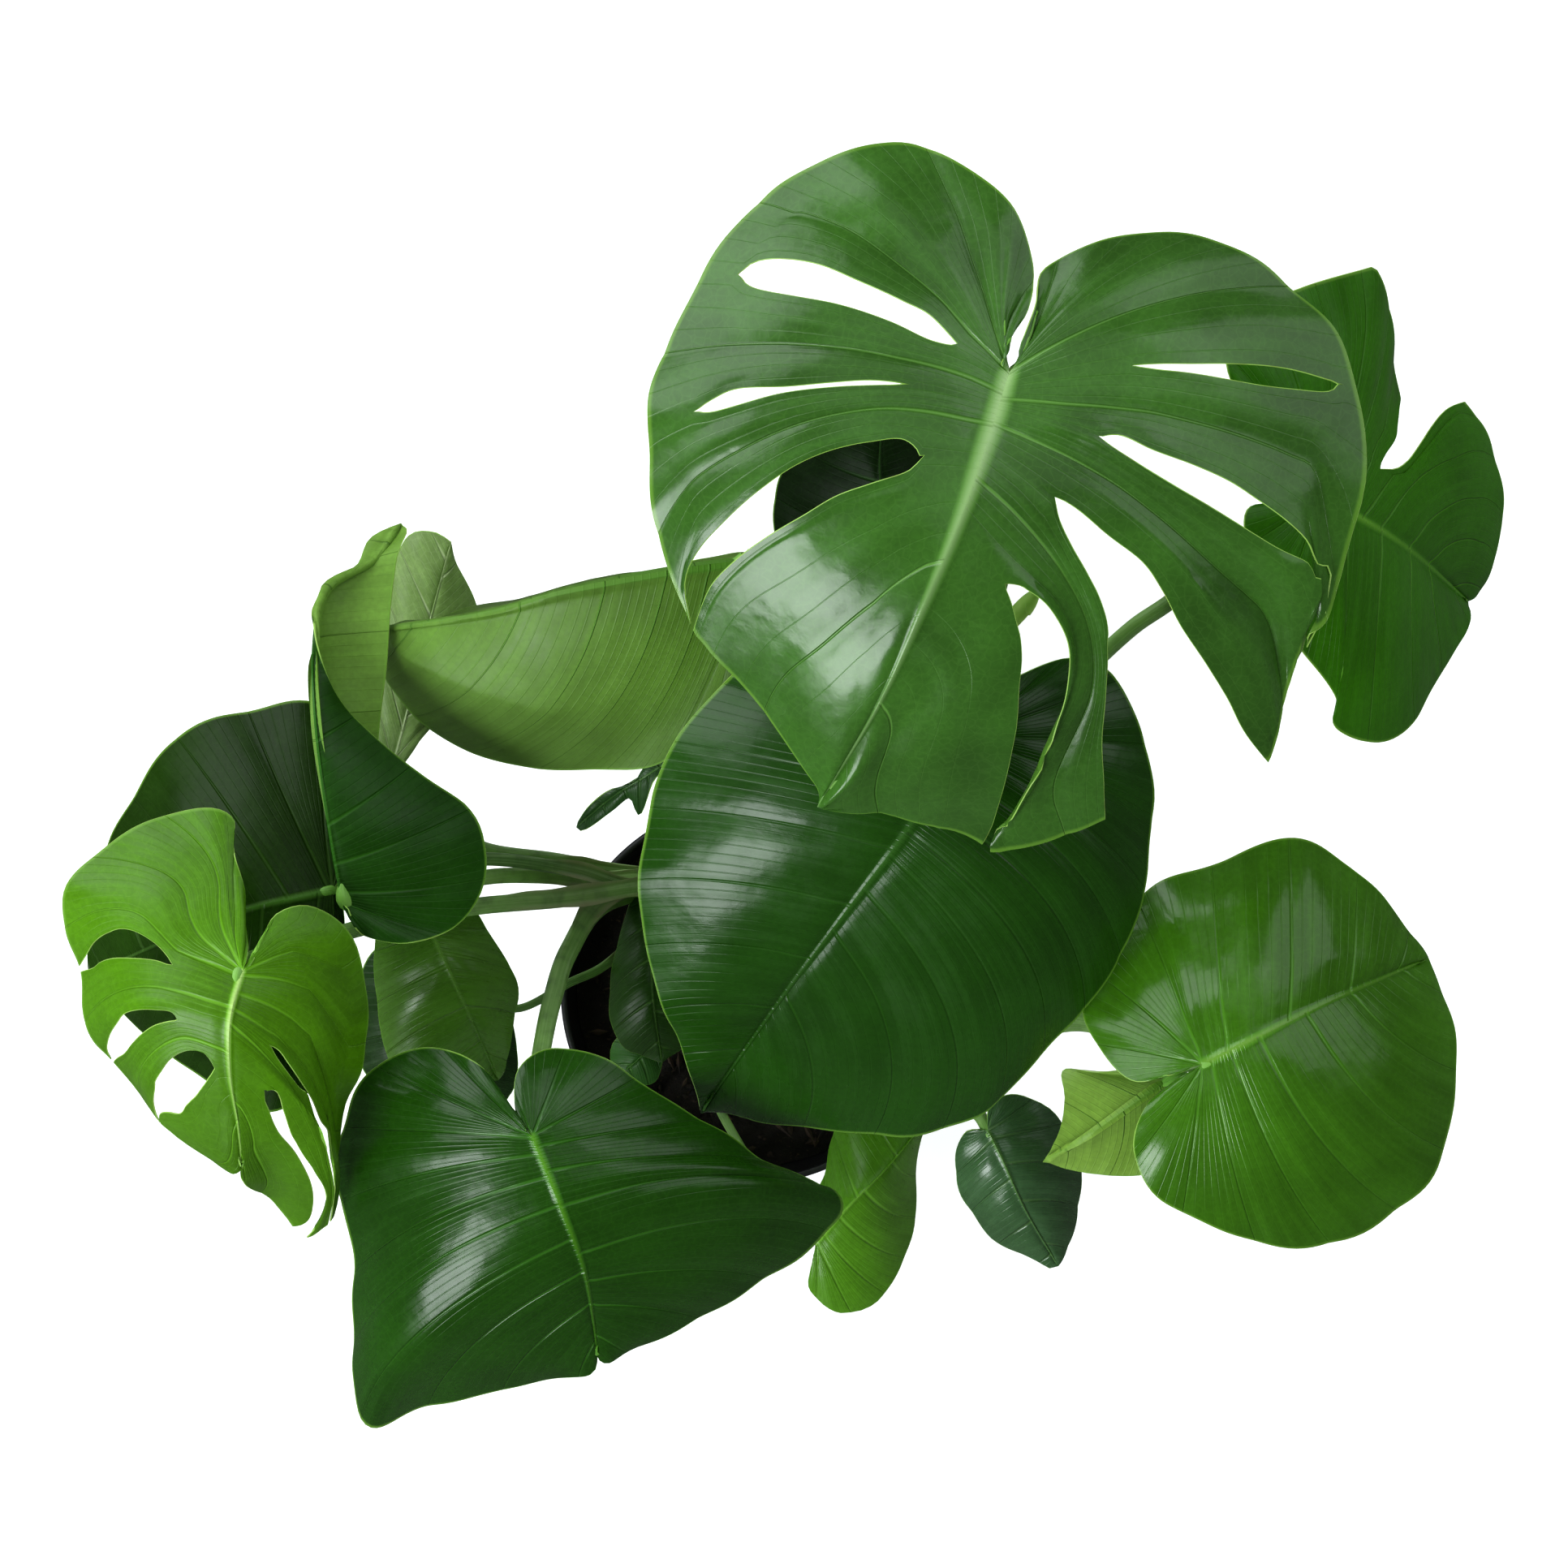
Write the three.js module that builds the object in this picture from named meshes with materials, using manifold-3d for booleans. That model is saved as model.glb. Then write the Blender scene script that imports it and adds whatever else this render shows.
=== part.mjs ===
import * as THREE from 'three';
import { mergeVertices } from 'three/addons/utils/BufferGeometryUtils.js';
import Module from 'manifold-3d';

// A potted swiss cheese plant: three short stems in a round nursery pot, nineteen leaves on long petioles.
// Millimetres, +Z up, the pot stands on z = 0 with its axis on the origin.

const wasm = await Module();
wasm.setup();

// pot
const rimRadius = 100;
const rimHeight = 180;
const footRadius = 73;
const potWall = 1.8;
const potFloor = 2.4;
const footChamfer = 1.5;
const lipRadius = 1.9;
const potSides = 32;
const drainHoles = 6;
const drainRadius = 5;
const drainCircle = 52;
const drainSides = 8;

// soil
const soilHeight = 160;
const soilSink = 5;
const soilRoughness = 2.2;
const soilRings = 5;
const soilSides = 28;
const lumps = { x: 0.19, y: 0.23, slantX: 0.37, slantY: 0.31, slantShare: 0.6 };

// play between pieces that fit together, and between a petiole and its blade
const gap = 0.3;
const bladeClearance = 0.45;

// stems, with their foot in blind holes in the soil
const stemRadius = 9;
const stemFoot = 104;
const stemSides = 10;
const stemTaper = 0.18;
const stemShoulder = { radius: 6.3, drop: 4 };
const stemTipRadius = 3.15;
const footRound = 0.2;
const nodeSwell = 1.1;
const nodeSpacing = 24;
const nodeBelow = 3;
const nodeAbove = 2;
const stems = {
  left: { at: [-32, 58], top: 254 },
  back: { at: [30, 30], top: 258 },
  front: { at: [30, -30], top: 226 },
};

// blades and petioles
const bladeThickness = 1.1;
const marginStep = 34;
const plainSamples = [0, 0.12, 0.35, 0.6, 0.82, 1];
const cutSamples = [0, 0.1, 0.2, 0.34, 0.5, 0.66, 0.82, 0.955, 1];
const stationGap = 0.035;
const mergeReach = 0.04;
const searchSteps = { perRow: 8, across: 40, fine: 8, rounds: 3, zoom: 4 };
const thickPetiole = 4;
const thickSides = 8;
const thinSides = 6;
const petioleStep = 32;
const petioleFoot = 0.5;
const pathSteps = 12;
const aimShare = 0.01;
const ringStart = [0.3, 0.5, 0.1];
const edgeClearance = 1.4;
const seatReach = 6;
const seatRounds = 3;
const rollFade = 60;
const weldReach = 1e-4;

// new leaf, still rolled into a spear, on the petiole of the top leaf
const spearPath = [[104, 70, 490], [112, 80, 515], [119, 88, 540], [127, 98, 572]];
const spearRadii = [2, 3.6, 4.2, 0.9];

// Outlines are laid out on a plan seen from straight above. A plan point [u, v, z] stands at height z on
// the line from the eye through (u, v) at the plan's height, so its height never moves its outline.
const eyeHeight = 2600;
const planHeight = 308;
const sightFoot = [16.3, 108.2];

// Every leaf: midrib from the knuckle to the tip as [u, v, z]; margins left and right of it as
// [u, v, z, share of the midrib where the row starts, bow of the row towards the base].
// arch is the rise of each half between midrib and margin, keel the depth of the midrib below the blade.
// A cut has an edge on its base side and one on its tip side, from the inner end out, as [u, v];
// mouth gives the margin rows where an open cut ends, a cut without one is a closed hole.
const leaves = {
  // the large top leaf, cut from both margins
  crown: {
    colour: 0x3a6b22,
    midrib: [[111, 203, 596], [92, 144, 602], [69, 88, 592], [47, 40, 562], [17, -10, 512]],
    arch: [0.05, 0.06],
    keel: [5, 1.4],
    corners: [13, 15],
    left: [
      [115, 206, 596, 0, 0], [119, 222, 595, 0, -0.1], [124, 236, 592, 0, -0.09],
      [128, 254, 588, 0, -0.08], [152, 266, 585, 0, 0], [188, 272, 582, 0, 0.06],
      [218, 265, 580, 0, 0.08], [244, 250, 578, 0, 0.08], [269, 226, 575, 0.01, 0.08],
      [281, 194, 574, 0.03, 0.06], [286, 154, 570, 0.05, 0.06], [270, 87, 560, 0.07, 0.1],
      [255, 68, 545, 0.09, 0.11], [238, 12, 515, 0.11, 0.13], [200, -4, 505, 0.15, 0.13],
      [158, -17, 497, 0.2, 0.15], [132, -27, 490, 0.23, 0.17], [102, -31, 486, 0.27, 0.18],
      [100, -30, 486, 0.35, 0.19], [98, -28, 487, 0.46, 0.18], [80, -19, 492, 0.58, 0.15],
      [57, -16, 500, 0.72, 0.08], [34, -14, 508, 0.88, 0.04],
    ],
    right: [
      [107, 208, 596, 0, 0], [111, 220, 595, 0, -0.2], [120, 234, 592, 0, -0.2],
      [122, 256, 588, 0, -0.13], [110, 286, 584, 0, -0.04], [80, 308, 580, 0, 0],
      [53, 316, 578, 0, 0.02], [14, 303, 576, 0, 0.05], [-16, 284, 574, 0, 0.07],
      [-39, 250, 572, 0.01, 0.1], [-62, 206, 570, 0.05, 0.115], [-66, 174, 568, 0.07, 0.12],
      [-63, 126, 560, 0.11, 0.17], [-46, 79, 545, 0.2, 0.21], [-37, 68, 540, 0.27, 0.17],
      [-16, 42, 535, 0.36, 0.14], [1, 20, 528, 0.53, 0.1], [16, 0, 518, 0.78, 0.05],
    ],
    cuts: {
      left: [
        {
          base: [
            [171, 206], [183, 207], [200, 207], [217, 207], [235, 206], [249, 204], [264, 200],
            [272, 197],
          ],
          tip: [
            [171, 206], [183, 204], [200, 202], [218, 199], [235, 196], [252, 194], [267, 193],
            [272, 197],
          ],
        },
        {
          mouth: [12, 12.04],
          base: [
            [156, 171], [165, 172], [181, 165], [200, 158], [218, 150], [232, 141], [247, 130],
            [257, 120], [262, 109], [269, 99], [270, 88],
          ],
          tip: [
            [156, 171], [162, 166], [178, 156], [193, 147], [210, 137], [226, 127], [242, 117],
            [256, 110], [260, 103], [264, 95], [268, 86],
          ],
        },
        {
          mouth: [13, 15],
          base: [
            [134, 141], [143, 137], [159, 124], [176, 111], [186, 97], [195, 80], [208, 61],
            [218, 45], [226, 29], [238, 12],
          ],
          tip: [
            [134, 141], [135, 131], [141, 118], [149, 104], [155, 92], [159, 77], [159, 62],
            [158, 45], [156, 23], [157, 1], [158, -17],
          ],
        },
        {
          mouth: [17, 19],
          base: [
            [108, 99], [116, 99], [126, 93], [134, 83], [139, 71], [139, 56], [135, 38], [127, 18],
            [118, 0], [110, -16], [102, -31],
          ],
          tip: [
            [108, 99], [110, 91], [113, 80], [115, 65], [114, 48], [113, 28], [110, 11], [106, -6],
            [102, -20], [99, -28],
          ],
        },
      ],
      right: [
        {
          base: [
            [85, 217], [73, 230], [58, 238], [38, 247], [19, 255], [-1, 258], [-14, 256],
            [-20, 250],
          ],
          tip: [
            [85, 217], [73, 218], [53, 227], [29, 235], [9, 239], [-8, 242], [-17, 245],
            [-20, 250],
          ],
        },
        {
          base: [
            [60, 197], [46, 199], [24, 198], [2, 196], [-22, 195], [-34, 190], [-42, 184],
          ],
          tip: [
            [60, 197], [46, 196], [24, 195], [-1, 192], [-20, 187], [-35, 183], [-42, 184],
          ],
        },
        {
          mouth: [13, 13.15],
          base: [
            [67, 162], [59, 170], [43, 169], [24, 165], [7, 158], [-11, 146], [-28, 131],
            [-41, 117], [-48, 104], [-49, 92], [-46, 80],
          ],
          tip: [
            [67, 162], [61, 154], [43, 148], [26, 142], [9, 132], [-8, 122], [-23, 111],
            [-34, 100], [-39, 91], [-43, 81],
          ],
        },
      ],
    },
    petiole: {
      stem: 'back',
      start: 190,
      radius: [6, 4.6],
      path: [
        [50, -30, 296], [78, 14, 388], [90, 46, 458], [99, 78, 503], [108, 114, 545],
        [113, 158, 577],
      ],
    },
  },
  // the broad dark leaf below the top leaf
  broad: {
    colour: 0x1f4a18,
    midrib: [[90, 24, 478], [64, -18, 476], [38, -53, 458], [0, -104, 412], [-41, -162, 332]],
    arch: [0.07, 0.06],
    keel: [5, 1.4],
    left: [
      [92, 29, 478, 0, 0], [102, 44, 476, 0, 0], [118, 54, 472, 0, 0], [140, 62, 466, 0, 0.02],
      [161, 54, 458, 0, 0.03], [174, 32, 450, 0, 0.05], [181, 2, 440, 0, 0.07],
      [180, -34, 430, 0.01, 0.09], [174, -66, 426, 0.04, 0.12], [162, -94, 415, 0.08, 0.14],
      [144, -114, 401, 0.14, 0.15], [122, -138, 384, 0.2, 0.15], [92, -166, 360, 0.28, 0.14],
      [58, -174, 350, 0.38, 0.13], [18, -171, 343, 0.55, 0.1], [-18, -164, 338, 0.78, 0.05],
    ],
    right: [
      [86, 29, 478, 0, 0], [70, 46, 476, 0, 0], [38, 62, 474, 0, 0], [4, 66, 470, 0, 0.02],
      [-24, 54, 464, 0.02, 0.04], [-50, 26, 456, 0.1, 0.06], [-64, -4, 446, 0.2, 0.08],
      [-71, -44, 432, 0.36, 0.1], [-69, -76, 418, 0.5, 0.11], [-60, -108, 400, 0.64, 0.1],
      [-50, -132, 375, 0.78, 0.07], [-43, -152, 350, 0.92, 0.03],
    ],
    petiole: {
      stem: 'back',
      start: 208,
      radius: [5.6, 4.2],
      path: [[54, -22, 348], [78, 8, 442]],
    },
  },
  // the glossy heart-shaped leaf at the front left
  heart: {
    colour: 0x1c5316,
    midrib: [[-124, -173, 402], [-110, -208, 398], [-99, -238, 380], [-94, -264, 352], [-92, -282, 331]],
    arch: [0.07, 0.07],
    keel: [4, 1.2],
    left: [
      [-126, -169, 401, 0, 0], [-132, -157, 398, 0, 0], [-130, -140, 393, 0, 0],
      [-114, -130, 388, 0, 0], [-88, -136, 382, 0, 0.03], [-58, -155, 372, 0, 0.05],
      [-26, -175, 358, 0.08, 0.08], [4, -192, 342, 0.18, 0.12], [25, -200, 325, 0.3, 0.14],
      [28, -214, 318, 0.42, 0.16], [8, -232, 316, 0.52, 0.14], [-18, -250, 318, 0.62, 0.12],
      [-46, -264, 322, 0.72, 0.09], [-72, -278, 326, 0.84, 0.05], [-86, -285, 328, 0.94, 0.02],
    ],
    right: [
      [-127, -170, 401, 0, 0], [-136, -157, 398, 0, 0], [-152, -138, 390, 0, 0],
      [-176, -130, 380, 0, 0.02], [-202, -140, 368, 0, 0.04], [-216, -164, 356, 0, 0.06],
      [-221, -190, 346, 0.04, 0.08], [-214, -222, 334, 0.1, 0.1], [-211, -254, 322, 0.18, 0.12],
      [-212, -290, 306, 0.3, 0.13], [-203, -315, 296, 0.42, 0.13], [-174, -306, 303, 0.54, 0.11],
      [-142, -299, 310, 0.68, 0.09], [-114, -294, 318, 0.82, 0.05], [-96, -290, 324, 0.94, 0.02],
    ],
    petiole: {
      stem: 'left',
      start: 182,
      radius: [5.4, 4.2],
      path: [[-88, -58, 224], [-106, -82, 280], [-114, -106, 325], [-119, -130, 360], [-123, -158, 388]],
    },
  },
  // the young lime-green leaf at the far left
  lime: {
    colour: 0x5f9a1a,
    midrib: [
      [-267, -92, 462], [-273, -116, 466], [-273, -142, 452], [-269, -168, 432], [-267, -189, 412],
    ],
    arch: [0.06, 0.07],
    keel: [4, 1.2],
    left: [
      [-263, -89, 462, 0, 0], [-257, -78, 460, 0, 0], [-251, -65, 457, 0, 0],
      [-235, -60, 450, 0, 0], [-218, -69, 440, 0, 0.03], [-208, -90, 425, 0, 0.05],
      [-205, -114, 412, 0.03, 0.07], [-208, -136, 400, 0.08, 0.09], [-215, -158, 385, 0.13, 0.1],
      [-221, -182, 368, 0.17, 0.12], [-220, -208, 350, 0.21, 0.1], [-223, -216, 345, 0.26, 0.12],
      [-229, -220, 342, 0.33, 0.16], [-235, -222, 340, 0.42, 0.17], [-239, -219, 345, 0.5, 0.16],
      [-254, -204, 362, 0.7, 0.09], [-265, -197, 395, 0.9, 0.03],
    ],
    right: [
      [-265, -87, 462, 0, 0], [-264, -74, 461, 0, 0], [-266, -54, 460, 0, 0],
      [-272, -34, 458, 0, 0], [-271, -18, 455, 0, -0.06], [-284, -12, 455, 0, 0],
      [-308, -17, 450, 0, 0.02], [-335, -31, 445, 0, 0.04], [-353, -50, 438, 0, 0.05],
      [-354, -70, 432, 0.02, 0.08], [-348, -90, 425, 0.08, 0.15], [-345, -110, 420, 0.14, 0.17],
      [-340, -126, 415, 0.2, 0.22], [-332, -136, 410, 0.28, 0.28], [-322, -147, 405, 0.36, 0.28],
      [-314, -158, 402, 0.42, 0.3], [-307, -166, 400, 0.5, 0.34], [-300, -171, 400, 0.6, 0.25],
      [-282, -187, 405, 0.8, 0.1], [-272, -192, 410, 0.94, 0.02],
    ],
    cuts: {
      left: [
        {
          mouth: [11, 11.3],
          base: [
            [-253, -129], [-249, -131], [-244, -138], [-238, -147], [-233, -155], [-229, -165],
            [-224, -177], [-222, -191], [-221, -206],
          ],
          tip: [
            [-253, -129], [-250, -135], [-245, -142], [-240, -149], [-235, -156], [-231, -167],
            [-226, -179], [-223, -192], [-222, -206],
          ],
        },
        {
          mouth: [13, 14.2],
          base: [
            [-255, -151], [-250, -151], [-247, -159], [-244, -168], [-240, -176], [-235, -184],
            [-230, -192], [-226, -200], [-226, -209], [-229, -216], [-233, -221],
          ],
          tip: [
            [-255, -151], [-256, -156], [-253, -163], [-249, -171], [-242, -179], [-237, -187],
            [-233, -196], [-232, -205], [-234, -213], [-237, -221],
          ],
        },
      ],
      right: [
        {
          mouth: [10, 10.15],
          base: [
            [-302, -89], [-305, -83], [-310, -78], [-318, -73], [-326, -71], [-333, -73],
            [-340, -78], [-344, -84], [-347, -90],
          ],
          tip: [
            [-302, -89], [-310, -87], [-321, -86], [-330, -86], [-337, -88], [-341, -91],
            [-347, -92],
          ],
        },
        {
          mouth: [13, 13.15],
          base: [
            [-299, -116], [-302, -112], [-310, -111], [-318, -111], [-325, -113], [-329, -118],
            [-333, -125], [-334, -131], [-331, -136],
          ],
          tip: [
            [-299, -116], [-303, -117], [-310, -119], [-316, -123], [-321, -128], [-325, -133],
            [-330, -136],
          ],
        },
        {
          mouth: [16, 16.12],
          base: [
            [-281, -140], [-285, -133], [-291, -131], [-297, -132], [-303, -136], [-308, -143],
            [-310, -150], [-310, -159], [-307, -165],
          ],
          tip: [
            [-281, -140], [-284, -146], [-289, -153], [-294, -158], [-300, -162], [-305, -166],
          ],
        },
      ],
    },
    petiole: {
      stem: 'left',
      start: 235,
      radius: [4.6, 3.8],
      path: [
        [-74, -51, 252], [-106, -56, 285], [-150, -60, 335], [-186, -66, 378], [-212, -72, 410],
        [-242, -81, 437],
      ],
    },
  },
  // the dark leaf under the lime one
  shade: {
    colour: 0x203a18,
    midrib: [[-222, -52, 410], [-266, -62, 416], [-306, -78, 396], [-342, -94, 345]],
    arch: [0.06, 0.06],
    keel: [3.4, 1.2],
    left: [
      [-218, -56, 407, 0, 0], [-216, -78, 397, 0, 0], [-214, -102, 390, 0, 0],
      [-216, -126, 388, 0, 0.02], [-228, -146, 380, 0, 0.04], [-250, -161, 372, 0.05, 0.06],
      [-270, -155, 366, 0.15, 0.08], [-292, -141, 360, 0.32, 0.09], [-314, -123, 354, 0.55, 0.08],
      [-330, -108, 348, 0.8, 0.05],
    ],
    right: [
      [-218, -47, 408, 0, 0], [-210, -30, 404, 0, 0], [-204, -2, 398, 0, 0], [-212, 26, 392, 0, 0],
      [-232, 40, 388, 0, 0], [-258, 37, 385, 0, 0.02], [-282, 32, 382, 0.05, 0.04],
      [-302, 20, 378, 0.15, 0.05], [-318, -1, 372, 0.32, 0.07], [-330, -24, 366, 0.55, 0.08],
      [-339, -50, 360, 0.75, 0.07], [-343, -74, 352, 0.92, 0.04],
    ],
    petiole: {
      stem: 'left',
      start: 222,
      radius: [3.6, 3],
      path: [[-76, -50, 238], [-86, -48, 246], [-106, -42, 270], [-148, -37, 330], [-186, -44, 372]],
    },
  },
  // the leaf at the right
  right: {
    colour: 0x2c6418,
    midrib: [[206, -138, 422], [234, -124, 428], [266, -108, 415], [294, -96, 392], [317, -86, 365]],
    arch: [0.06, 0.07],
    keel: [4, 1.2],
    left: [
      [202, -139, 421, 0, 0], [190, -143, 418, 0, 0], [172, -146, 409, 0, 0],
      [156, -131, 399, 0, 0], [148, -108, 390, 0, 0], [160, -76, 386, 0, 0],
      [184, -51, 389, 0, 0.02], [218, -40, 391, 0.12, 0.03], [250, -28, 390, 0.34, 0.03],
      [276, -40, 385, 0.54, 0.04], [298, -61, 378, 0.72, 0.04], [312, -78, 370, 0.88, 0.02],
    ],
    right: [
      [203, -141, 421, 0, 0], [188, -149, 418, 0, 0], [177, -162, 414, 0, 0],
      [173, -182, 408, 0, 0], [184, -203, 402, 0, 0.02], [210, -216, 396, 0, 0.04],
      [242, -228, 390, 0.05, 0.07], [274, -226, 384, 0.12, 0.09], [302, -212, 378, 0.2, 0.1],
      [321, -190, 374, 0.34, 0.11], [330, -158, 370, 0.5, 0.1], [330, -124, 367, 0.68, 0.08],
      [324, -100, 365, 0.88, 0.04],
    ],
    petiole: {
      stem: 'front',
      start: 206,
      radius: [4.8, 3.8],
      path: [[74, -118, 300], [145, -114, 368], [174, -127, 400]],
    },
  },
  // the steep leaf behind the top leaf at the right
  steep: {
    colour: 0x2f6d12,
    midrib: [[262, 142, 448], [286, 130, 424], [310, 114, 382], [337, 90, 306]],
    arch: [0.06, 0.07],
    keel: [4.4, 1.2],
    corners: [6, 8, 10],
    left: [
      [259, 145, 450, 0, 0], [250, 156, 458, 0, 0], [234, 177, 470, 0, 0], [218, 206, 480, 0, 0],
      [226, 230, 482, 0, 0], [254, 244, 470, 0, 0], [291, 255, 440, 0.03, 0.03],
      [299, 230, 420, 0.08, 0.05], [302, 190, 395, 0.15, 0.06], [318, 192, 365, 0.22, 0],
      [335, 188, 345, 0.32, 0.08], [350, 166, 330, 0.48, 0.1], [354, 134, 315, 0.64, 0.1],
      [349, 106, 305, 0.82, 0.06], [342, 93, 303, 0.94, 0.02],
    ],
    right: [
      [260, 142, 450, 0, 0], [248, 139, 455, 0, 0], [229, 136, 462, 0, 0], [227, 122, 460, 0, 0],
      [234, 98, 450, 0, 0], [246, 80, 440, 0, 0.03], [255, 66, 425, 0.03, 0.05],
      [272, 43, 405, 0.1, 0.08], [272, 28, 395, 0.2, 0.1], [294, 20, 375, 0.36, 0.12],
      [309, 30, 360, 0.48, 0.12], [324, 54, 340, 0.64, 0.1], [335, 74, 322, 0.82, 0.06],
      [338, 84, 312, 0.94, 0.02],
    ],
    cuts: {
      left: [
        {
          mouth: [8, 10],
          base: [
            [293, 156], [295, 162], [300, 170], [301, 178], [302, 190],
          ],
          tip: [
            [293, 156], [300, 155], [307, 159], [313, 167], [319, 176], [326, 184], [335, 188],
          ],
        },
      ],
    },
    petiole: {
      stem: 'back',
      start: 172,
      radius: [4.4, 3.6],
      path: [[74, -18, 275], [159, 66, 395], [189, 89, 420], [230, 118, 440]],
    },
  },
  // the leaf that has flopped over and shows its pale underside
  flopped: {
    colour: 0x5a8f32,
    midrib: [[-14, 110, 462], [-58, 104, 468], [-106, 95, 462], [-146, 84, 440], [-198, 76, 405]],
    arch: [0.04, -0.02],
    keel: [3, 1.2],
    hangs: true,
    left: [
      [-12, 113, 460, 0, 0], [-24, 114, 440, 0, 0], [-46, 109, 415, 0, 0],
      [-74, 104, 395, 0.05, 0], [-106, 98, 380, 0.2, 0], [-138, 90, 375, 0.4, 0],
      [-170, 83, 380, 0.64, 0], [-188, 80, 395, 0.88, 0],
    ],
    right: [
      [-15, 105, 460, 0, 0], [-18, 82, 452, 0, 0], [-24, 54, 440, 0, 0], [-34, 30, 425, 0, 0],
      [-54, 15, 405, 0, 0.03], [-66, 9, 395, 0.05, 0.05], [-90, 7, 385, 0.12, 0.08],
      [-118, 7, 378, 0.2, 0.1], [-142, 13, 372, 0.3, 0.12], [-162, 19, 372, 0.4, 0.12],
      [-178, 31, 378, 0.54, 0.11], [-190, 44, 388, 0.7, 0.08], [-197, 56, 396, 0.88, 0.04],
    ],
    petiole: {
      stem: 'back',
      start: 240,
      radius: [4.6, 3.8],
      path: [[6, -14, 335], [-7, 46, 420], [-10, 82, 445]],
    },
  },
  // the grey-green leaf behind the rolled one, seen half from below
  grey: {
    colour: 0x6f8a58,
    midrib: [[-195, 0, 372], [-186, 34, 364], [-176, 74, 358], [-164, 119, 364]],
    arch: [0.05, 0.05],
    keel: [2.6, 1],
    left: [
      [-198, 2, 371, 0, 0], [-204, 14, 368, 0, 0], [-206, 34, 360, 0, 0], [-203, 58, 354, 0.1, 0],
      [-199, 82, 350, 0.3, 0], [-194, 104, 353, 0.55, 0], [-185, 122, 360, 0.8, 0],
      [-173, 124, 363, 0.93, 0],
    ],
    right: [
      [-193, 2, 371, 0, 0], [-186, 12, 366, 0, 0], [-174, 30, 356, 0, 0],
      [-154, 50, 345, 0.12, -0.05], [-146, 68, 342, 0.3, 0.04], [-152, 88, 347, 0.55, 0.04],
      [-161, 108, 358, 0.85, 0.02],
    ],
    petiole: {
      stem: 'left',
      start: 196,
      radius: [4, 3.2],
      path: [[-88, -42, 214], [-114, -37, 254], [-148, -32, 312], [-170, -18, 342]],
    },
  },
  // the tall leaf at the left, its far margin rolled in
  rolled: {
    colour: 0x245218,
    midrib: [
      [-218, -58, 428], [-225, -18, 440], [-231, 30, 444], [-232, 70, 436], [-225, 96, 424],
      [-202, 110, 412], [-189, 128, 404],
    ],
    arch: [0, 0.06],
    keel: [3.6, 1.2],
    roll: [-14, 0, -6],
    left: [
      [-215, -54, 425, 0, 0], [-206, -38, 414, 0.05, 0], [-199, -14, 410, 0.15, 0],
      [-200, 14, 412, 0.3, 0], [-199, 34, 413, 0.42, 0], [-196, 58, 414, 0.54, 0],
      [-194, 88, 415, 0.68, 0], [-191, 110, 413, 0.82, 0], [-186, 124, 408, 0.94, 0],
    ],
    right: [
      [-214, -62, 428, 0, 0], [-208, -74, 425, 0, 0], [-186, -78, 417, 0, 0],
      [-162, -70, 406, 0, 0.02], [-148, -50, 404, 0.02, 0.04], [-148, -30, 406, 0.05, 0.05],
      [-156, -11, 412, 0.1, 0.06], [-178, 4, 420, 0.15, 0.07], [-201, 22, 428, 0.3, 0.06],
      [-216, 38, 434, 0.42, 0.04], [-226, 55, 438, 0.54, 0.02], [-231, 74, 438, 0.62, 0],
      [-232, 86, 430, 0.7, 0], [-220, 101, 420, 0.8, 0], [-210, 108, 414, 0.87, 0],
      [-204, 121, 408, 0.95, 0],
    ],
    petiole: {
      stem: 'left',
      start: 209,
      radius: [4.2, 3.4],
      path: [[-73, -46, 220], [-90, -47, 232], [-122, -45, 276], [-148, -46, 322], [-186, -54, 384]],
    },
  },
  // the middle-sized leaf below the rolled one
  low: {
    colour: 0x274c22,
    midrib: [[-177, -65, 328], [-168, -86, 332], [-156, -112, 318], [-141, -145, 276]],
    arch: [0.06, 0.06],
    keel: [2.4, 1],
    left: [
      [-174, -63, 327, 0, 0], [-165, -57, 324, 0, 0], [-154, -61, 318, 0, 0],
      [-145, -74, 311, 0.04, 0], [-135, -90, 304, 0.16, 0.05], [-132, -104, 296, 0.35, 0.06],
      [-135, -126, 286, 0.64, 0.05], [-138, -140, 279, 0.88, 0.02],
    ],
    right: [
      [-180, -63, 327, 0, 0], [-188, -61, 324, 0, 0], [-198, -66, 318, 0, 0],
      [-201, -80, 314, 0.04, 0], [-201, -98, 309, 0.16, 0.04], [-199, -118, 304, 0.35, 0.06],
      [-194, -137, 298, 0.52, 0.08], [-178, -148, 291, 0.72, 0.07], [-158, -150, 284, 0.88, 0.04],
    ],
    petiole: {
      stem: 'left',
      start: 168,
      radius: [3, 2.6],
      path: [[-106, -56, 220], [-146, -59, 268], [-162, -61, 298]],
    },
  },
  // the lowest leaf at the left
  lowest: {
    colour: 0x223f1e,
    midrib: [[-162, -85, 282], [-166, -110, 286], [-168, -138, 272], [-170, -165, 246]],
    arch: [0.05, 0.05],
    keel: [1.8, 1],
    left: [
      [-159, -82, 282, 0, 0], [-146, -86, 278, 0, 0], [-138, -102, 272, 0.1, 0.03],
      [-133, -122, 266, 0.3, 0.05], [-132, -138, 258, 0.5, 0.06], [-135, -153, 252, 0.7, 0.05],
      [-146, -162, 247, 0.88, 0.03],
    ],
    right: [
      [-166, -82, 282, 0, 0], [-182, -78, 278, 0, 0], [-199, -80, 274, 0, 0],
      [-208, -94, 270, 0.1, 0.03], [-210, -114, 264, 0.3, 0.05], [-208, -138, 256, 0.5, 0.06],
      [-198, -150, 250, 0.7, 0.06], [-184, -161, 247, 0.88, 0.03],
    ],
    petiole: {
      stem: 'left',
      start: 174,
      radius: [2.8, 1.7],
      path: [[-84, -86, 206], [-106, -98, 228], [-132, -111, 252], [-150, -100, 270]],
    },
  },
  // the dark round leaf below the top leaf
  under: {
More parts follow.
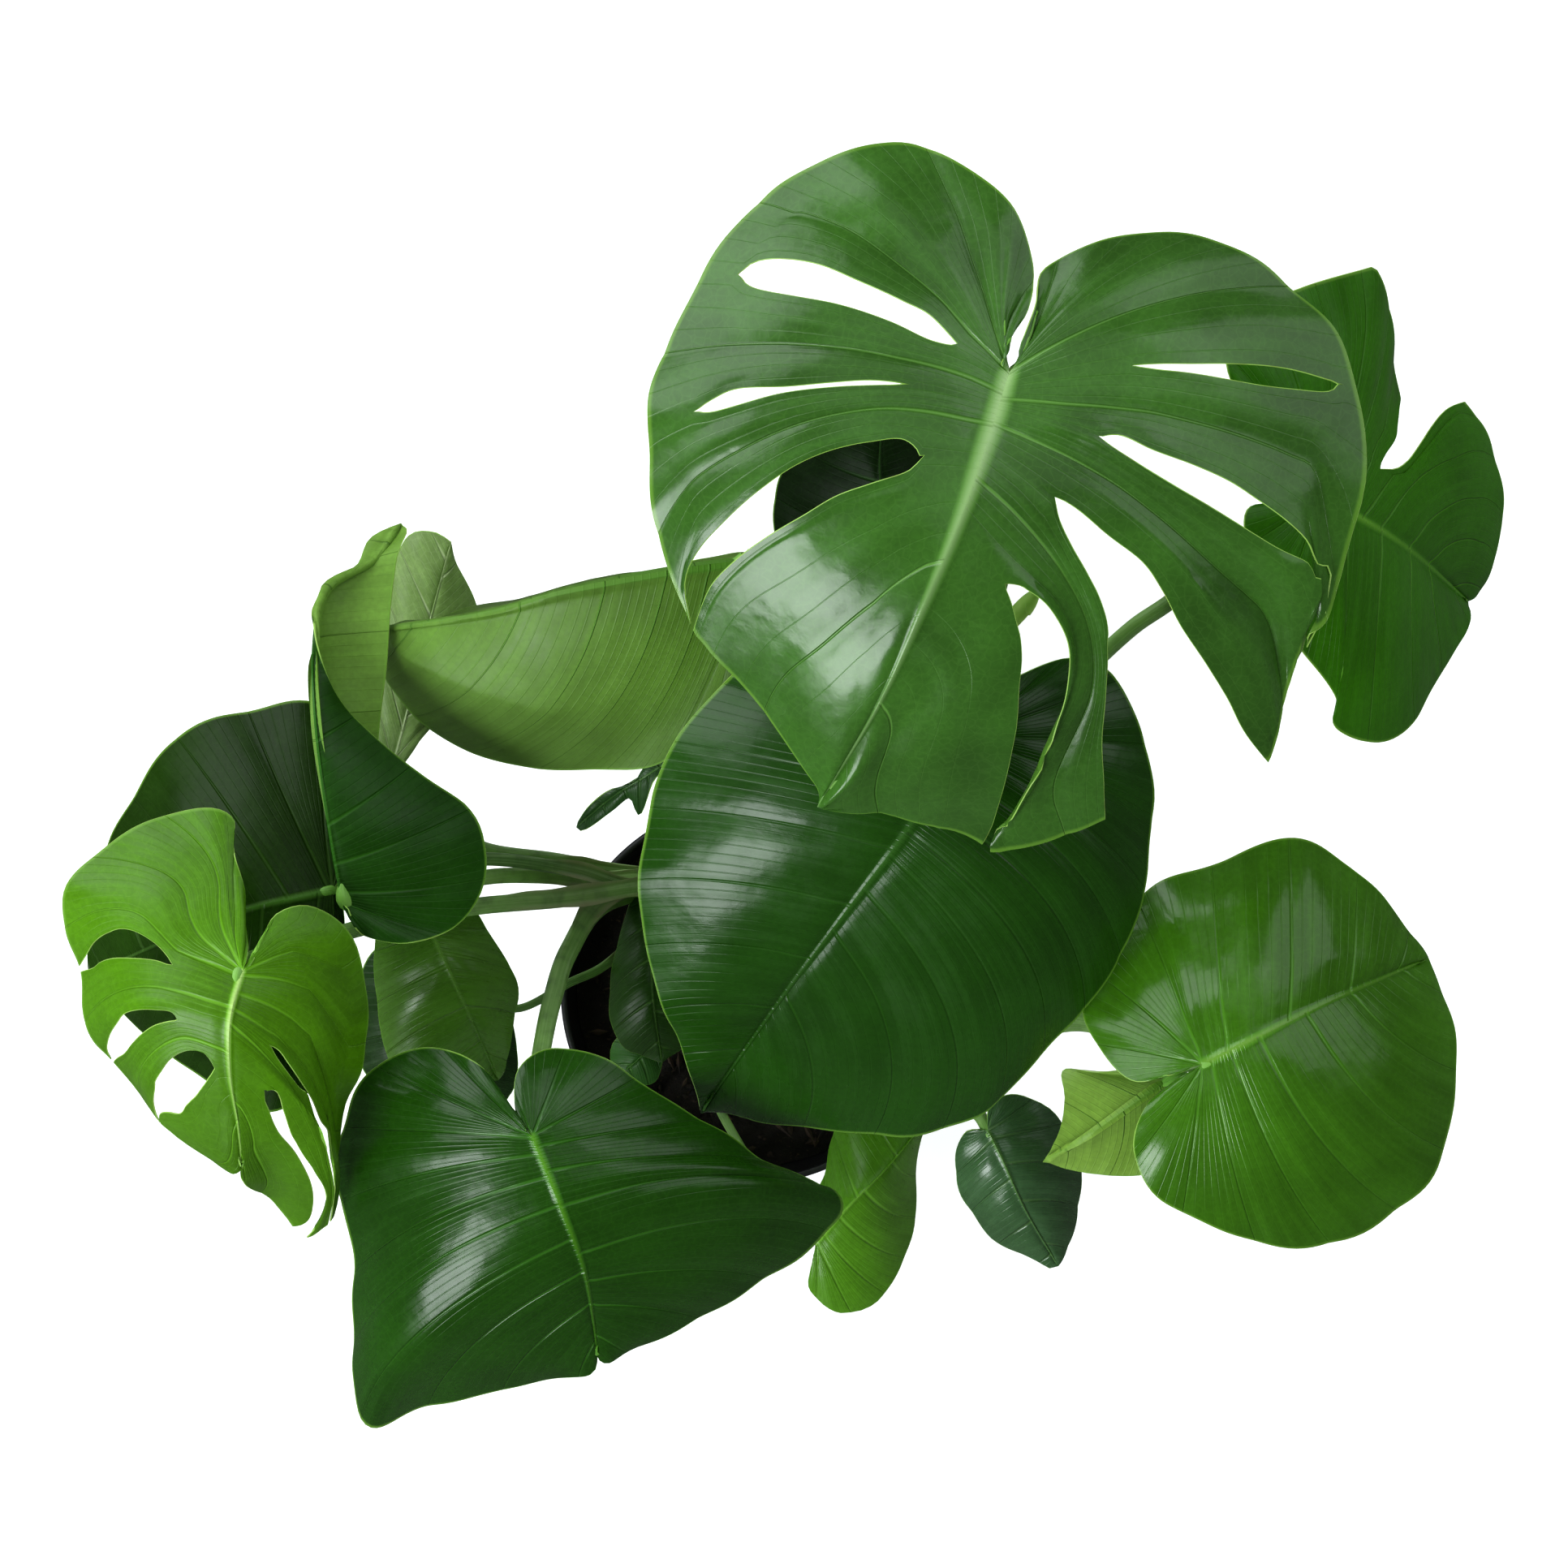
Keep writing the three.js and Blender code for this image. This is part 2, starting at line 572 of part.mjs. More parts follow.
    colour: 0x1f4a20,
    midrib: [[74, 76, 425], [58, 110, 438], [48, 146, 434], [48, 178, 412]],
    arch: [0.06, 0.06],
    keel: [3, 1],
    left: [
      [71, 74, 424, 0, 0], [54, 66, 422, 0, 0], [30, 72, 415, 0, 0], [8, 94, 408, 0.06, 0.03],
      [-4, 122, 402, 0.25, 0.05], [-2, 150, 400, 0.5, 0.06], [16, 168, 402, 0.75, 0.04],
      [34, 176, 406, 0.92, 0.02],
    ],
    right: [
      [77, 74, 424, 0, 0], [90, 70, 420, 0, 0], [102, 80, 412, 0, 0], [106, 106, 404, 0.1, 0.04],
      [104, 134, 400, 0.35, 0.06], [90, 158, 400, 0.62, 0.05], [70, 174, 404, 0.85, 0.03],
    ],
    petiole: {
      stem: 'back',
      start: 225,
      radius: [4.2, 3.4],
      path: [[46, 2, 325], [64, 46, 390]],
    },
  },
  // the small leaf that shows its underside at the right
  pale: {
    colour: 0x6e9c3a,
    midrib: [[194, -142, 375], [174, -156, 380], [150, -173, 370], [128, -186, 345]],
    arch: [0.05, 0.05],
    keel: [2.4, 1],
    hangs: true,
    left: [
      [192, -141, 374, 0, 0], [178, -140, 370, 0, 0], [156, -142, 362, 0.1, 0],
      [138, -141, 352, 0.3, 0], [138, -156, 350, 0.5, 0], [134, -176, 347, 0.8, 0],
    ],
    right: [
      [196, -146, 374, 0, 0], [199, -162, 368, 0, 0], [194, -180, 360, 0.04, 0.02],
      [178, -192, 352, 0.16, 0.05], [154, -192, 348, 0.45, 0.05], [138, -189, 345, 0.8, 0.02],
    ],
    petiole: {
      stem: 'front',
      start: 190,
      radius: [4.2, 3.4],
      path: [[94, -128, 275], [145, -118, 332], [174, -130, 356]],
    },
  },
  // the small dark leaf at the front right
  small: {
    colour: 0x24421f,
    midrib: [[100, -170, 302], [108, -186, 304], [119, -210, 292], [135, -237, 264]],
    arch: [0.07, 0.07],
    keel: [2.4, 1],
    left: [
      [100, -167, 301, 0, 0], [101, -160, 300, 0, 0], [108, -154, 298, 0, 0],
      [118, -154, 293, 0, 0], [133, -162, 286, 0.02, 0.03], [143, -178, 280, 0.12, 0.06],
      [146, -196, 275, 0.3, 0.08], [144, -214, 270, 0.55, 0.08], [139, -230, 266, 0.85, 0.04],
    ],
    right: [
      [98, -170, 301, 0, 0], [95, -170, 300, 0, 0], [89, -172, 297, 0, 0], [85, -180, 292, 0, 0],
      [85, -190, 287, 0.05, 0.04], [88, -202, 282, 0.18, 0.06], [95, -214, 277, 0.38, 0.07],
      [105, -226, 272, 0.6, 0.06], [119, -232, 268, 0.82, 0.03], [131, -238, 264, 0.97, 0],
    ],
    petiole: {
      stem: 'front',
      start: 175,
      radius: [3.4, 2.8],
      path: [[62, -152, 246], [93, -161, 291]],
    },
  },
  // the bright little leaf over the front of the rim
  bright: {
    colour: 0x468016,
    midrib: [[16, -226, 262], [32, -208, 274], [50, -190, 272], [70, -166, 248]],
    arch: [0.07, 0.07],
    keel: [2, 1],
    left: [
      [14, -224, 261, 0, 0], [11, -216, 258, 0, 0], [16, -202, 256, 0, 0], [21, -190, 254, 0.1, 0],
      [23, -176, 252, 0.3, 0.02], [30, -162, 250, 0.55, 0.03], [48, -156, 248, 0.82, 0.02],
    ],
    right: [
      [16, -229, 261, 0, 0], [13, -238, 256, 0, 0], [13, -250, 250, 0, 0],
      [28, -260, 244, 0, 0.02], [44, -256, 240, 0.03, 0.04], [55, -242, 237, 0.12, 0.06],
      [62, -224, 236, 0.3, 0.07], [65, -202, 238, 0.55, 0.07], [66, -182, 242, 0.8, 0.04],
    ],
    petiole: {
      stem: 'left',
      start: 173,
      radius: [2.6, 2.2],
      path: [[-46, -114, 190], [-35, -152, 205], [-24, -174, 218], [-6, -202, 240]],
    },
  },
  // the small folded leaf in the middle of the pot
  folded: {
    colour: 0x234d1c,
    midrib: [[-68, -56, 214], [-66, -82, 226], [-64, -110, 224], [-60, -137, 204]],
    arch: [0.05, 0.05],
    keel: [1.8, 1],
    left: [
      [-65, -55, 213, 0, 0], [-58, -62, 212, 0, 0], [-50, -79, 212, 0.15, 0.04],
      [-44, -102, 211, 0.45, 0.05], [-47, -126, 205, 0.8, 0.03],
    ],
    right: [
      [-70, -55, 213, 0, 0], [-76, -59, 212, 0, 0], [-82, -80, 212, 0.15, 0.03],
      [-86, -106, 211, 0.4, 0.04], [-85, -119, 209, 0.55, 0.04], [-79, -130, 206, 0.7, 0.03],
      [-70, -134, 204, 0.85, 0.02],
    ],
    petiole: {
      stem: 'left',
      start: 190,
      radius: [2.6, 2.4],
      path: [[-60, -59, 204]],
    },
  },
  // the smallest leaf, just above the soil
  sprout: {
    colour: 0x315a20,
    midrib: [[-64, -126, 188], [-70, -134, 192], [-78, -141, 186]],
    arch: [0.06, 0.06],
    keel: [1.2, 1],
    left: [
      [-62, -127, 188, 0, 0], [-60, -136, 186, 0, 0], [-63, -146, 183, 0.3, 0.05],
      [-70, -148, 182, 0.7, 0.03],
    ],
    right: [
      [-66, -124, 188, 0, 0], [-75, -122, 187, 0, 0], [-84, -127, 185, 0.3, 0.05],
      [-85, -137, 183, 0.7, 0.03],
    ],
    petiole: {
      stem: 'left',
      start: 164,
      radius: [1.8, 1.6],
      path: [[-58, -94, 176]],
    },
  },
  // the small waved leaf between the big ones
  wavy: {
    colour: 0x2f5c1f,
    midrib: [[-56, 12, 330], [-68, 4, 326], [-84, -6, 316], [-102, -21, 300]],
    arch: [0.03, 0.03],
    keel: [1.6, 1],
    left: [
      [-55, 9, 329, 0, 0], [-64, 2, 326, 0.15, 0], [-71, -15, 312, 0.3, 0],
      [-76, -7, 316, 0.42, 0], [-86, -14, 311, 0.65, 0], [-98, -22, 301, 0.92, 0],
    ],
    right: [
      [-58, 13, 330, 0, 0], [-68, 9, 327, 0.15, 0], [-75, 0, 322, 0.35, 0], [-86, -3, 317, 0.5, 0],
      [-95, -10, 309, 0.75, 0], [-101, -18, 302, 0.94, 0],
    ],
    petiole: {
      stem: 'back',
      start: 200,
      radius: [2.4, 2],
      path: [[-42, -34, 265], [-52, -8, 310]],
    },
  },
};

function place([u, v, z]) {
  const scale = (eyeHeight - z) / (eyeHeight - planHeight);
  return new THREE.Vector3(sightFoot[0] + u * scale, sightFoot[1] + v * scale, z);
}

function planOf(point) {
  const scale = (eyeHeight - planHeight) / (eyeHeight - point.z);
  return [(point.x - sightFoot[0]) * scale, (point.y - sightFoot[1]) * scale];
}

function clamp(value, low, high) {
  return Math.min(Math.max(value, low), high);
}

function mix(a, b, share) {
  return a + (b - a) * share;
}

// straight-line reading of the values ys at the rising places xs
function reading(xs, ys, x) {
  if (x <= xs[0]) return ys[0];
  const last = xs.length - 1;
  for (let i = 0; i < last; i++) {
    if (x <= xs[i + 1]) {
      const span = xs[i + 1] - xs[i];
      return span > 0 ? mix(ys[i], ys[i + 1], (x - xs[i]) / span) : ys[i + 1];
    }
  }
  return ys[last];
}

// smooth curve through points at x = 0, 1, 2 ..., turning sharply at the points named in corners
function smoothCurve(points, x, corners = []) {
  const last = points.length - 1;
  const at = clamp(x, 0, last);
  const i = Math.min(Math.floor(at), last - 1);
  const u = at - i;
  const step = (k) => points[k + 1].clone().sub(points[k]);
  const through = (k) => {
    if (k === 0) return step(0);
    if (k === last) return step(last - 1);
    return step(k).add(step(k - 1)).multiplyScalar(0.5);
  };
  const leaving = corners.includes(i) ? step(i) : through(i);
  const arriving = corners.includes(i + 1) ? step(i) : through(i + 1);
  return points[i].clone().multiplyScalar((1 - u) ** 2 * (1 + 2 * u))
    .addScaledVector(points[i + 1], u * u * (3 - 2 * u))
    .addScaledVector(leaving, u * (1 - u) ** 2)
    .addScaledVector(arriving, -u * u * (1 - u));
}

// The blade's surface: point(side, row, t) runs along a margin row from the midrib, t = 0, to the margin.
function bladeSurface(leaf) {
  const midrib = leaf.midrib.map(place);
  const shares = [0];
  for (let i = 1; i < midrib.length; i++) {
    shares.push(shares[i - 1] + midrib[i].distanceTo(midrib[i - 1]));
  }
  const length = shares[shares.length - 1];
  const stations = shares.map((run) => run / length);
  const rib = (share) => smoothCurve(midrib, reading(stations, stations.map((_, i) => i), share));
  const tip = leaf.midrib[leaf.midrib.length - 1];
  const half = (rows, side) => {
    const all = [...rows, [...tip, 1, 0]];
    const middle = new THREE.Vector3();
    for (const row of all) middle.addScaledVector(place(row), 1 / all.length);
    return {
      rowCount: all.length,
      places: all.map((_, i) => i),
      margin: all.map(place),
      starts: all.map((row) => row[3]),
      bows: all.map((row) => row[4]),
      corners: side === 'left' ? (leaf.corners ?? []) : [],
      arch: leaf.arch[side === 'left' ? 0 : 1],
      middle,
    };
  };
  const halves = { left: half(leaf.left, 'left'), right: half(leaf.right, 'right') };
  const across = halves.left.middle.clone().sub(halves.right.middle);
  const up = midrib[midrib.length - 1].clone().sub(midrib[0]).cross(across).normalize();
  const point = (side, row, t) => {
    const part = halves[side];
    const from = rib(reading(part.places, part.starts, row));
    const span = smoothCurve(part.margin, row, part.corners).sub(from);
    const reach = span.length();
    const aside = up.clone().cross(span).normalize().multiplyScalar(side === 'left' ? 1 : -1);
    const hump = 4 * t * (1 - t);
    const bow = reading(part.places, part.bows, row);
    const result = from.addScaledVector(span, t)
      .addScaledVector(aside, reach * hump * bow)
      .addScaledVector(up, reach * hump * part.arch);
    if (side === 'left' && leaf.roll) {
      result.addScaledVector(new THREE.Vector3(...leaf.roll), hump * clamp(reach / rollFade, 0, 1));
    }
    return result;
  };
  return { halves, up, point };
}

// row and t of the surface point that is seen at plan point (u, v)
function locate(surface, side, [u, v]) {
  const lastRow = surface.halves[side].rowCount - 1;
  let best = { row: 0, t: 0, far: Infinity };
  const search = (rowFrom, rowTo, rowSteps, tFrom, tTo, tSteps) => {
    for (let i = 0; i <= rowSteps; i++) {
      for (let j = 0; j <= tSteps; j++) {
        const row = clamp(mix(rowFrom, rowTo, i / rowSteps), 0, lastRow);
        const t = clamp(mix(tFrom, tTo, j / tSteps), 0, 1);
        const [x, y] = planOf(surface.point(side, row, t));
        const far = Math.hypot(x - u, y - v);
        if (far < best.far) best = { row, t, far };
      }
    }
  };
  const { perRow, across, fine, rounds, zoom } = searchSteps;
  search(0, lastRow, perRow * lastRow, 0, 1, across);
  let rowReach = 1 / perRow;
  let tReach = 1 / across;
  for (let round = 0; round < rounds; round++) {
    search(best.row - rowReach, best.row + rowReach, fine, best.t - tReach, best.t + tReach, fine);
    rowReach /= zoom;
    tReach /= zoom;
  }
  return best;
}

// one edge of a cut as rows over t
function cutEdge(surface, side, points, mouthRow) {
  const found = points.map((point) => locate(surface, side, point));
  if (mouthRow !== undefined) {
    found[found.length - 1] = { row: mouthRow, t: 1 };
  }
  const ts = found.map((spot) => spot.t);
  const rows = found.map((spot) => spot.row);
  return (t) => reading(ts, rows, t);
}

function bladeCuts(leaf, surface, side) {
  const cuts = leaf.cuts?.[side] ?? [];
  return cuts.map((cut) => ({
    inner: locate(surface, side, cut.base[0]),
    base: cutEdge(surface, side, cut.base, cut.mouth?.[0]),
    tip: cutEdge(surface, side, cut.tip, cut.mouth?.[1]),
  }));
}

// number of columns between one margin row and the next
function columnCount(part, row) {
  return Math.max(1, Math.round(part.margin[row].distanceTo(part.margin[row + 1]) / marginStep));
}

// Places along the midrib that both halves share, so the halves join without a seam.
function sharedStarts(surface, cuts) {
  const wanted = [];
  for (const side of ['left', 'right']) {
    const part = surface.halves[side];
    for (const cut of cuts[side]) {
      wanted.push({ start: reading(part.places, part.starts, cut.inner.row), fixed: true });
    }
    for (let row = 0; row < part.rowCount - 1; row++) {
      const from = part.starts[row];
      const to = part.starts[row + 1];
      if (to <= 0) continue;
      const count = columnCount(part, row);
      for (let k = 1; k <= count; k++) wanted.push({ start: mix(from, to, k / count), fixed: false });
    }
  }
  wanted.sort((a, b) => a.start - b.start);
  const kept = [];
  for (const item of wanted) {
    const before = kept[kept.length - 1];
    if (item.start < stationGap || item.start > 1 - stationGap) continue;
    if (before && item.start - before.start < stationGap) {
      if (item.fixed && !before.fixed) kept[kept.length - 1] = item;
      continue;
    }
    kept.push(item);
  }
  return [...kept.map((item) => item.start), 1];
}

// Columns of one half: every column is a row number as a function of t.
function halfColumns(surface, side, cuts, starts) {
  const part = surface.halves[side];
  const last = part.rowCount - 1;
  const firstMoving = part.starts.findIndex((start) => start > 0) - 1;
  const rowsAtRib = [];
  for (let row = 0; row < firstMoving; row++) {
    const count = columnCount(part, row);
    for (let k = 0; k < count; k++) rowsAtRib.push(row + k / count);
  }
  rowsAtRib.push(firstMoving);
  const movingStarts = part.starts.slice(firstMoving);
  const movingRows = part.places.slice(firstMoving);
  for (const start of starts) {
    rowsAtRib.push(start === 1 ? last : reading(movingStarts, movingRows, start));
  }

  const bounds = [{ at: 0, base: () => 0, tip: () => 0 }];
  for (const cut of cuts) {
    const far = (row) => Math.abs(row - cut.inner.row);
    const nearest = rowsAtRib.reduce((a, b) => (far(b) < far(a) ? b : a));
    const lead = (edge) => (t) => (
      t < cut.inner.t ? mix(nearest, cut.inner.row, t / cut.inner.t) : edge(t)
    );
    bounds.push({ at: nearest, base: lead(cut.base), tip: lead(cut.tip) });
  }
  bounds.push({ at: last, base: () => last, tip: () => last });
  bounds.sort((a, b) => a.at - b.at);

  const strips = [];
  for (let k = 0; k + 1 < bounds.length; k++) {
    const from = bounds[k];
    const to = bounds[k + 1];
    const inside = rowsAtRib.filter((row) => row >= from.at && row <= to.at);
    strips.push(inside.map((row) => {
      const share = (row - from.at) / (to.at - from.at);
      return (t) => mix(from.tip(t), to.base(t), share);
    }));
  }
  return strips;
}

// Middle surface of a blade: points, triangles wound upwards, and the share of the midrib of keel points.
function bladeNet(leaf) {
  const surface = bladeSurface(leaf);
  const cuts = { left: bladeCuts(leaf, surface, 'left'), right: bladeCuts(leaf, surface, 'right') };
  const starts = sharedStarts(surface, cuts);
  const samples = leaf.cuts ? cutSamples : plainSamples;
  const points = [];
  const keelShare = [];
  const keep = (point, share) => {
    const same = points.findIndex((other) => other.distanceTo(point) < mergeReach);
    if (same >= 0) return same;
    points.push(point);
    keelShare.push(share);
    return points.length - 1;
  };
  const triangles = [];
  for (const side of ['left', 'right']) {
    const part = surface.halves[side];
    for (const strip of halfColumns(surface, side, cuts[side], starts)) {
      const net = strip.map((rowAt) => samples.map((t) => {
        const row = rowAt(t);
        const share = t === 0 ? reading(part.places, part.starts, row) : -1;
        return keep(surface.point(side, row, t), share);
      }));
      for (let i = 0; i + 1 < net.length; i++) {
        for (let j = 0; j + 1 < samples.length; j++) {
          const corners = [net[i][j], net[i + 1][j], net[i + 1][j + 1], net[i][j + 1]];
          if (side === 'right') corners.reverse();
          for (const [a, b, c] of [[0, 1, 2], [0, 2, 3]]) {
            const face = [corners[a], corners[b], corners[c]];
            if (new Set(face).size === 3) triangles.push(face);
          }
        }
      }
    }
  }
  return { points, triangles, keelShare };
}

function geometryOf(points, triangles) {
  const geometry = new THREE.BufferGeometry();
  const positions = points.flatMap((point) => point.toArray());
  geometry.setAttribute('position', new THREE.Float32BufferAttribute(positions, 3));
  geometry.setIndex(triangles.flat());
  return geometry;
}

// Closed blade around its middle surface; extra widens it all round, for the space kept by its neighbours.
function bladeGeometry(leaf, net, extra = 0) {
  const { points, triangles, keelShare } = net;
  const normals = points.map(() => new THREE.Vector3());
  const outward = points.map(() => new THREE.Vector3());
  const edges = new Map();
  for (const [a, b, c] of triangles) {
    const normal = points[b].clone().sub(points[a]).cross(points[c].clone().sub(points[a]));
    for (const k of [a, b, c]) normals[k].add(normal);
    for (const [from, to] of [[a, b], [b, c], [c, a]]) {
      edges.set(`${from}_${to}`, { from, to, normal });
    }
  }
  for (const normal of normals) normal.normalize();
  const rims = [...edges.values()].filter(({ from, to }) => !edges.has(`${to}_${from}`));
  for (const { from, to, normal } of rims) {
    const away = points[to].clone().sub(points[from]).cross(normal).normalize();
    outward[from].add(away);
    outward[to].add(away);
  }
  const shell = [];
  const layer = (depth) => points.forEach((point, i) => {
    const below = depth < 0 && keelShare[i] >= 0;
    const keel = below ? mix(leaf.keel[0], leaf.keel[1], keelShare[i]) : 0;
    shell.push(point.clone()
      .addScaledVector(normals[i], depth - keel)
      .addScaledVector(outward[i].clone().normalize(), extra));
  });
  const half = bladeThickness / 2 + extra;
  layer(half);
  layer(-half);
  const n = points.length;
  const faces = [];
  for (const [a, b, c] of triangles) faces.push([a, b, c], [n + c, n + b, n + a]);
  for (const { from, to } of rims) faces.push([to, from, n + from], [to, n + from, n + to]);
  return geometryOf(shell, faces);
}

// Round tube along a smooth path, closed by flat ends, its radius read over the path from radii.
function tubeGeometry(path, radii, sides, stepLength) {
  const fine = pathSteps * (path.length - 1);
  const line = [];
  for (let i = 0; i <= fine; i++) line.push(smoothCurve(path, (i / fine) * (path.length - 1)));
  const run = [0];
  for (let i = 1; i < line.length; i++) run.push(run[i - 1] + line[i].distanceTo(line[i - 1]));
  const length = run[run.length - 1];
  const rings = Math.max(3, Math.round(length / stepLength));
  const at = (share) => smoothCurve(line, reading(run, run.map((_, i) => i), share * length));
  const places = radii.map((_, i) => i / (radii.length - 1));
  const points = [];
  let across = null;
  for (let i = 0; i <= rings; i++) {
    const share = i / rings;
    const centre = at(share);
    const ahead = at(Math.min(share + aimShare, 1));
    const along = ahead.sub(at(Math.max(share - aimShare, 0))).normalize();
    across = (across ?? new THREE.Vector3(...ringStart)).clone();
    across.addScaledVector(along, -across.dot(along)).normalize();
    const beside = along.clone().cross(across);
    const radius = reading(places, radii, share);
    for (let k = 0; k < sides; k++) {
      const angle = (2 * Math.PI * k) / sides;
      points.push(centre.clone()
        .addScaledVector(across, radius * Math.cos(angle))
        .addScaledVector(beside, radius * Math.sin(angle)));
    }
  }
  const faces = [];
  for (let i = 0; i < rings; i++) {
    for (let k = 0; k < sides; k++) {
      const a = i * sides + k;
      const b = i * sides + ((k + 1) % sides);
      faces.push([a, b, b + sides], [a, b + sides, a + sides]);
    }
  }
  for (const [ring, turn] of [[0, 1], [rings, -1]]) {
    const first = ring * sides;
    for (let k = 1; k + 1 < sides; k++) {
      faces.push(turn > 0 ? [first, first + k + 1, first + k] : [first, first + k, first + k + 1]);
    }
  }
  return geometryOf(points, faces);
}

// the same path, drawn out a little beyond both ends
function lengthened(path, extra) {
  const last = path.length - 1;
  const beyond = (end, before) => (
    end.clone().addScaledVector(end.clone().sub(before).normalize(), extra)
  );
  return [beyond(path[0], path[1]), ...path.slice(1, last), beyond(path[last], path[last - 1])];
}

// A petiole leaves its stem at its start height and ends against the underside of its knuckle,
// or behind the knuckle where the blade hangs upside down.
function petiolePath(leaf, surface) {
  const { stem, start, radius, path } = leaf.petiole;
  const bends = path.map(place);
  const [x, y] = stems[stem].at;
  const foot = new THREE.Vector3(x, y, start);
  const away = bends[0].clone().sub(foot).setZ(0).normalize();
  foot.addScaledVector(away, stemRadius * petioleFoot);
  const knuckle = place(leaf.midrib[0]);
  const topRadius = radius[radius.length - 1];
  const end = knuckle.clone();
  if (leaf.hangs) {
    const back = knuckle.clone().sub(place(leaf.midrib[1])).normalize();
    end.addScaledVector(back, topRadius + edgeClearance);
  } else {
    const arrival = knuckle.clone().sub(bends[bends.length - 1]).normalize();
    const slant = Math.sqrt(1 - arrival.dot(surface.up) ** 2);
    const below = leaf.keel[0] + bladeThickness / 2 + gap + topRadius * slant;
    end.addScaledVector(surface.up, -below);
  }
  return [foot, ...bends, end];
}

// solids for cutting one piece clear of another
function solidOf(geometry) {
  const bare = geometry.clone();
  bare.deleteAttribute('normal');
  bare.deleteAttribute('uv');
  const merged = mergeVertices(bare, weldReach);
  const mesh = new wasm.Mesh({
    numProp: 3,
    vertProperties: new Float32Array(merged.attributes.position.array),
    triVerts: new Uint32Array(merged.index.array),
  });
  return new wasm.Manifold(mesh);
}

function geometryFrom(solid) {
  const mesh = solid.getMesh();
  const geometry = new THREE.BufferGeometry();
  const positions = [];
  for (let i = 0; i < mesh.numVert; i++) {
    for (let k = 0; k < 3; k++) positions.push(mesh.vertProperties[i * mesh.numProp + k]);
  }
  geometry.setAttribute('position', new THREE.Float32BufferAttribute(positions, 3));
  geometry.setIndex([...mesh.triVerts]);
  return geometry;
}

function largestPiece(solid) {
  return solid.decompose().reduce((a, b) => (b.volume() > a.volume() ? b : a));
}

function boundsTouch(a, b) {
  const boxA = a.boundingBox();
  const boxB = b.boundingBox();
  return [0, 1, 2].every((k) => boxA.min[k] <= boxB.max[k] && boxB.min[k] <= boxA.max[k]);
}

// ring with the given profile of [radius, z], turned about the z axis
function turned(profile, sides) {
  return new THREE.LatheGeometry(profile.map(([r, z]) => new THREE.Vector2(r, z)), sides)
    .rotateX(Math.PI / 2);
}

function potSolid() {
  const slope = (rimRadius - footRadius) / rimHeight;
  const outer = (z) => footRadius + slope * z;
  const profile = [
    [0, 0],
    [footRadius - footChamfer, 0],
    [footRadius, footChamfer],
    [outer(rimHeight - 2 * lipRadius) - 1, rimHeight - 2 * lipRadius],
    [rimRadius, rimHeight - 1.5 * lipRadius],
    [rimRadius, rimHeight - 0.5 * lipRadius],
    [rimRadius - lipRadius * 0.6, rimHeight],
    [rimRadius - lipRadius * 1.4, rimHeight],
    [rimRadius - lipRadius * 2, rimHeight - lipRadius],
    [outer(potFloor) - potWall, potFloor],
    [0, potFloor],
  ];
  let pot = solidOf(turned(profile, potSides));
  for (let k = 0; k < drainHoles; k++) {
    const angle = (2 * Math.PI * (k + 0.5)) / drainHoles;
    const hole = new THREE.CylinderGeometry(drainRadius, drainRadius, 3 * potFloor, drainSides)
      .rotateX(Math.PI / 2)
      .translate(drainCircle * Math.cos(angle), drainCircle * Math.sin(angle), potFloor / 2);
    pot = pot.subtract(solidOf(hole));
  }
  return pot;
}

function innerRadius(z) {
  const bottom = potFloor;
  const low = footRadius + ((rimRadius - footRadius) / rimHeight) * bottom - potWall;
  return mix(low, rimRadius - 2 * lipRadius, (z - bottom) / (rimHeight - lipRadius - bottom));
}

// height of the soil's top: a shallow dish with soft lumps
function soilTop(x, y) {
  const square = Math.sin(x * lumps.x + 1.3) * Math.cos(y * lumps.y - 0.4);
  const slanted = lumps.slantShare * Math.sin(x * lumps.slantX - y * lumps.slantY);
  const edge = (Math.hypot(x, y) / rimRadius) ** 4;
  return soilHeight - soilSink * edge + soilRoughness * (square + slanted) * (1 - edge);
}

function soilSolid() {
  const bottom = potFloor + gap;
  const edgeTop = soilHeight - soilSink;
  const flatness = Math.cos(Math.PI / potSides);
  const inset = gap / flatness + innerRadius(edgeTop) * (1 - flatness);
  const bottomRadius = innerRadius(bottom) - inset;
  const topRadius = innerRadius(edgeTop) - inset;
  const levels = [[0, bottom], [bottomRadius, bottom], [topRadius, edgeTop]];
  for (let ring = soilRings - 1; ring >= 0; ring--) levels.push([(topRadius * ring) / soilRings, edgeTop]);
  const geometry = turned(levels, soilSides);
  const positions = geometry.attributes.position;
  for (let i = 0; i < positions.count; i++) {
    if (positions.getZ(i) < edgeTop - gap) continue;
    const x = positions.getX(i);
    const y = positions.getY(i);
    const inside = Math.hypot(x, y) < topRadius - 1;
    if (inside) positions.setZ(i, soilTop(x, y));
  }
  let soil = solidOf(geometry);
  for (const { at } of Object.values(stems)) {
    const radius = stemRadius + gap;
    const hole = new THREE.CylinderGeometry(radius, radius, soilHeight, stemSides)
      .rotateX(Math.PI / 2)
      .rotateZ(Math.PI / stemSides)
      .translate(at[0], at[1], stemFoot - gap + soilHeight / 2);
    soil = soil.subtract(solidOf(hole));
  }
  return soil;
}

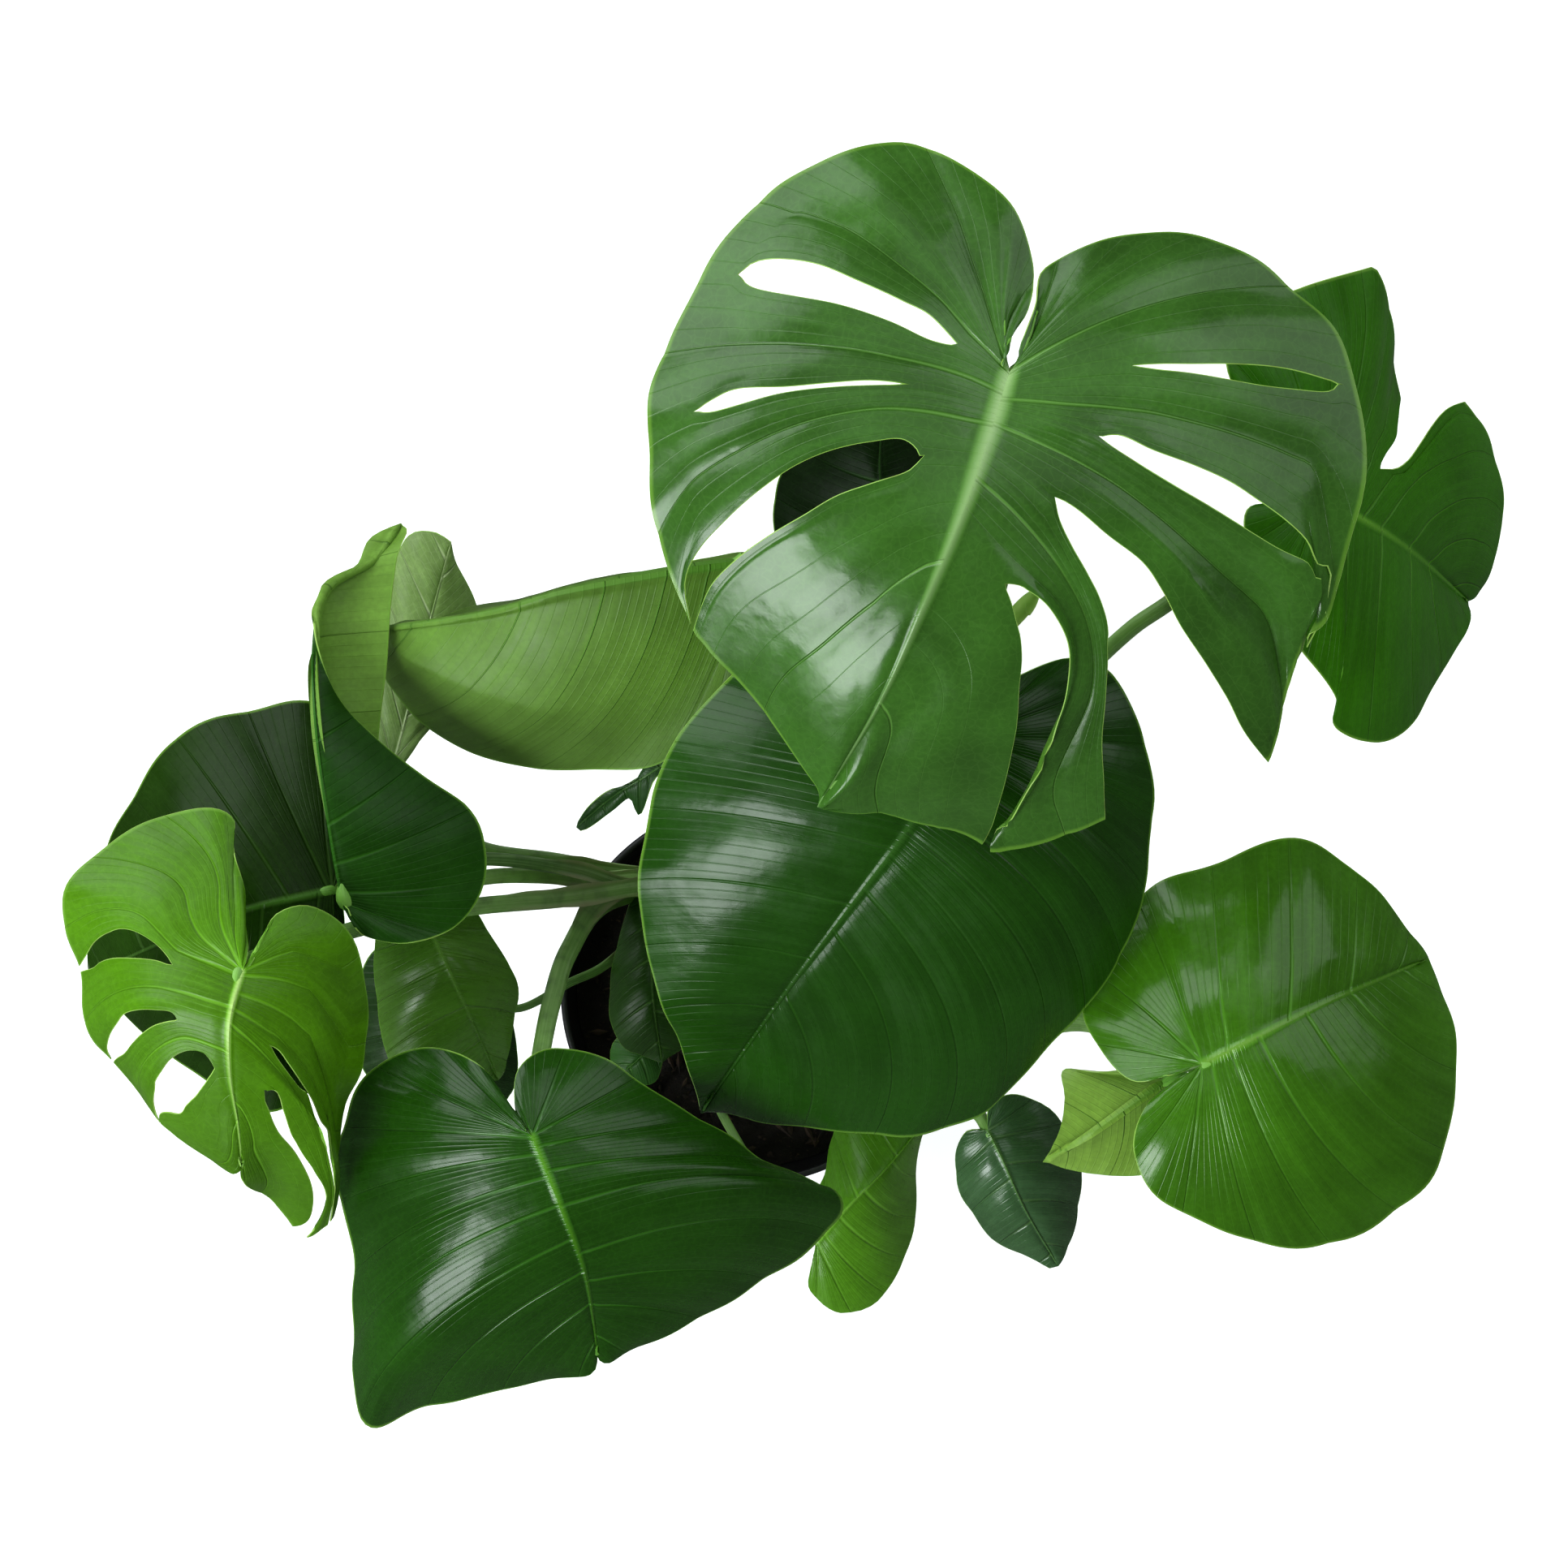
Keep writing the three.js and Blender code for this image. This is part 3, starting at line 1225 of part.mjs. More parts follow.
// Stem with a raised ring where each old leaf stood, widened by extra all round.
function stemGeometry({ at, top }, extra = 0) {
  const foot = stemFoot - extra;
  const profile = [[0, foot], [stemRadius - footRound + extra, foot]];
  for (let z = soilHeight + nodeSpacing / 2; z < top - nodeSpacing / 2; z += nodeSpacing) {
    const taper = 1 - stemTaper * ((z - soilHeight) / (top - soilHeight));
    const radius = (stemRadius - nodeSwell) * taper + extra;
    profile.push([radius, z - nodeBelow], [radius + nodeSwell, z], [radius, z + nodeAbove]);
  }
  profile.push([stemShoulder.radius + extra, top - stemShoulder.drop]);
  profile.push([stemTipRadius + extra, top + extra], [0, top + extra]);
  return turned(profile, stemSides).rotateZ(Math.PI / stemSides).translate(at[0], at[1], 0);
}

const model = new THREE.Group();
model.name = 'potted_swiss_cheese_plant';

function addPiece(name, geometry, colour, roughness = 0.6) {
  const flat = geometry.index ? geometry.toNonIndexed() : geometry;
  flat.computeVertexNormals();
  const material = new THREE.MeshStandardMaterial({ color: colour, roughness, metalness: 0 });
  const mesh = new THREE.Mesh(flat, material);
  mesh.name = name;
  model.add(mesh);
}

const potBlack = 0x16171a;
const soilBrown = 0x241a12;
const stemGreen = 0x4b5f2a;
const petioleGreen = 0x3f6b22;
const spearGreen = 0x86b83a;

addPiece('pot', geometryFrom(potSolid()), potBlack, 0.5);
addPiece('soil', geometryFrom(soilSolid()), soilBrown, 1);
for (const [name, stem] of Object.entries(stems)) {
  addPiece(`stem_${name}`, stemGeometry(stem), stemGreen, 0.7);
}

// Blades first; every petiole is then cut clear of its blade, its stem and the petioles before it.
const obstacles = Object.values(stems).map((stem) => solidOf(stemGeometry(stem, gap)));
const surfaces = {};
const bladeSolids = {};
for (const [name, leaf] of Object.entries(leaves)) {
  surfaces[name] = bladeSurface(leaf);
  const net = bladeNet(leaf);
  addPiece(`blade_${name}`, bladeGeometry(leaf, net), leaf.colour, 0.4);
  bladeSolids[name] = solidOf(bladeGeometry(leaf, net));
  obstacles.push(bladeSolids[name], solidOf(bladeGeometry(leaf, net, bladeClearance)));
}

function addTube(name, path, radii, sides, colour) {
  let tube = solidOf(tubeGeometry(path, radii, sides, petioleStep));
  for (const obstacle of obstacles) {
    if (boundsTouch(tube, obstacle)) tube = tube.subtract(obstacle);
  }
  addPiece(name, geometryFrom(largestPiece(tube)), colour, 0.5);
  const kept = radii.map((radius) => radius + gap);
  obstacles.push(solidOf(tubeGeometry(lengthened(path, gap), kept, sides, petioleStep)));
}

// Move the end of a petiole until it rests just clear of its blade.
function seat(path, leaf, sides, up, blade) {
  const end = path[path.length - 1];
  const inward = place(leaf.midrib[1]).sub(place(leaf.midrib[0])).normalize();
  const towards = leaf.hangs ? inward : up;
  for (let round = 0; round < seatRounds; round++) {
    const tube = solidOf(tubeGeometry(path, leaf.petiole.radius, sides, petioleStep));
    end.addScaledVector(towards, tube.minGap(blade, seatReach) - gap);
  }
}

for (const [name, leaf] of Object.entries(leaves)) {
  const path = petiolePath(leaf, surfaces[name]);
  const sides = leaf.petiole.radius[0] > thickPetiole ? thickSides : thinSides;
  seat(path, leaf, sides, surfaces[name].up, bladeSolids[name]);
  addTube(`petiole_${name}`, path, leaf.petiole.radius, sides, petioleGreen);
}
addTube('spear', spearPath.map(place), spearRadii, thickSides, spearGreen);

export default model;
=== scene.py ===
import math
import bpy
import numpy as np
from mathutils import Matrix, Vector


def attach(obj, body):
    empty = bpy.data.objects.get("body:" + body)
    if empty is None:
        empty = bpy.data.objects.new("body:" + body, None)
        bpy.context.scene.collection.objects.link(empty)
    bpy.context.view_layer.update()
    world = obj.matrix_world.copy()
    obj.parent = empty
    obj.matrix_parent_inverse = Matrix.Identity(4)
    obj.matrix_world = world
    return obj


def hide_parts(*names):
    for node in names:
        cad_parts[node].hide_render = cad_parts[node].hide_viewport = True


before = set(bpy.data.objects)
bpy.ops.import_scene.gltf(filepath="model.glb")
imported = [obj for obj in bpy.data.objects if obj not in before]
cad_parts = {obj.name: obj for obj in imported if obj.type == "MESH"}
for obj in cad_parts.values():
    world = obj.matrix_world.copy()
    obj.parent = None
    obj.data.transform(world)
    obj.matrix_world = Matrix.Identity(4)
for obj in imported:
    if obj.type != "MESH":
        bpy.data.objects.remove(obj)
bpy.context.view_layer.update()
print("frame: CAD parts loaded")

mm = 0.001  # all plans below are in millimetres, all meshes in metres
rng = np.random.default_rng(11)

# The plan is what the eye sees from straight above. A plan point (u, v, z) stands at height z on the line
# from the eye through (u, v) at the plan's height, so its height never moves its outline.
sight = {"eyeHeight": 2600, "planHeight": 308, "footX": 16.3, "footY": 108.2, "lens": 106.8, "sensor": 36}


def placeOf(planPoints):
    # x = foot + u * (eye - z) / (eye - plan height), y likewise, z unchanged, then millimetres to metres
    p = np.asarray(planPoints, float)
    scale = (sight["eyeHeight"] - p[..., 2]) / (sight["eyeHeight"] - sight["planHeight"])
    x = sight["footX"] + p[..., 0] * scale
    y = sight["footY"] + p[..., 1] * scale
    return np.stack([x, y, p[..., 2]], -1) * mm


def planOf(points):
    # the reverse of placeOf, without the height
    scale = (sight["eyeHeight"] - sight["planHeight"]) / (sight["eyeHeight"] - points[..., 2] / mm)
    u = (points[..., 0] / mm - sight["footX"]) * scale
    v = (points[..., 1] / mm - sight["footY"]) * scale
    return np.stack([u, v], -1)


def unit(vectors):
    # each vector over its own length
    return vectors / np.maximum(np.linalg.norm(vectors, axis=-1, keepdims=True), 1e-12)


def runOf(points):
    # distance from the first point along the line through them
    return np.r_[0, np.cumsum(np.linalg.norm(np.diff(points, axis=0), axis=1))]


def fade(x, low, high):
    # 0 below low, 1 above high, 3x^2 - 2x^3 between
    x = np.clip((x - low) / (high - low), 0, 1)
    return x * x * (3 - 2 * x)


def smoothCurve(points, x, corners=()):
    # cubic through points at x = 0, 1, 2 ..., its slope at a point half the step between its neighbours,
    # with a sharp turn at each point named in corners
    points = np.asarray(points, float)
    last = len(points) - 1
    x = np.clip(np.asarray(x, float), 0, last)
    steps = np.diff(points, axis=0)
    leaving = np.vstack([steps[:1], (steps[1:] + steps[:-1]) / 2, steps[-1:]])
    arriving = leaving.copy()
    for corner in corners:
        arriving[corner] = steps[corner - 1]
        leaving[corner] = steps[corner]
    i = np.minimum(x.astype(int), last - 1)
    u = (x - i)[..., None]
    return (points[i] * (1 - u) ** 2 * (1 + 2 * u) + points[i + 1] * u ** 2 * (3 - 2 * u)
            + leaving[i] * u * (1 - u) ** 2 - arriving[i + 1] * u ** 2 * (1 - u))


def waves(x, y, length, count=9, seed=3):
    # sum of count sine waves about length long, each with its own direction and phase, mostly -1 to 1
    draw = np.random.default_rng(seed)
    total = np.zeros(np.broadcast(x, y).shape)
    for _ in range(count):
        angle, phase = draw.uniform(0, 2 * math.pi), draw.uniform(0, 2 * math.pi)
        ownLength = length * draw.uniform(0.7, 1.5)
        across = x * math.cos(angle) + y * math.sin(angle)
        total = total + np.sin(2 * math.pi * across / ownLength + phase)
    return total / (0.6 * count)


# Materials

def paint(red, green, blue):
    # screen colour 0 to 255 to the linear colour of a shader socket
    c = np.array([red, green, blue]) / 255
    linear = np.where(c <= 0.04045, c / 12.92, ((c + 0.055) / 1.055) ** 2.4)
    return (*[float(v) for v in linear], 1.0)


def setInputs(tree, node, inputs):
    # a socket is linked, anything else becomes the input's value
    for key, value in inputs.items():
        if isinstance(value, bpy.types.NodeSocket):
            tree.links.new(value, node.inputs[key])
        else:
            node.inputs[key].default_value = value


def addNode(tree, kind, inputs=None, **settings):
    # a node with its settings and inputs
    node = tree.nodes.new(kind)
    for key, value in settings.items():
        setattr(node, key, value)
    setInputs(tree, node, inputs or {})
    return node


def calc(tree, operation, a, b=0.0):
    # operation on a and b
    return addNode(tree, "ShaderNodeMath", {0: a, 1: b}, operation=operation).outputs[0]


def ease(tree, value, low, high, atLow=0.0, atHigh=1.0):
    # atLow below low, atHigh above high, and as fade between
    inputs = {"Value": value, "From Min": low, "From Max": high, "To Min": atLow, "To Max": atHigh}
    return addNode(tree, "ShaderNodeMapRange", inputs, interpolation_type="SMOOTHSTEP").outputs["Result"]


def tint(tree, share, below, above):
    # colour below * (1 - share) + colour above * share
    inputs = {0: share, 6: below, 7: above}
    return addNode(tree, "ShaderNodeMix", inputs, data_type="RGBA", clamp_factor=True).outputs[2]


def mottle(tree, vector, scale, detail=3.0, roughness=0.55):
    # noise from 0 to 1 with about scale spots per metre
    inputs = {"Vector": vector, "Scale": scale, "Detail": detail, "Roughness": roughness}
    return addNode(tree, "ShaderNodeTexNoise", inputs).outputs["Fac"]


def uvParts(tree, layer):
    # the two numbers of a UV layer, and both together
    place = addNode(tree, "ShaderNodeUVMap", uv_map=layer).outputs[0]
    parts = addNode(tree, "ShaderNodeSeparateXYZ", {0: place}).outputs
    return parts[0], parts[1], place


def newMaterial(name):
    # a shader wired to the output, and Object coordinates to place patterns
    material = bpy.data.materials.new(name)
    material.use_nodes = True
    tree = material.node_tree
    tree.nodes.clear()
    shader = addNode(tree, "ShaderNodeBsdfPrincipled")
    addNode(tree, "ShaderNodeOutputMaterial", {0: shader.outputs[0]})
    coords = addNode(tree, "ShaderNodeTexCoord").outputs["Object"]
    return material, tree, shader, coords


def bumpInto(tree, shader, height, distance, strength=1.0):
    # height * distance in metres as a bump of the surface
    bump = addNode(tree, "ShaderNodeBump", {"Height": height, "Distance": distance, "Strength": strength})
    setInputs(tree, shader, {"Normal": bump.outputs[0]})


# How every blade's skin is built up; a leaf's own entry holds its colours
skinLook = {
    "veinWidth": (1.5, 0.5),  # half width of a main vein at the midrib and at the margin, mm
    "fineWidth": (0.45, 0.3),  # the same for a fine vein
    "fineVeins": 7.0,  # fine veins for each gap between two main ones
    "netScale": 210,  # cells of the vein net per metre
    "streakScale": (5.5, 1.3),  # streaks across and along the veins
    # the dark kind is the colour of the painted shade towards the margin and the tip
    "shades": (0.3, 0.62, 1.38),  # dark, deep and lively kinds of the body colour
    "streakShow": 0.55, "grainShow": 0.25, "netShow": 0.1, "fineShow": 0.16,
    "margin": (112, 156, 58), "marginShow": 0.6,  # thin pale line round the blade
    "bump": 0.0011,  # m
    "bumpShares": {"fineVein": 0.09, "grain": 0.05, "streak": 0.22, "pucker": 1.1},
    # gloss is the roughness; thin narrows the main veins, which stand out with turn 1 and sink in with -1
    "upper": {"thin": 1.0, "turn": -1.0, "outerPaintedShade": 0.0},
    "under": {"thin": 0.45, "turn": 1.0, "gloss": 0.5, "veinShow": 0.7},
}


def veinLine(tree, at, perGap, atRib, atMargin):
    # 1 on a vein, 0 past its half width, with perGap veins for each gap between two main ones
    fraction = calc(tree, "FRACT", calc(tree, "MULTIPLY", at["vein"], perGap))
    offCentre = calc(tree, "ABSOLUTE", calc(tree, "SUBTRACT", fraction, 0.5))
    far = calc(tree, "MULTIPLY", offCentre, calc(tree, "DIVIDE", at["gap"], perGap))
    inputs = {"Value": at["out"], "To Min": atRib, "To Max": atMargin}
    half = addNode(tree, "ShaderNodeMapRange", inputs).outputs["Result"]
    return ease(tree, calc(tree, "DIVIDE", far, half), 0.25, 1.0, 1.0, 0.0)


def leafPatterns(tree, coords, thin):
    # where a point lies on its blade, then each pattern there from 0 to 1
    vein, out, leafPlace = uvParts(tree, "leafPlace")
    fromRib, gap, _ = uvParts(tree, "ribPlace")
    at = {
        "vein": vein, "gap": gap,  # number of the vein, mm between two main ones
        "out": out, "fromRib": fromRib,  # 0 at the midrib to 1 at the margin, distance in midrib half widths
        "along": uvParts(tree, "alongPlace")[0],  # 0 at the knuckle, 1 at the tip
    }
    widths = [thin * width for width in skinLook["veinWidth"]]
    cells = {"Vector": coords, "Scale": skinLook["netScale"]}
    net = addNode(tree, "ShaderNodeTexVoronoi", cells, feature="DISTANCE_TO_EDGE").outputs["Distance"]
    stretch = {"Vector": leafPlace, "Scale": (*skinLook["streakScale"], 1.0)}
    at["mainVein"] = veinLine(tree, at, 1.0, *widths)
    at["fineVein"] = veinLine(tree, at, skinLook["fineVeins"], *skinLook["fineWidth"])
    at["net"] = ease(tree, net, 0.0, 0.09, 1.0, 0.0)
    at["streak"] = mottle(tree, addNode(tree, "ShaderNodeMapping", stretch).outputs[0], 1.0)
    at["patch"] = mottle(tree, coords, 16.0, 2.0)
    at["grain"] = mottle(tree, coords, 420.0, 1.0)
    at["pucker"] = mottle(tree, coords, 42.0, 2.0, 0.45)
    return at


def leafColour(tree, look, at):
    # mottled body colour, then layer by layer streaks, grain, painted shade towards the margin and the tip,
    # net, fine veins, main veins, midrib and pale margin line
    show, vein = look["veinShow"], look["vein"]
    dark, deep, lively = ((*[min(1.0, shade * v) for v in look["body"][:3]], 1.0)
                          for shade in skinLook["shades"])
    patchy = tint(tree, ease(tree, at["patch"], 0.3, 0.72), deep, lively)
    veinFade = ease(tree, at["out"], 0.0, 0.65, min(1.0, 0.3 + show), 0.45 * show)
    ribFade = ease(tree, at["along"], 0.02, 0.6, 1.0, 0.4)
    ribTone = tint(tree, ease(tree, at["fromRib"], 0.0, 0.8), look["rib"], vein)
    layers = (
        (look["patchy"], patchy),
        (ease(tree, at["streak"], 0.35, 0.75, 0.0, skinLook["streakShow"]), lively),
        (ease(tree, at["grain"], 0.3, 0.75, 0.0, skinLook["grainShow"]), deep),
        # painted shade: the under face darker towards its margin, where it turns away from the light
        (ease(tree, at["out"], 0.4, 0.8, 0.0, look["outerPaintedShade"]), dark),
        # painted shade: darker towards the tip, where the blade turns down out of the light
        (ease(tree, at["along"], 0.4, 1.0, 0.0, look["tipPaintedShade"]), dark),
        (calc(tree, "MULTIPLY", at["net"], skinLook["netShow"]), vein),
        (calc(tree, "MULTIPLY", at["fineVein"], skinLook["fineShow"] * show), vein),
        (calc(tree, "MULTIPLY", at["mainVein"], veinFade), vein),
        (calc(tree, "MULTIPLY", ease(tree, at["fromRib"], 0.55, 1.05, 1.0, 0.0), ribFade), ribTone),
        (ease(tree, at["out"], 0.983, 0.995, 0.0, skinLook["marginShow"]), paint(*skinLook["margin"])),
    )
    colour = look["body"]
    for share, above in layers:
        colour = tint(tree, share, colour, above)
    return colour


def leafHeight(tree, look, at):
    # main veins, fine veins, grain, streaks and puckers added up
    shares = skinLook["bumpShares"]
    streaks = ease(tree, at["gap"], 5.0, 28.0, 0.0, shares["streak"])  # none where veins crowd at the knuckle
    height = calc(tree, "MULTIPLY", at["mainVein"], (0.25 + 0.8 * look["veinShow"]) * look["turn"])
    for pattern, share in (("fineVein", shares["fineVein"] * look["turn"]), ("grain", shares["grain"]),
                           ("streak", streaks), ("pucker", shares["pucker"])):
        height = calc(tree, "ADD", height, calc(tree, "MULTIPLY", at[pattern], share))
    return height


def leafSkin(key, leaf, face):
    # colour, uneven gloss and bump of a blade's upper or under face
    material, tree, shader, coords = newMaterial(key + face.capitalize())
    vein, rib = leaf["vein"], leaf["rib"]
    if face == "under":
        vein = rib = leaf.get("underVein", rib)
    look = {**leaf, **skinLook[face], "body": paint(*leaf[face]), "vein": paint(*vein), "rib": paint(*rib)}
    at = leafPatterns(tree, coords, look["thin"])
    mottled = mottle(tree, coords, 60.0, 2.0)
    gloss = ease(tree, mottled, 0.25, 0.8, look["gloss"] - 0.04, look["gloss"] + 0.05)
    gloss = calc(tree, "ADD", gloss, ease(tree, at["streak"], 0.4, 0.7, -0.03, 0.06))
    setInputs(tree, shader, {"Base Color": leafColour(tree, look, at), "Roughness": gloss, "IOR": 1.42,
                             "Specular IOR Level": look["shine"]})
    bumpInto(tree, shader, leafHeight(tree, look, at), skinLook["bump"], 0.7)
    return material


def rimSkin():
    # thin edge of every blade: pale green with dry spots
    material, tree, shader, coords = newMaterial("leafRim")
    dry = ease(tree, mottle(tree, coords, 90.0), 0.45, 0.8, 0.0, 0.6)
    colour = tint(tree, dry, paint(150, 190, 90), paint(120, 120, 60))
    setInputs(tree, shader, {"Base Color": colour, "Roughness": 0.5})
    return material


# Meshes

def toScene(name, data):
    # an object with this data, linked into the scene
    item = bpy.data.objects.new(name, data)
    bpy.context.scene.collection.objects.link(item)
    return item


def makePiece(name, points, triangles, materials, nodes=(), sharp=60, layers=None, skinNumbers=None):
    # one closed mesh from whole arrays; sharp is the angle in degrees past which an edge isn't smoothed,
    # layers hold a (u, v) pair for each corner of each triangle, skinNumbers each triangle's material
    mesh = bpy.data.meshes.new(name)
    count = len(triangles)
    mesh.vertices.add(len(points))
    mesh.vertices.foreach_set("co", np.asarray(points, np.float32).ravel())
    mesh.loops.add(3 * count)
    mesh.loops.foreach_set("vertex_index", np.asarray(triangles, np.int32).ravel())
    mesh.polygons.add(count)
    mesh.polygons.foreach_set("loop_start", np.arange(0, 3 * count, 3, dtype=np.int32))
    mesh.polygons.foreach_set("use_smooth", np.ones(count, bool))
    if skinNumbers is not None:
        mesh.polygons.foreach_set("material_index", np.asarray(skinNumbers, np.int32))
    for layerName, values in (layers or {}).items():
        layer = mesh.uv_layers.new(name=layerName)
        layer.data.foreach_set("uv", np.asarray(values, np.float32).ravel())
    mesh.update(calc_edges=True)
    mesh.validate()
    mesh.set_sharp_from_angle(angle=math.radians(sharp))
    for material in materials:
        mesh.materials.append(material)
    piece = toScene(name, mesh)
    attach(piece, "root")
    if nodes:
        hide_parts(*nodes)
    return piece


def gridTriangles(rows, columns, first=0, wrapColumns=False):
    # two triangles for each cell of a rows x columns grid of points numbered row by row from first
    last = columns if wrapColumns else columns - 1
    i, j = np.meshgrid(np.arange(rows - 1), np.arange(last), indexing="ij")
    a = first + i * columns + j
    b = first + (i + 1) * columns + j
    c = first + (i + 1) * columns + (j + 1) % columns
    d = first + i * columns + (j + 1) % columns
    return np.concatenate([np.stack([a, b, c], -1).reshape(-1, 3), np.stack([a, c, d], -1).reshape(-1, 3)])


def fanTriangles(ring):
    # flat end over a ring of point numbers
    return np.stack([np.full(len(ring) - 2, ring[0]), ring[1:-1], ring[2:]], -1)


def faceNormals(points, triangles):
    # cross product of two edges, as long as twice the triangle's area
    a, b, c = (points[triangles[:, k]] for k in range(3))
    return np.cross(b - a, c - a)


def pointNormals(points, triangles):
    # sum of the normals of the triangles round a point
    normals = np.zeros_like(points)
    flat = faceNormals(points, triangles)
    for k in range(3):
        np.add.at(normals, triangles[:, k], flat)
    return unit(normals)


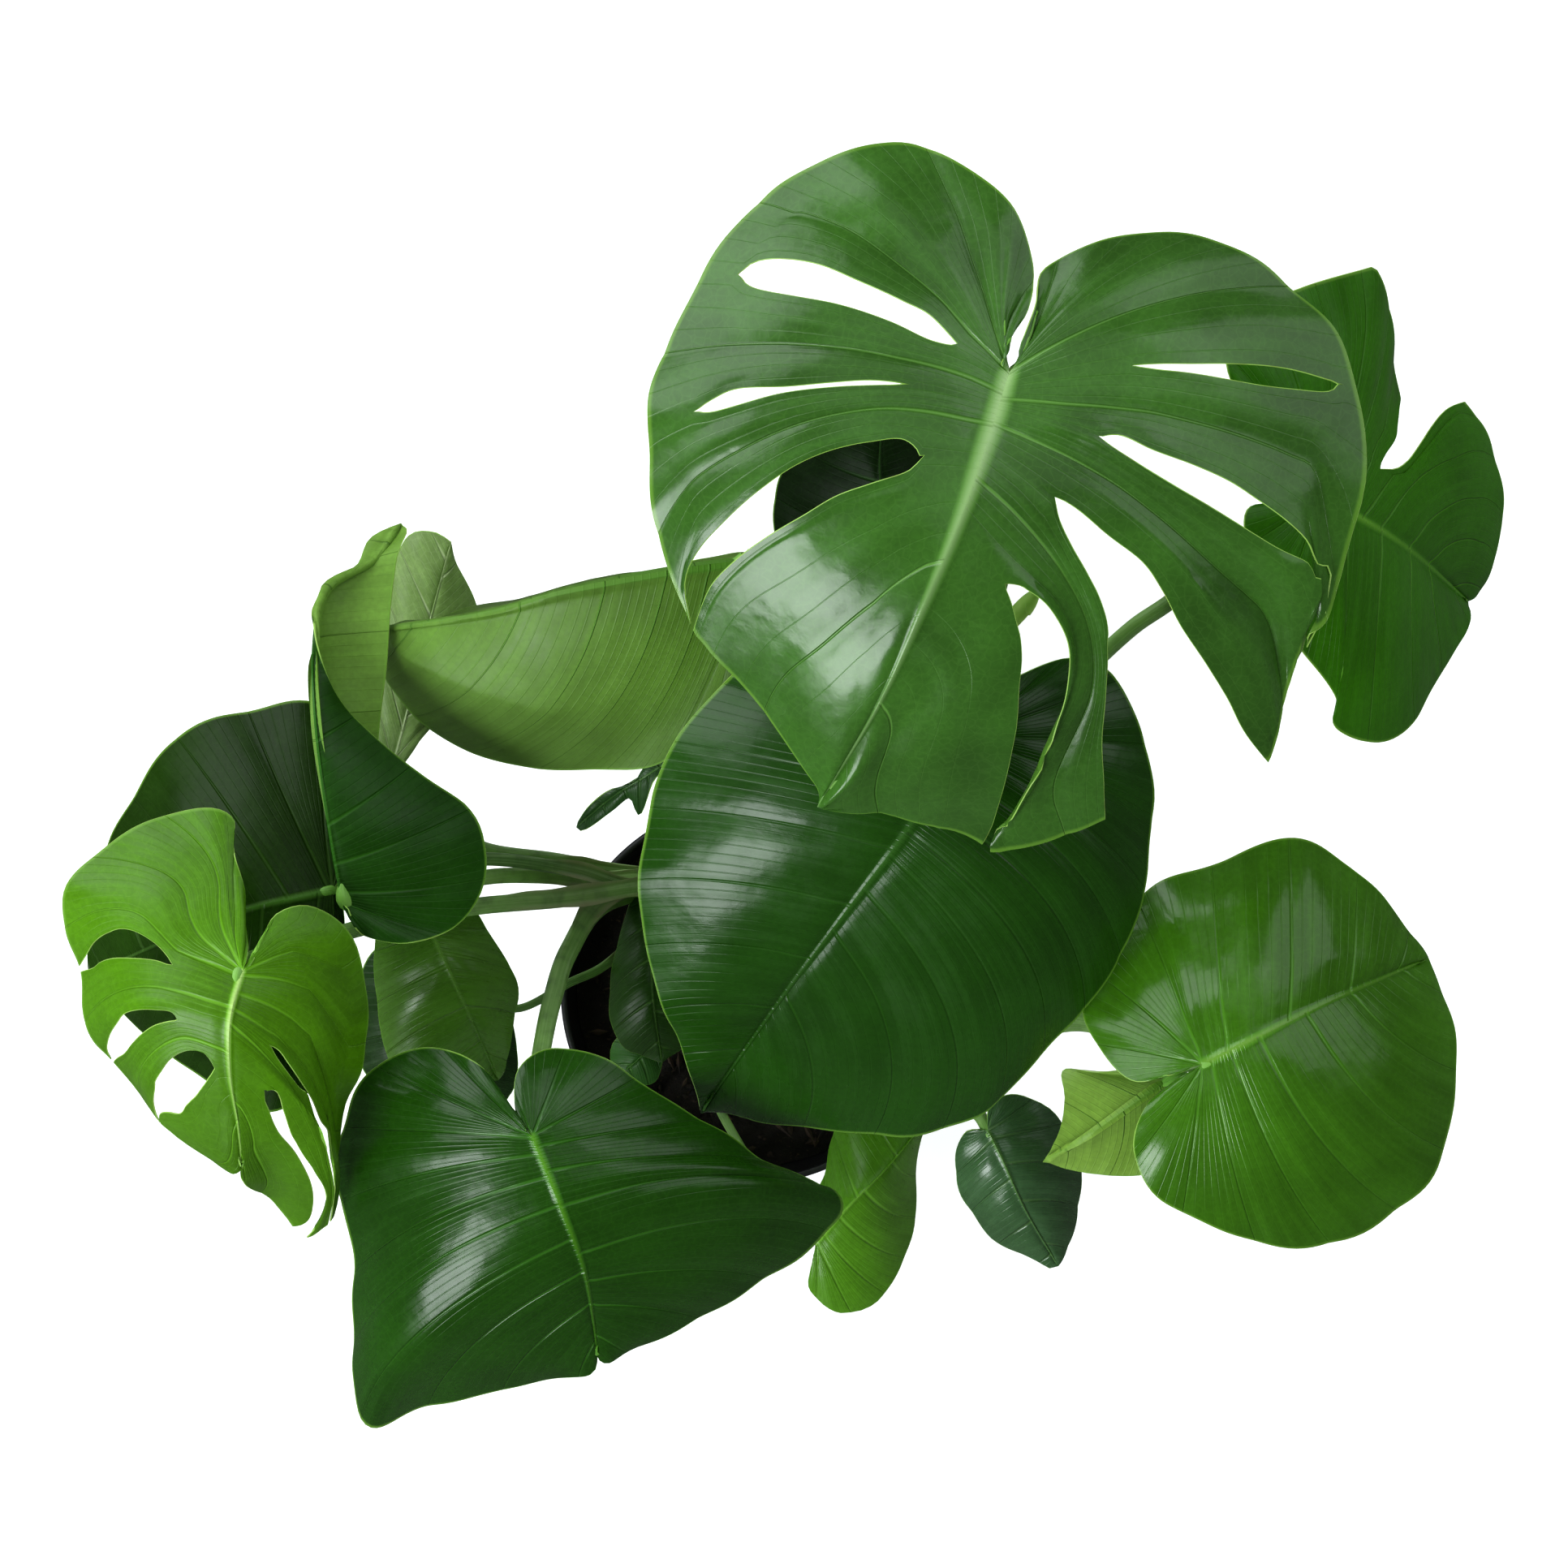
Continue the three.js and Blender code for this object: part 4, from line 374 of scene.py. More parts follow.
# Leaf blades. A midrib runs from the knuckle to the tip over plan points [u, v, z]. A margin row is
# [u, v, z, share of the midrib where the row starts, bow towards the base], the last two 0 if left out. A cut
# has an edge on its base side and one on its tip side, both from the inner end out; mouth gives the margin
# rows where an open cut ends. upper, under, vein, rib and underVein are screen colours; gloss is the upper
# face's roughness; veinGap is the margin between two main veins; quilt is how high the blade swells between
# veins as a share of that gap; wave is the ripple of the margin; ribWidth is the midrib's width and keel its
# depth below, at the knuckle and at the tip; arch is how high each half humps as a share of its reach.
# A petiole's path has plan points too; tone runs from a dark stalk (0) to a pale one (1).
leafPlans = {
    # the large top leaf, cut from both margins
    "crown": {
        "upper": (58, 98, 35), "vein": (96, 142, 64), "rib": (148, 182, 120), "under": (96, 146, 50),
        "gloss": 0.23, "veinGap": 90, "quilt": 0.06, "wave": 1.4, "ribWidth": (13, 2.4), "veinShow": 0.6,
        "patchy": 0.75, "sway": 1.7, "arch": (0.05, 0.06), "keel": (5, 1.4), "corners": (13, 15),
        "midrib": [[111, 203, 596], [92, 144, 602], [69, 88, 592], [47, 40, 562], [17, -10, 512]],
        "left": [
            [115, 206, 596], [119, 222, 595, 0, -0.1], [124, 236, 592, 0, -0.09], [128, 254, 588, 0, -0.08],
            [152, 266, 585], [188, 272, 582, 0, 0.06], [218, 265, 580, 0, 0.08], [244, 250, 578, 0, 0.08],
            [269, 226, 575, 0.01, 0.08], [281, 194, 574, 0.03, 0.06], [286, 154, 570, 0.05, 0.06],
            [270, 87, 560, 0.07, 0.1], [255, 68, 545, 0.09, 0.11], [238, 12, 515, 0.11, 0.13],
            [200, -4, 505, 0.15, 0.13], [158, -17, 497, 0.2, 0.15], [132, -27, 490, 0.23, 0.17],
            [102, -31, 486, 0.27, 0.18], [100, -30, 486, 0.35, 0.19], [98, -28, 487, 0.46, 0.18],
            [80, -19, 492, 0.58, 0.15], [57, -16, 500, 0.72, 0.08], [34, -14, 508, 0.88, 0.04]
        ],
        "right": [
            [107, 208, 596], [111, 220, 595, 0, -0.2], [120, 234, 592, 0, -0.2], [122, 256, 588, 0, -0.13],
            [110, 286, 584, 0, -0.04], [80, 308, 580], [53, 316, 578, 0, 0.02], [14, 303, 576, 0, 0.05],
            [-16, 284, 574, 0, 0.07], [-39, 250, 572, 0.01, 0.1], [-62, 206, 570, 0.05, 0.115],
            [-66, 174, 568, 0.07, 0.12], [-63, 126, 560, 0.11, 0.17], [-46, 79, 545, 0.2, 0.21],
            [-37, 68, 540, 0.27, 0.17], [-16, 42, 535, 0.36, 0.14], [1, 20, 528, 0.53, 0.1],
            [16, 0, 518, 0.78, 0.05]
        ],
        "cuts": {
            "left": [
                {"base": [
                     [171, 206], [183, 207], [200, 207], [217, 207], [235, 206], [249, 204], [264, 200],
                     [272, 197]
                 ],
                 "tip": [
                     [171, 206], [183, 204], [200, 202], [218, 199], [235, 196], [252, 194], [267, 193],
                     [272, 197]
                 ]},
                {"mouth": (12, 12.04),
                 "base": [
                     [156, 171], [165, 172], [181, 165], [200, 158], [218, 150], [232, 141], [247, 130],
                     [257, 120], [262, 109], [269, 99], [270, 88]
                 ],
                 "tip": [
                     [156, 171], [162, 166], [178, 156], [193, 147], [210, 137], [226, 127], [242, 117],
                     [256, 110], [260, 103], [264, 95], [268, 86]
                 ]},
                {"mouth": (13, 15),
                 "base": [
                     [134, 141], [143, 137], [159, 124], [176, 111], [186, 97], [195, 80], [208, 61],
                     [218, 45], [226, 29], [238, 12]
                 ],
                 "tip": [
                     [134, 141], [135, 131], [141, 118], [149, 104], [155, 92], [159, 77], [159, 62],
                     [158, 45], [156, 23], [157, 1], [158, -17]
                 ]},
                {"mouth": (17, 19),
                 "base": [
                     [108, 99], [116, 99], [126, 93], [134, 83], [139, 71], [139, 56], [135, 38], [127, 18],
                     [118, 0], [110, -16], [102, -31]
                 ],
                 "tip": [
                     [108, 99], [110, 91], [113, 80], [115, 65], [114, 48], [113, 28], [110, 11], [106, -6],
                     [102, -20], [99, -28]
                 ]},
            ],
            "right": [
                {"base": [
                     [85, 217], [73, 230], [58, 238], [38, 247], [19, 255], [-1, 258], [-14, 256],
                     [-20, 250]
                 ],
                 "tip": [
                     [85, 217], [73, 218], [53, 227], [29, 235], [9, 239], [-8, 242], [-17, 245], [-20, 250]
                 ]},
                {"base": [[60, 197], [46, 199], [24, 198], [2, 196], [-22, 195], [-34, 190], [-42, 184]],
                 "tip": [[60, 197], [46, 196], [24, 195], [-1, 192], [-20, 187], [-35, 183], [-42, 184]]},
                {"mouth": (13, 13.15),
                 "base": [
                     [67, 162], [59, 170], [43, 169], [24, 165], [7, 158], [-11, 146], [-28, 131],
                     [-41, 117], [-48, 104], [-49, 92], [-46, 80]
                 ],
                 "tip": [
                     [67, 162], [61, 154], [43, 148], [26, 142], [9, 132], [-8, 122], [-23, 111], [-34, 100],
                     [-39, 91], [-43, 81]
                 ]},
            ],
        },
        "petiole": {"stem": "back", "start": 190, "radius": (6, 4.6), "tone": 0.45,
                    "path": [
                        [50, -30, 296], [78, 14, 388], [90, 46, 458], [99, 78, 503], [108, 114, 545],
                        [113, 158, 577]
                    ]},
    },
    # the broad dark leaf below the top leaf
    "broad": {
        "upper": (33, 72, 14), "vein": (46, 88, 26), "rib": (58, 100, 38), "under": (80, 130, 44),
        "gloss": 0.26, "veinGap": 34, "quilt": 0.035, "wave": 1.4, "ribWidth": (6, 1.2), "veinShow": 0.22,
        "sway": 2.4, "shine": 0.42,
        "folds": [
            (1, 6.5, 0.7, 0.7, -2.2),
            (1, 8.5, 0.6, 0.6, 1.8),
            (1, 11.5, 0.8, 0.8, -2.4),
            (-1, 4.5, 0.7, 0.7, 1.8),
        ],
        "arch": (0.07, 0.06), "keel": (5, 1.4),
        "midrib": [[90, 24, 478], [64, -18, 476], [38, -53, 458], [0, -104, 412], [-41, -162, 332]],
        "left": [
            [92, 29, 478], [102, 44, 476], [118, 54, 472], [140, 62, 466, 0, 0.02], [161, 54, 458, 0, 0.03],
            [174, 32, 450, 0, 0.05], [181, 2, 440, 0, 0.07], [180, -34, 430, 0.01, 0.09],
            [174, -66, 426, 0.04, 0.12], [162, -94, 415, 0.08, 0.14], [144, -114, 401, 0.14, 0.15],
            [122, -138, 384, 0.2, 0.15], [92, -166, 360, 0.28, 0.14], [58, -174, 350, 0.38, 0.13],
            [18, -171, 343, 0.55, 0.1], [-18, -164, 338, 0.78, 0.05]
        ],
        "right": [
            [86, 29, 478], [70, 46, 476], [38, 62, 474], [4, 66, 470, 0, 0.02], [-24, 54, 464, 0.02, 0.04],
            [-50, 26, 456, 0.1, 0.06], [-64, -4, 446, 0.2, 0.08], [-71, -44, 432, 0.36, 0.1],
            [-69, -76, 418, 0.5, 0.11], [-60, -108, 400, 0.64, 0.1], [-50, -132, 375, 0.78, 0.07],
            [-43, -152, 350, 0.92, 0.03]
        ],
        "petiole": {"stem": "back", "start": 208, "radius": (5.6, 4.2), "tone": 0.35,
                    "path": [[54, -22, 348], [78, 8, 442]]},
    },
    # the glossy heart-shaped leaf at the front left
    "heart": {
        "upper": (33, 71, 13), "vein": (58, 110, 30), "rib": (84, 136, 36), "under": (80, 130, 44),
        "gloss": 0.22, "veinGap": 38, "quilt": 0.03, "wave": 1.4, "ribWidth": (7, 1.2), "veinShow": 0.35,
        "sway": 1.8, "shine": 0.45, "folds": [(1, 5.5, 0.8, 0.8, -1.8), (-1, 7.5, 0.9, 0.9, 2.0)],
        "arch": (0.07, 0.07), "keel": (4, 1.2),
        "midrib": [
            [-124, -173, 402], [-110, -208, 398], [-99, -238, 380], [-94, -264, 352], [-92, -282, 331]
        ],
        "left": [
            [-126, -169, 401], [-132, -157, 398], [-130, -140, 393], [-114, -130, 388],
            [-88, -136, 382, 0, 0.03], [-58, -155, 372, 0, 0.05], [-26, -175, 358, 0.08, 0.08],
            [4, -192, 342, 0.18, 0.12], [25, -200, 325, 0.3, 0.14], [28, -214, 318, 0.42, 0.16],
            [8, -232, 316, 0.52, 0.14], [-18, -250, 318, 0.62, 0.12], [-46, -264, 322, 0.72, 0.09],
            [-72, -278, 326, 0.84, 0.05], [-86, -285, 328, 0.94, 0.02]
        ],
        "right": [
            [-127, -170, 401], [-136, -157, 398], [-152, -138, 390], [-176, -130, 380, 0, 0.02],
            [-202, -140, 368, 0, 0.04], [-216, -164, 356, 0, 0.06], [-221, -190, 346, 0.04, 0.08],
            [-214, -222, 334, 0.1, 0.1], [-211, -254, 322, 0.18, 0.12], [-212, -290, 306, 0.3, 0.13],
            [-203, -315, 296, 0.42, 0.13], [-174, -306, 303, 0.54, 0.11], [-142, -299, 310, 0.68, 0.09],
            [-114, -294, 318, 0.82, 0.05], [-96, -290, 324, 0.94, 0.02]
        ],
        "petiole": {"stem": "left", "start": 182, "radius": (5.4, 4.2), "tone": 0.55,
                    "path": [
                        [-88, -58, 224], [-106, -82, 280], [-114, -106, 325], [-119, -130, 360],
                        [-123, -158, 388]
                    ]},
    },
    # the young lime-green leaf at the far left
    "lime": {
        "upper": (75, 122, 6), "vein": (112, 170, 40), "rib": (178, 214, 124), "under": (120, 175, 60),
        "gloss": 0.38, "veinGap": 40, "quilt": 0.03, "wave": 1.6, "ribWidth": (5.4, 1.1), "veinShow": 0.4,
        # the blade painted darker towards its tip, as shade where its strips turn down out of the light
        "tipPaintedShade": 0.35, "shine": 0.4, "arch": (0.06, 0.07), "keel": (4, 1.2),
        "midrib": [
            [-267, -92, 462], [-273, -116, 466], [-273, -142, 452], [-269, -168, 432], [-267, -189, 412]
        ],
        "left": [
            [-263, -89, 462], [-257, -78, 460], [-251, -65, 457], [-235, -60, 450],
            [-218, -69, 440, 0, 0.03], [-208, -90, 425, 0, 0.05], [-205, -114, 412, 0.03, 0.07],
            [-208, -136, 400, 0.08, 0.09], [-215, -158, 385, 0.13, 0.1], [-221, -182, 368, 0.17, 0.12],
            [-220, -208, 350, 0.21, 0.1], [-223, -216, 345, 0.26, 0.12], [-229, -220, 342, 0.33, 0.16],
            [-235, -222, 340, 0.42, 0.17], [-239, -219, 345, 0.5, 0.16], [-254, -204, 362, 0.7, 0.09],
            [-265, -197, 395, 0.9, 0.03]
        ],
        "right": [
            [-265, -87, 462], [-264, -74, 461], [-266, -54, 460], [-272, -34, 458],
            [-271, -18, 455, 0, -0.06], [-284, -12, 455], [-308, -17, 450, 0, 0.02],
            [-335, -31, 445, 0, 0.04], [-353, -50, 438, 0, 0.05], [-354, -70, 432, 0.02, 0.08],
            [-348, -90, 425, 0.08, 0.15], [-345, -110, 420, 0.14, 0.17], [-340, -126, 415, 0.2, 0.22],
            [-332, -136, 410, 0.28, 0.28], [-322, -147, 405, 0.36, 0.28], [-314, -158, 402, 0.42, 0.3],
            [-307, -166, 400, 0.5, 0.34], [-300, -171, 400, 0.6, 0.25], [-282, -187, 405, 0.8, 0.1],
            [-272, -192, 410, 0.94, 0.02]
        ],
        "cuts": {
            "left": [
                {"mouth": (11, 11.3),
                 "base": [
                     [-253, -129], [-249, -131], [-244, -138], [-238, -147], [-233, -155], [-229, -165],
                     [-224, -177], [-222, -191], [-221, -206]
                 ],
                 "tip": [
                     [-253, -129], [-250, -135], [-245, -142], [-240, -149], [-235, -156], [-231, -167],
                     [-226, -179], [-223, -192], [-222, -206]
                 ]},
                {"mouth": (13, 14.2),
                 "base": [
                     [-255, -151], [-250, -151], [-247, -159], [-244, -168], [-240, -176], [-235, -184],
                     [-230, -192], [-226, -200], [-226, -209], [-229, -216], [-233, -221]
                 ],
                 "tip": [
                     [-255, -151], [-256, -156], [-253, -163], [-249, -171], [-242, -179], [-237, -187],
                     [-233, -196], [-232, -205], [-234, -213], [-237, -221]
                 ]},
            ],
            "right": [
                {"mouth": (10, 10.15),
                 "base": [
                     [-302, -89], [-305, -83], [-310, -78], [-318, -73], [-326, -71], [-333, -73],
                     [-340, -78], [-344, -84], [-347, -90]
                 ],
                 "tip": [
                     [-302, -89], [-310, -87], [-321, -86], [-330, -86], [-337, -88], [-341, -91],
                     [-347, -92]
                 ]},
                {"mouth": (13, 13.15),
                 "base": [
                     [-299, -116], [-302, -112], [-310, -111], [-318, -111], [-325, -113], [-329, -118],
                     [-333, -125], [-334, -131], [-331, -136]
                 ],
                 "tip": [
                     [-299, -116], [-303, -117], [-310, -119], [-316, -123], [-321, -128], [-325, -133],
                     [-330, -136]
                 ]},
                {"mouth": (16, 16.12),
                 "base": [
                     [-281, -140], [-285, -133], [-291, -131], [-297, -132], [-303, -136], [-308, -143],
                     [-310, -150], [-310, -159], [-307, -165]
                 ],
                 "tip": [
                     [-281, -140], [-284, -146], [-289, -153], [-294, -158], [-300, -162], [-305, -166]
                 ]},
            ],
        },
        "petiole": {"stem": "left", "start": 235, "radius": (4.6, 3.8), "tone": 0.6,
                    "path": [
                        [-74, -51, 252], [-106, -56, 285], [-150, -60, 335], [-186, -66, 378],
                        [-212, -72, 410], [-242, -81, 437]
                    ]},
    },
    # the dark leaf under the lime one
    "shade": {
        "upper": (30, 57, 6), "vein": (58, 88, 34), "rib": (80, 122, 50), "under": (70, 110, 44),
        "gloss": 0.32, "veinGap": 36, "quilt": 0.03, "wave": 1.2, "ribWidth": (6, 1.4), "veinShow": 0.3,
        "shine": 0.2, "arch": (0.06, 0.06), "keel": (3.4, 1.2),
        "midrib": [[-222, -52, 410], [-266, -62, 416], [-306, -78, 396], [-342, -94, 345]],
        "left": [
            [-218, -56, 407], [-216, -78, 397], [-214, -102, 390], [-216, -126, 388, 0, 0.02],
            [-228, -146, 380, 0, 0.04], [-250, -161, 372, 0.05, 0.06], [-270, -155, 366, 0.15, 0.08],
            [-292, -141, 360, 0.32, 0.09], [-314, -123, 354, 0.55, 0.08], [-330, -108, 348, 0.8, 0.05]
        ],
        "right": [
            [-218, -47, 408], [-210, -30, 404], [-204, -2, 398], [-212, 26, 392], [-232, 40, 388],
            [-258, 37, 385, 0, 0.02], [-282, 32, 382, 0.05, 0.04], [-302, 20, 378, 0.15, 0.05],
            [-318, -1, 372, 0.32, 0.07], [-330, -24, 366, 0.55, 0.08], [-339, -50, 360, 0.75, 0.07],
            [-343, -74, 352, 0.92, 0.04]
        ],
        "petiole": {"stem": "left", "start": 222, "radius": (3.6, 3.0), "tone": 0.15,
                    "path": [
                        [-76, -50, 238], [-86, -48, 246], [-106, -42, 270], [-148, -37, 330],
                        [-186, -44, 372]
                    ]},
    },
    # the leaf at the right
    "right": {
        "upper": (62, 108, 20), "vein": (84, 138, 40), "rib": (108, 152, 58), "under": (95, 145, 50),
        "gloss": 0.2, "veinGap": 38, "quilt": 0.018, "wave": 1.2, "ribWidth": (7.4, 1.6), "veinShow": 0.4,
        "sway": 1.0,
        "folds": [
            (1, 4.5, 0.9, 1.6, 6.5),
            (-1, 4.5, 0.45, 0.45, -3.0),
            (-1, 5.5, 0.45, 0.45, -2.6),
            (-1, 2.5, 0.8, 0.8, 1.8),
        ],
        "arch": (0.06, 0.07), "keel": (4, 1.2),
        "midrib": [[206, -138, 422], [234, -124, 428], [266, -108, 415], [294, -96, 392], [317, -86, 365]],
        "left": [
            [202, -139, 421], [190, -143, 418], [172, -146, 409], [156, -131, 399], [148, -108, 390],
            [160, -76, 386], [184, -51, 389, 0, 0.02], [218, -40, 391, 0.12, 0.03],
            [250, -28, 390, 0.34, 0.03], [276, -40, 385, 0.54, 0.04], [298, -61, 378, 0.72, 0.04],
            [312, -78, 370, 0.88, 0.02]
        ],
        "right": [
            [203, -141, 421], [188, -149, 418], [177, -162, 414], [173, -182, 408],
            [184, -203, 402, 0, 0.02], [210, -216, 396, 0, 0.04], [242, -228, 390, 0.05, 0.07],
            [274, -226, 384, 0.12, 0.09], [302, -212, 378, 0.2, 0.1], [321, -190, 374, 0.34, 0.11],
            [330, -158, 370, 0.5, 0.1], [330, -124, 367, 0.68, 0.08], [324, -100, 365, 0.88, 0.04]
        ],
        "petiole": {"stem": "front", "start": 206, "radius": (4.8, 3.8), "tone": 0.5,
                    "path": [[74, -118, 300], [145, -114, 368], [174, -127, 400]]},
    },
    # the steep leaf behind the top leaf at the right
    "steep": {
        "upper": (50, 104, 6), "vein": (72, 128, 28), "rib": (100, 154, 46), "under": (90, 145, 44),
        "gloss": 0.35, "veinGap": 34, "quilt": 0.035, "wave": 1.2, "ribWidth": (7, 1.6), "shine": 0.3,
        "arch": (0.06, 0.07), "keel": (4.4, 1.2), "corners": (6, 8, 10),
        "midrib": [[262, 142, 448], [286, 130, 424], [310, 114, 382], [337, 90, 306]],
        "left": [
            [259, 145, 450], [250, 156, 458], [234, 177, 470], [218, 206, 480], [226, 230, 482],
            [254, 244, 470], [291, 255, 440, 0.03, 0.03], [299, 230, 420, 0.08, 0.05],
            [302, 190, 395, 0.15, 0.06], [318, 192, 365, 0.22], [335, 188, 345, 0.32, 0.08],
            [350, 166, 330, 0.48, 0.1], [354, 134, 315, 0.64, 0.1], [349, 106, 305, 0.82, 0.06],
            [342, 93, 303, 0.94, 0.02]
        ],
        "right": [
            [260, 142, 450], [248, 139, 455], [229, 136, 462], [227, 122, 460], [234, 98, 450],
            [246, 80, 440, 0, 0.03], [255, 66, 425, 0.03, 0.05], [272, 43, 405, 0.1, 0.08],
            [272, 28, 395, 0.2, 0.1], [294, 20, 375, 0.36, 0.12], [309, 30, 360, 0.48, 0.12],
            [324, 54, 340, 0.64, 0.1], [335, 74, 322, 0.82, 0.06], [338, 84, 312, 0.94, 0.02]
        ],
        "cuts": {
            "left": [
                {"mouth": (8, 10),
                 "base": [[293, 156], [295, 162], [300, 170], [301, 178], [302, 190]],
                 "tip": [
                     [293, 156], [300, 155], [307, 159], [313, 167], [319, 176], [326, 184], [335, 188]
                 ]},
            ],
        },
        "petiole": {"stem": "back", "start": 172, "radius": (4.4, 3.6), "tone": 0.6,
                    "path": [[74, -18, 275], [159, 66, 395], [189, 89, 420], [230, 118, 440]]},
    },
    # the leaf that has flopped over and shows its pale underside
    "flopped": {
        "upper": (40, 96, 22), "vein": (80, 140, 42), "rib": (120, 180, 62), "under": (92, 128, 46),
        "gloss": 0.4, "veinGap": 34, "quilt": 0.02, "wave": 1.2, "ribWidth": (5, 1.4),
        # the under face painted darker towards its margin, as shade where the blade turns away from the light
        "underVein": (84, 130, 42), "outerPaintedShade": 0.4, "bends": [(-1, 0.55, 0.22, -3.2, 0.25, 0.9)],
        "arch": (0.04, -0.02), "keel": (3, 1.2), "hangs": True,
        "midrib": [[-14, 110, 462], [-58, 104, 468], [-106, 95, 462], [-146, 84, 440], [-198, 76, 405]],
        "left": [
            [-12, 113, 460], [-24, 114, 440], [-46, 109, 415], [-74, 104, 395, 0.05], [-106, 98, 380, 0.2],
            [-138, 90, 375, 0.4], [-170, 83, 380, 0.64], [-188, 80, 395, 0.88]
        ],
        "right": [
            [-15, 105, 460], [-18, 82, 452], [-24, 54, 440], [-34, 30, 425], [-54, 15, 405, 0, 0.03],
            [-66, 9, 395, 0.05, 0.05], [-90, 7, 385, 0.12, 0.08], [-118, 7, 378, 0.2, 0.1],
            [-142, 13, 372, 0.3, 0.12], [-162, 19, 372, 0.4, 0.12], [-178, 31, 378, 0.54, 0.11],
            [-190, 44, 388, 0.7, 0.08], [-197, 56, 396, 0.88, 0.04]
        ],
        "petiole": {"stem": "back", "start": 240, "radius": (4.6, 3.8), "tone": 0.6,
                    "path": [[6, -14, 335], [-7, 46, 420], [-10, 82, 445]]},
    },
    # the grey-green leaf behind the rolled one, seen half from below
    "grey": {
        "upper": (120, 148, 82), "vein": (170, 188, 140), "rib": (178, 196, 146), "under": (130, 150, 104),
        "gloss": 0.42, "veinGap": 22, "quilt": 0.04, "wave": 0.8, "ribWidth": (4.0, 1.0),
        "underVein": (96, 124, 70), "arch": (0.05, 0.05), "keel": (2.6, 1),
        "midrib": [[-195, 0, 372], [-186, 34, 364], [-176, 74, 358], [-164, 119, 364]],
        "left": [
            [-198, 2, 371], [-204, 14, 368], [-206, 34, 360], [-203, 58, 354, 0.1], [-199, 82, 350, 0.3],
            [-194, 104, 353, 0.55], [-185, 122, 360, 0.8], [-173, 124, 363, 0.93]
        ],
        "right": [
            [-193, 2, 371], [-186, 12, 366], [-174, 30, 356], [-154, 50, 345, 0.12, -0.05],
            [-146, 68, 342, 0.3, 0.04], [-152, 88, 347, 0.55, 0.04], [-161, 108, 358, 0.85, 0.02]
        ],
        "petiole": {"stem": "left", "start": 196, "radius": (4.0, 3.2), "tone": 0.5,
                    "path": [[-88, -42, 214], [-114, -37, 254], [-148, -32, 312], [-170, -18, 342]]},
    },
    # the tall leaf at the left, its far margin rolled in
    "rolled": {
        "upper": (28, 68, 8), "vein": (54, 104, 28), "rib": (62, 120, 40), "under": (112, 150, 62),
        "gloss": 0.38, "veinGap": 36, "quilt": 0.03, "wave": 1.0, "ribWidth": (2.8, 1),
        "underVein": (92, 130, 52), "veinShow": 0.3, "shine": 0.3, "arch": (0.0, 0.06), "keel": (3.6, 1.2),
        "roll": (-14, 0, -6),
        "midrib": [
            [-218, -58, 428], [-225, -18, 440], [-231, 30, 444], [-232, 70, 436], [-225, 96, 424],
            [-202, 110, 412], [-189, 128, 404]
        ],
        "left": [
            [-215, -54, 425], [-206, -38, 414, 0.05], [-199, -14, 410, 0.15], [-200, 14, 412, 0.3],
            [-199, 34, 413, 0.42], [-196, 58, 414, 0.54], [-194, 88, 415, 0.68], [-191, 110, 413, 0.82],
            [-186, 124, 408, 0.94]
        ],
        "right": [
            [-214, -62, 428], [-208, -74, 425], [-186, -78, 417], [-162, -70, 406, 0, 0.02],
            [-148, -50, 404, 0.02, 0.04], [-148, -30, 406, 0.05, 0.05], [-156, -11, 412, 0.1, 0.06],
            [-178, 4, 420, 0.15, 0.07], [-201, 22, 428, 0.3, 0.06], [-216, 38, 434, 0.42, 0.04],
            [-226, 55, 438, 0.54, 0.02], [-231, 74, 438, 0.62], [-232, 86, 430, 0.7], [-220, 101, 420, 0.8],
            [-210, 108, 414, 0.87], [-204, 121, 408, 0.95]
        ],
        "petiole": {"stem": "left", "start": 209, "radius": (4.2, 3.4), "tone": 0.95,
                    "path": [
                        [-73, -46, 220], [-90, -47, 232], [-122, -45, 276], [-148, -46, 322],
                        [-186, -54, 384]
                    ]},
    },
    # the middle-sized leaf below the rolled one
    "low": {
        "upper": (86, 126, 44), "vein": (96, 134, 56), "rib": (108, 150, 64), "under": (80, 125, 50),
        "gloss": 0.3, "veinGap": 26, "quilt": 0.045, "wave": 0.9, "ribWidth": (4.4, 1.2), "veinShow": 0.45,
        "arch": (0.06, 0.06), "keel": (2.4, 1),
        "midrib": [[-177, -65, 328], [-168, -86, 332], [-156, -112, 318], [-141, -145, 276]],
        "left": [
            [-174, -63, 327], [-165, -57, 324], [-154, -61, 318], [-145, -74, 311, 0.04],
            [-135, -90, 304, 0.16, 0.05], [-132, -104, 296, 0.35, 0.06], [-135, -126, 286, 0.64, 0.05],
            [-138, -140, 279, 0.88, 0.02]
        ],
        "right": [
            [-180, -63, 327], [-188, -61, 324], [-198, -66, 318], [-201, -80, 314, 0.04],
            [-201, -98, 309, 0.16, 0.04], [-199, -118, 304, 0.35, 0.06], [-194, -137, 298, 0.52, 0.08],
            [-178, -148, 291, 0.72, 0.07], [-158, -150, 284, 0.88, 0.04]
        ],
        "petiole": {"stem": "left", "start": 168, "radius": (3.0, 2.6), "tone": 0.5,
                    "path": [[-106, -56, 220], [-146, -59, 268], [-162, -61, 298]]},
    },
    # the lowest leaf at the left
    "lowest": {
        "upper": (32, 60, 22), "vein": (62, 94, 44), "rib": (80, 118, 50), "under": (75, 115, 46),
        "gloss": 0.3, "veinGap": 26, "quilt": 0.045, "wave": 0.8, "ribWidth": (3.6, 1),
        "arch": (0.05, 0.05), "keel": (1.8, 1),
        "midrib": [[-162, -85, 282], [-166, -110, 286], [-168, -138, 272], [-170, -165, 246]],
        "left": [
            [-159, -82, 282], [-146, -86, 278], [-138, -102, 272, 0.1, 0.03], [-133, -122, 266, 0.3, 0.05],
            [-132, -138, 258, 0.5, 0.06], [-135, -153, 252, 0.7, 0.05], [-146, -162, 247, 0.88, 0.03]
        ],
        "right": [
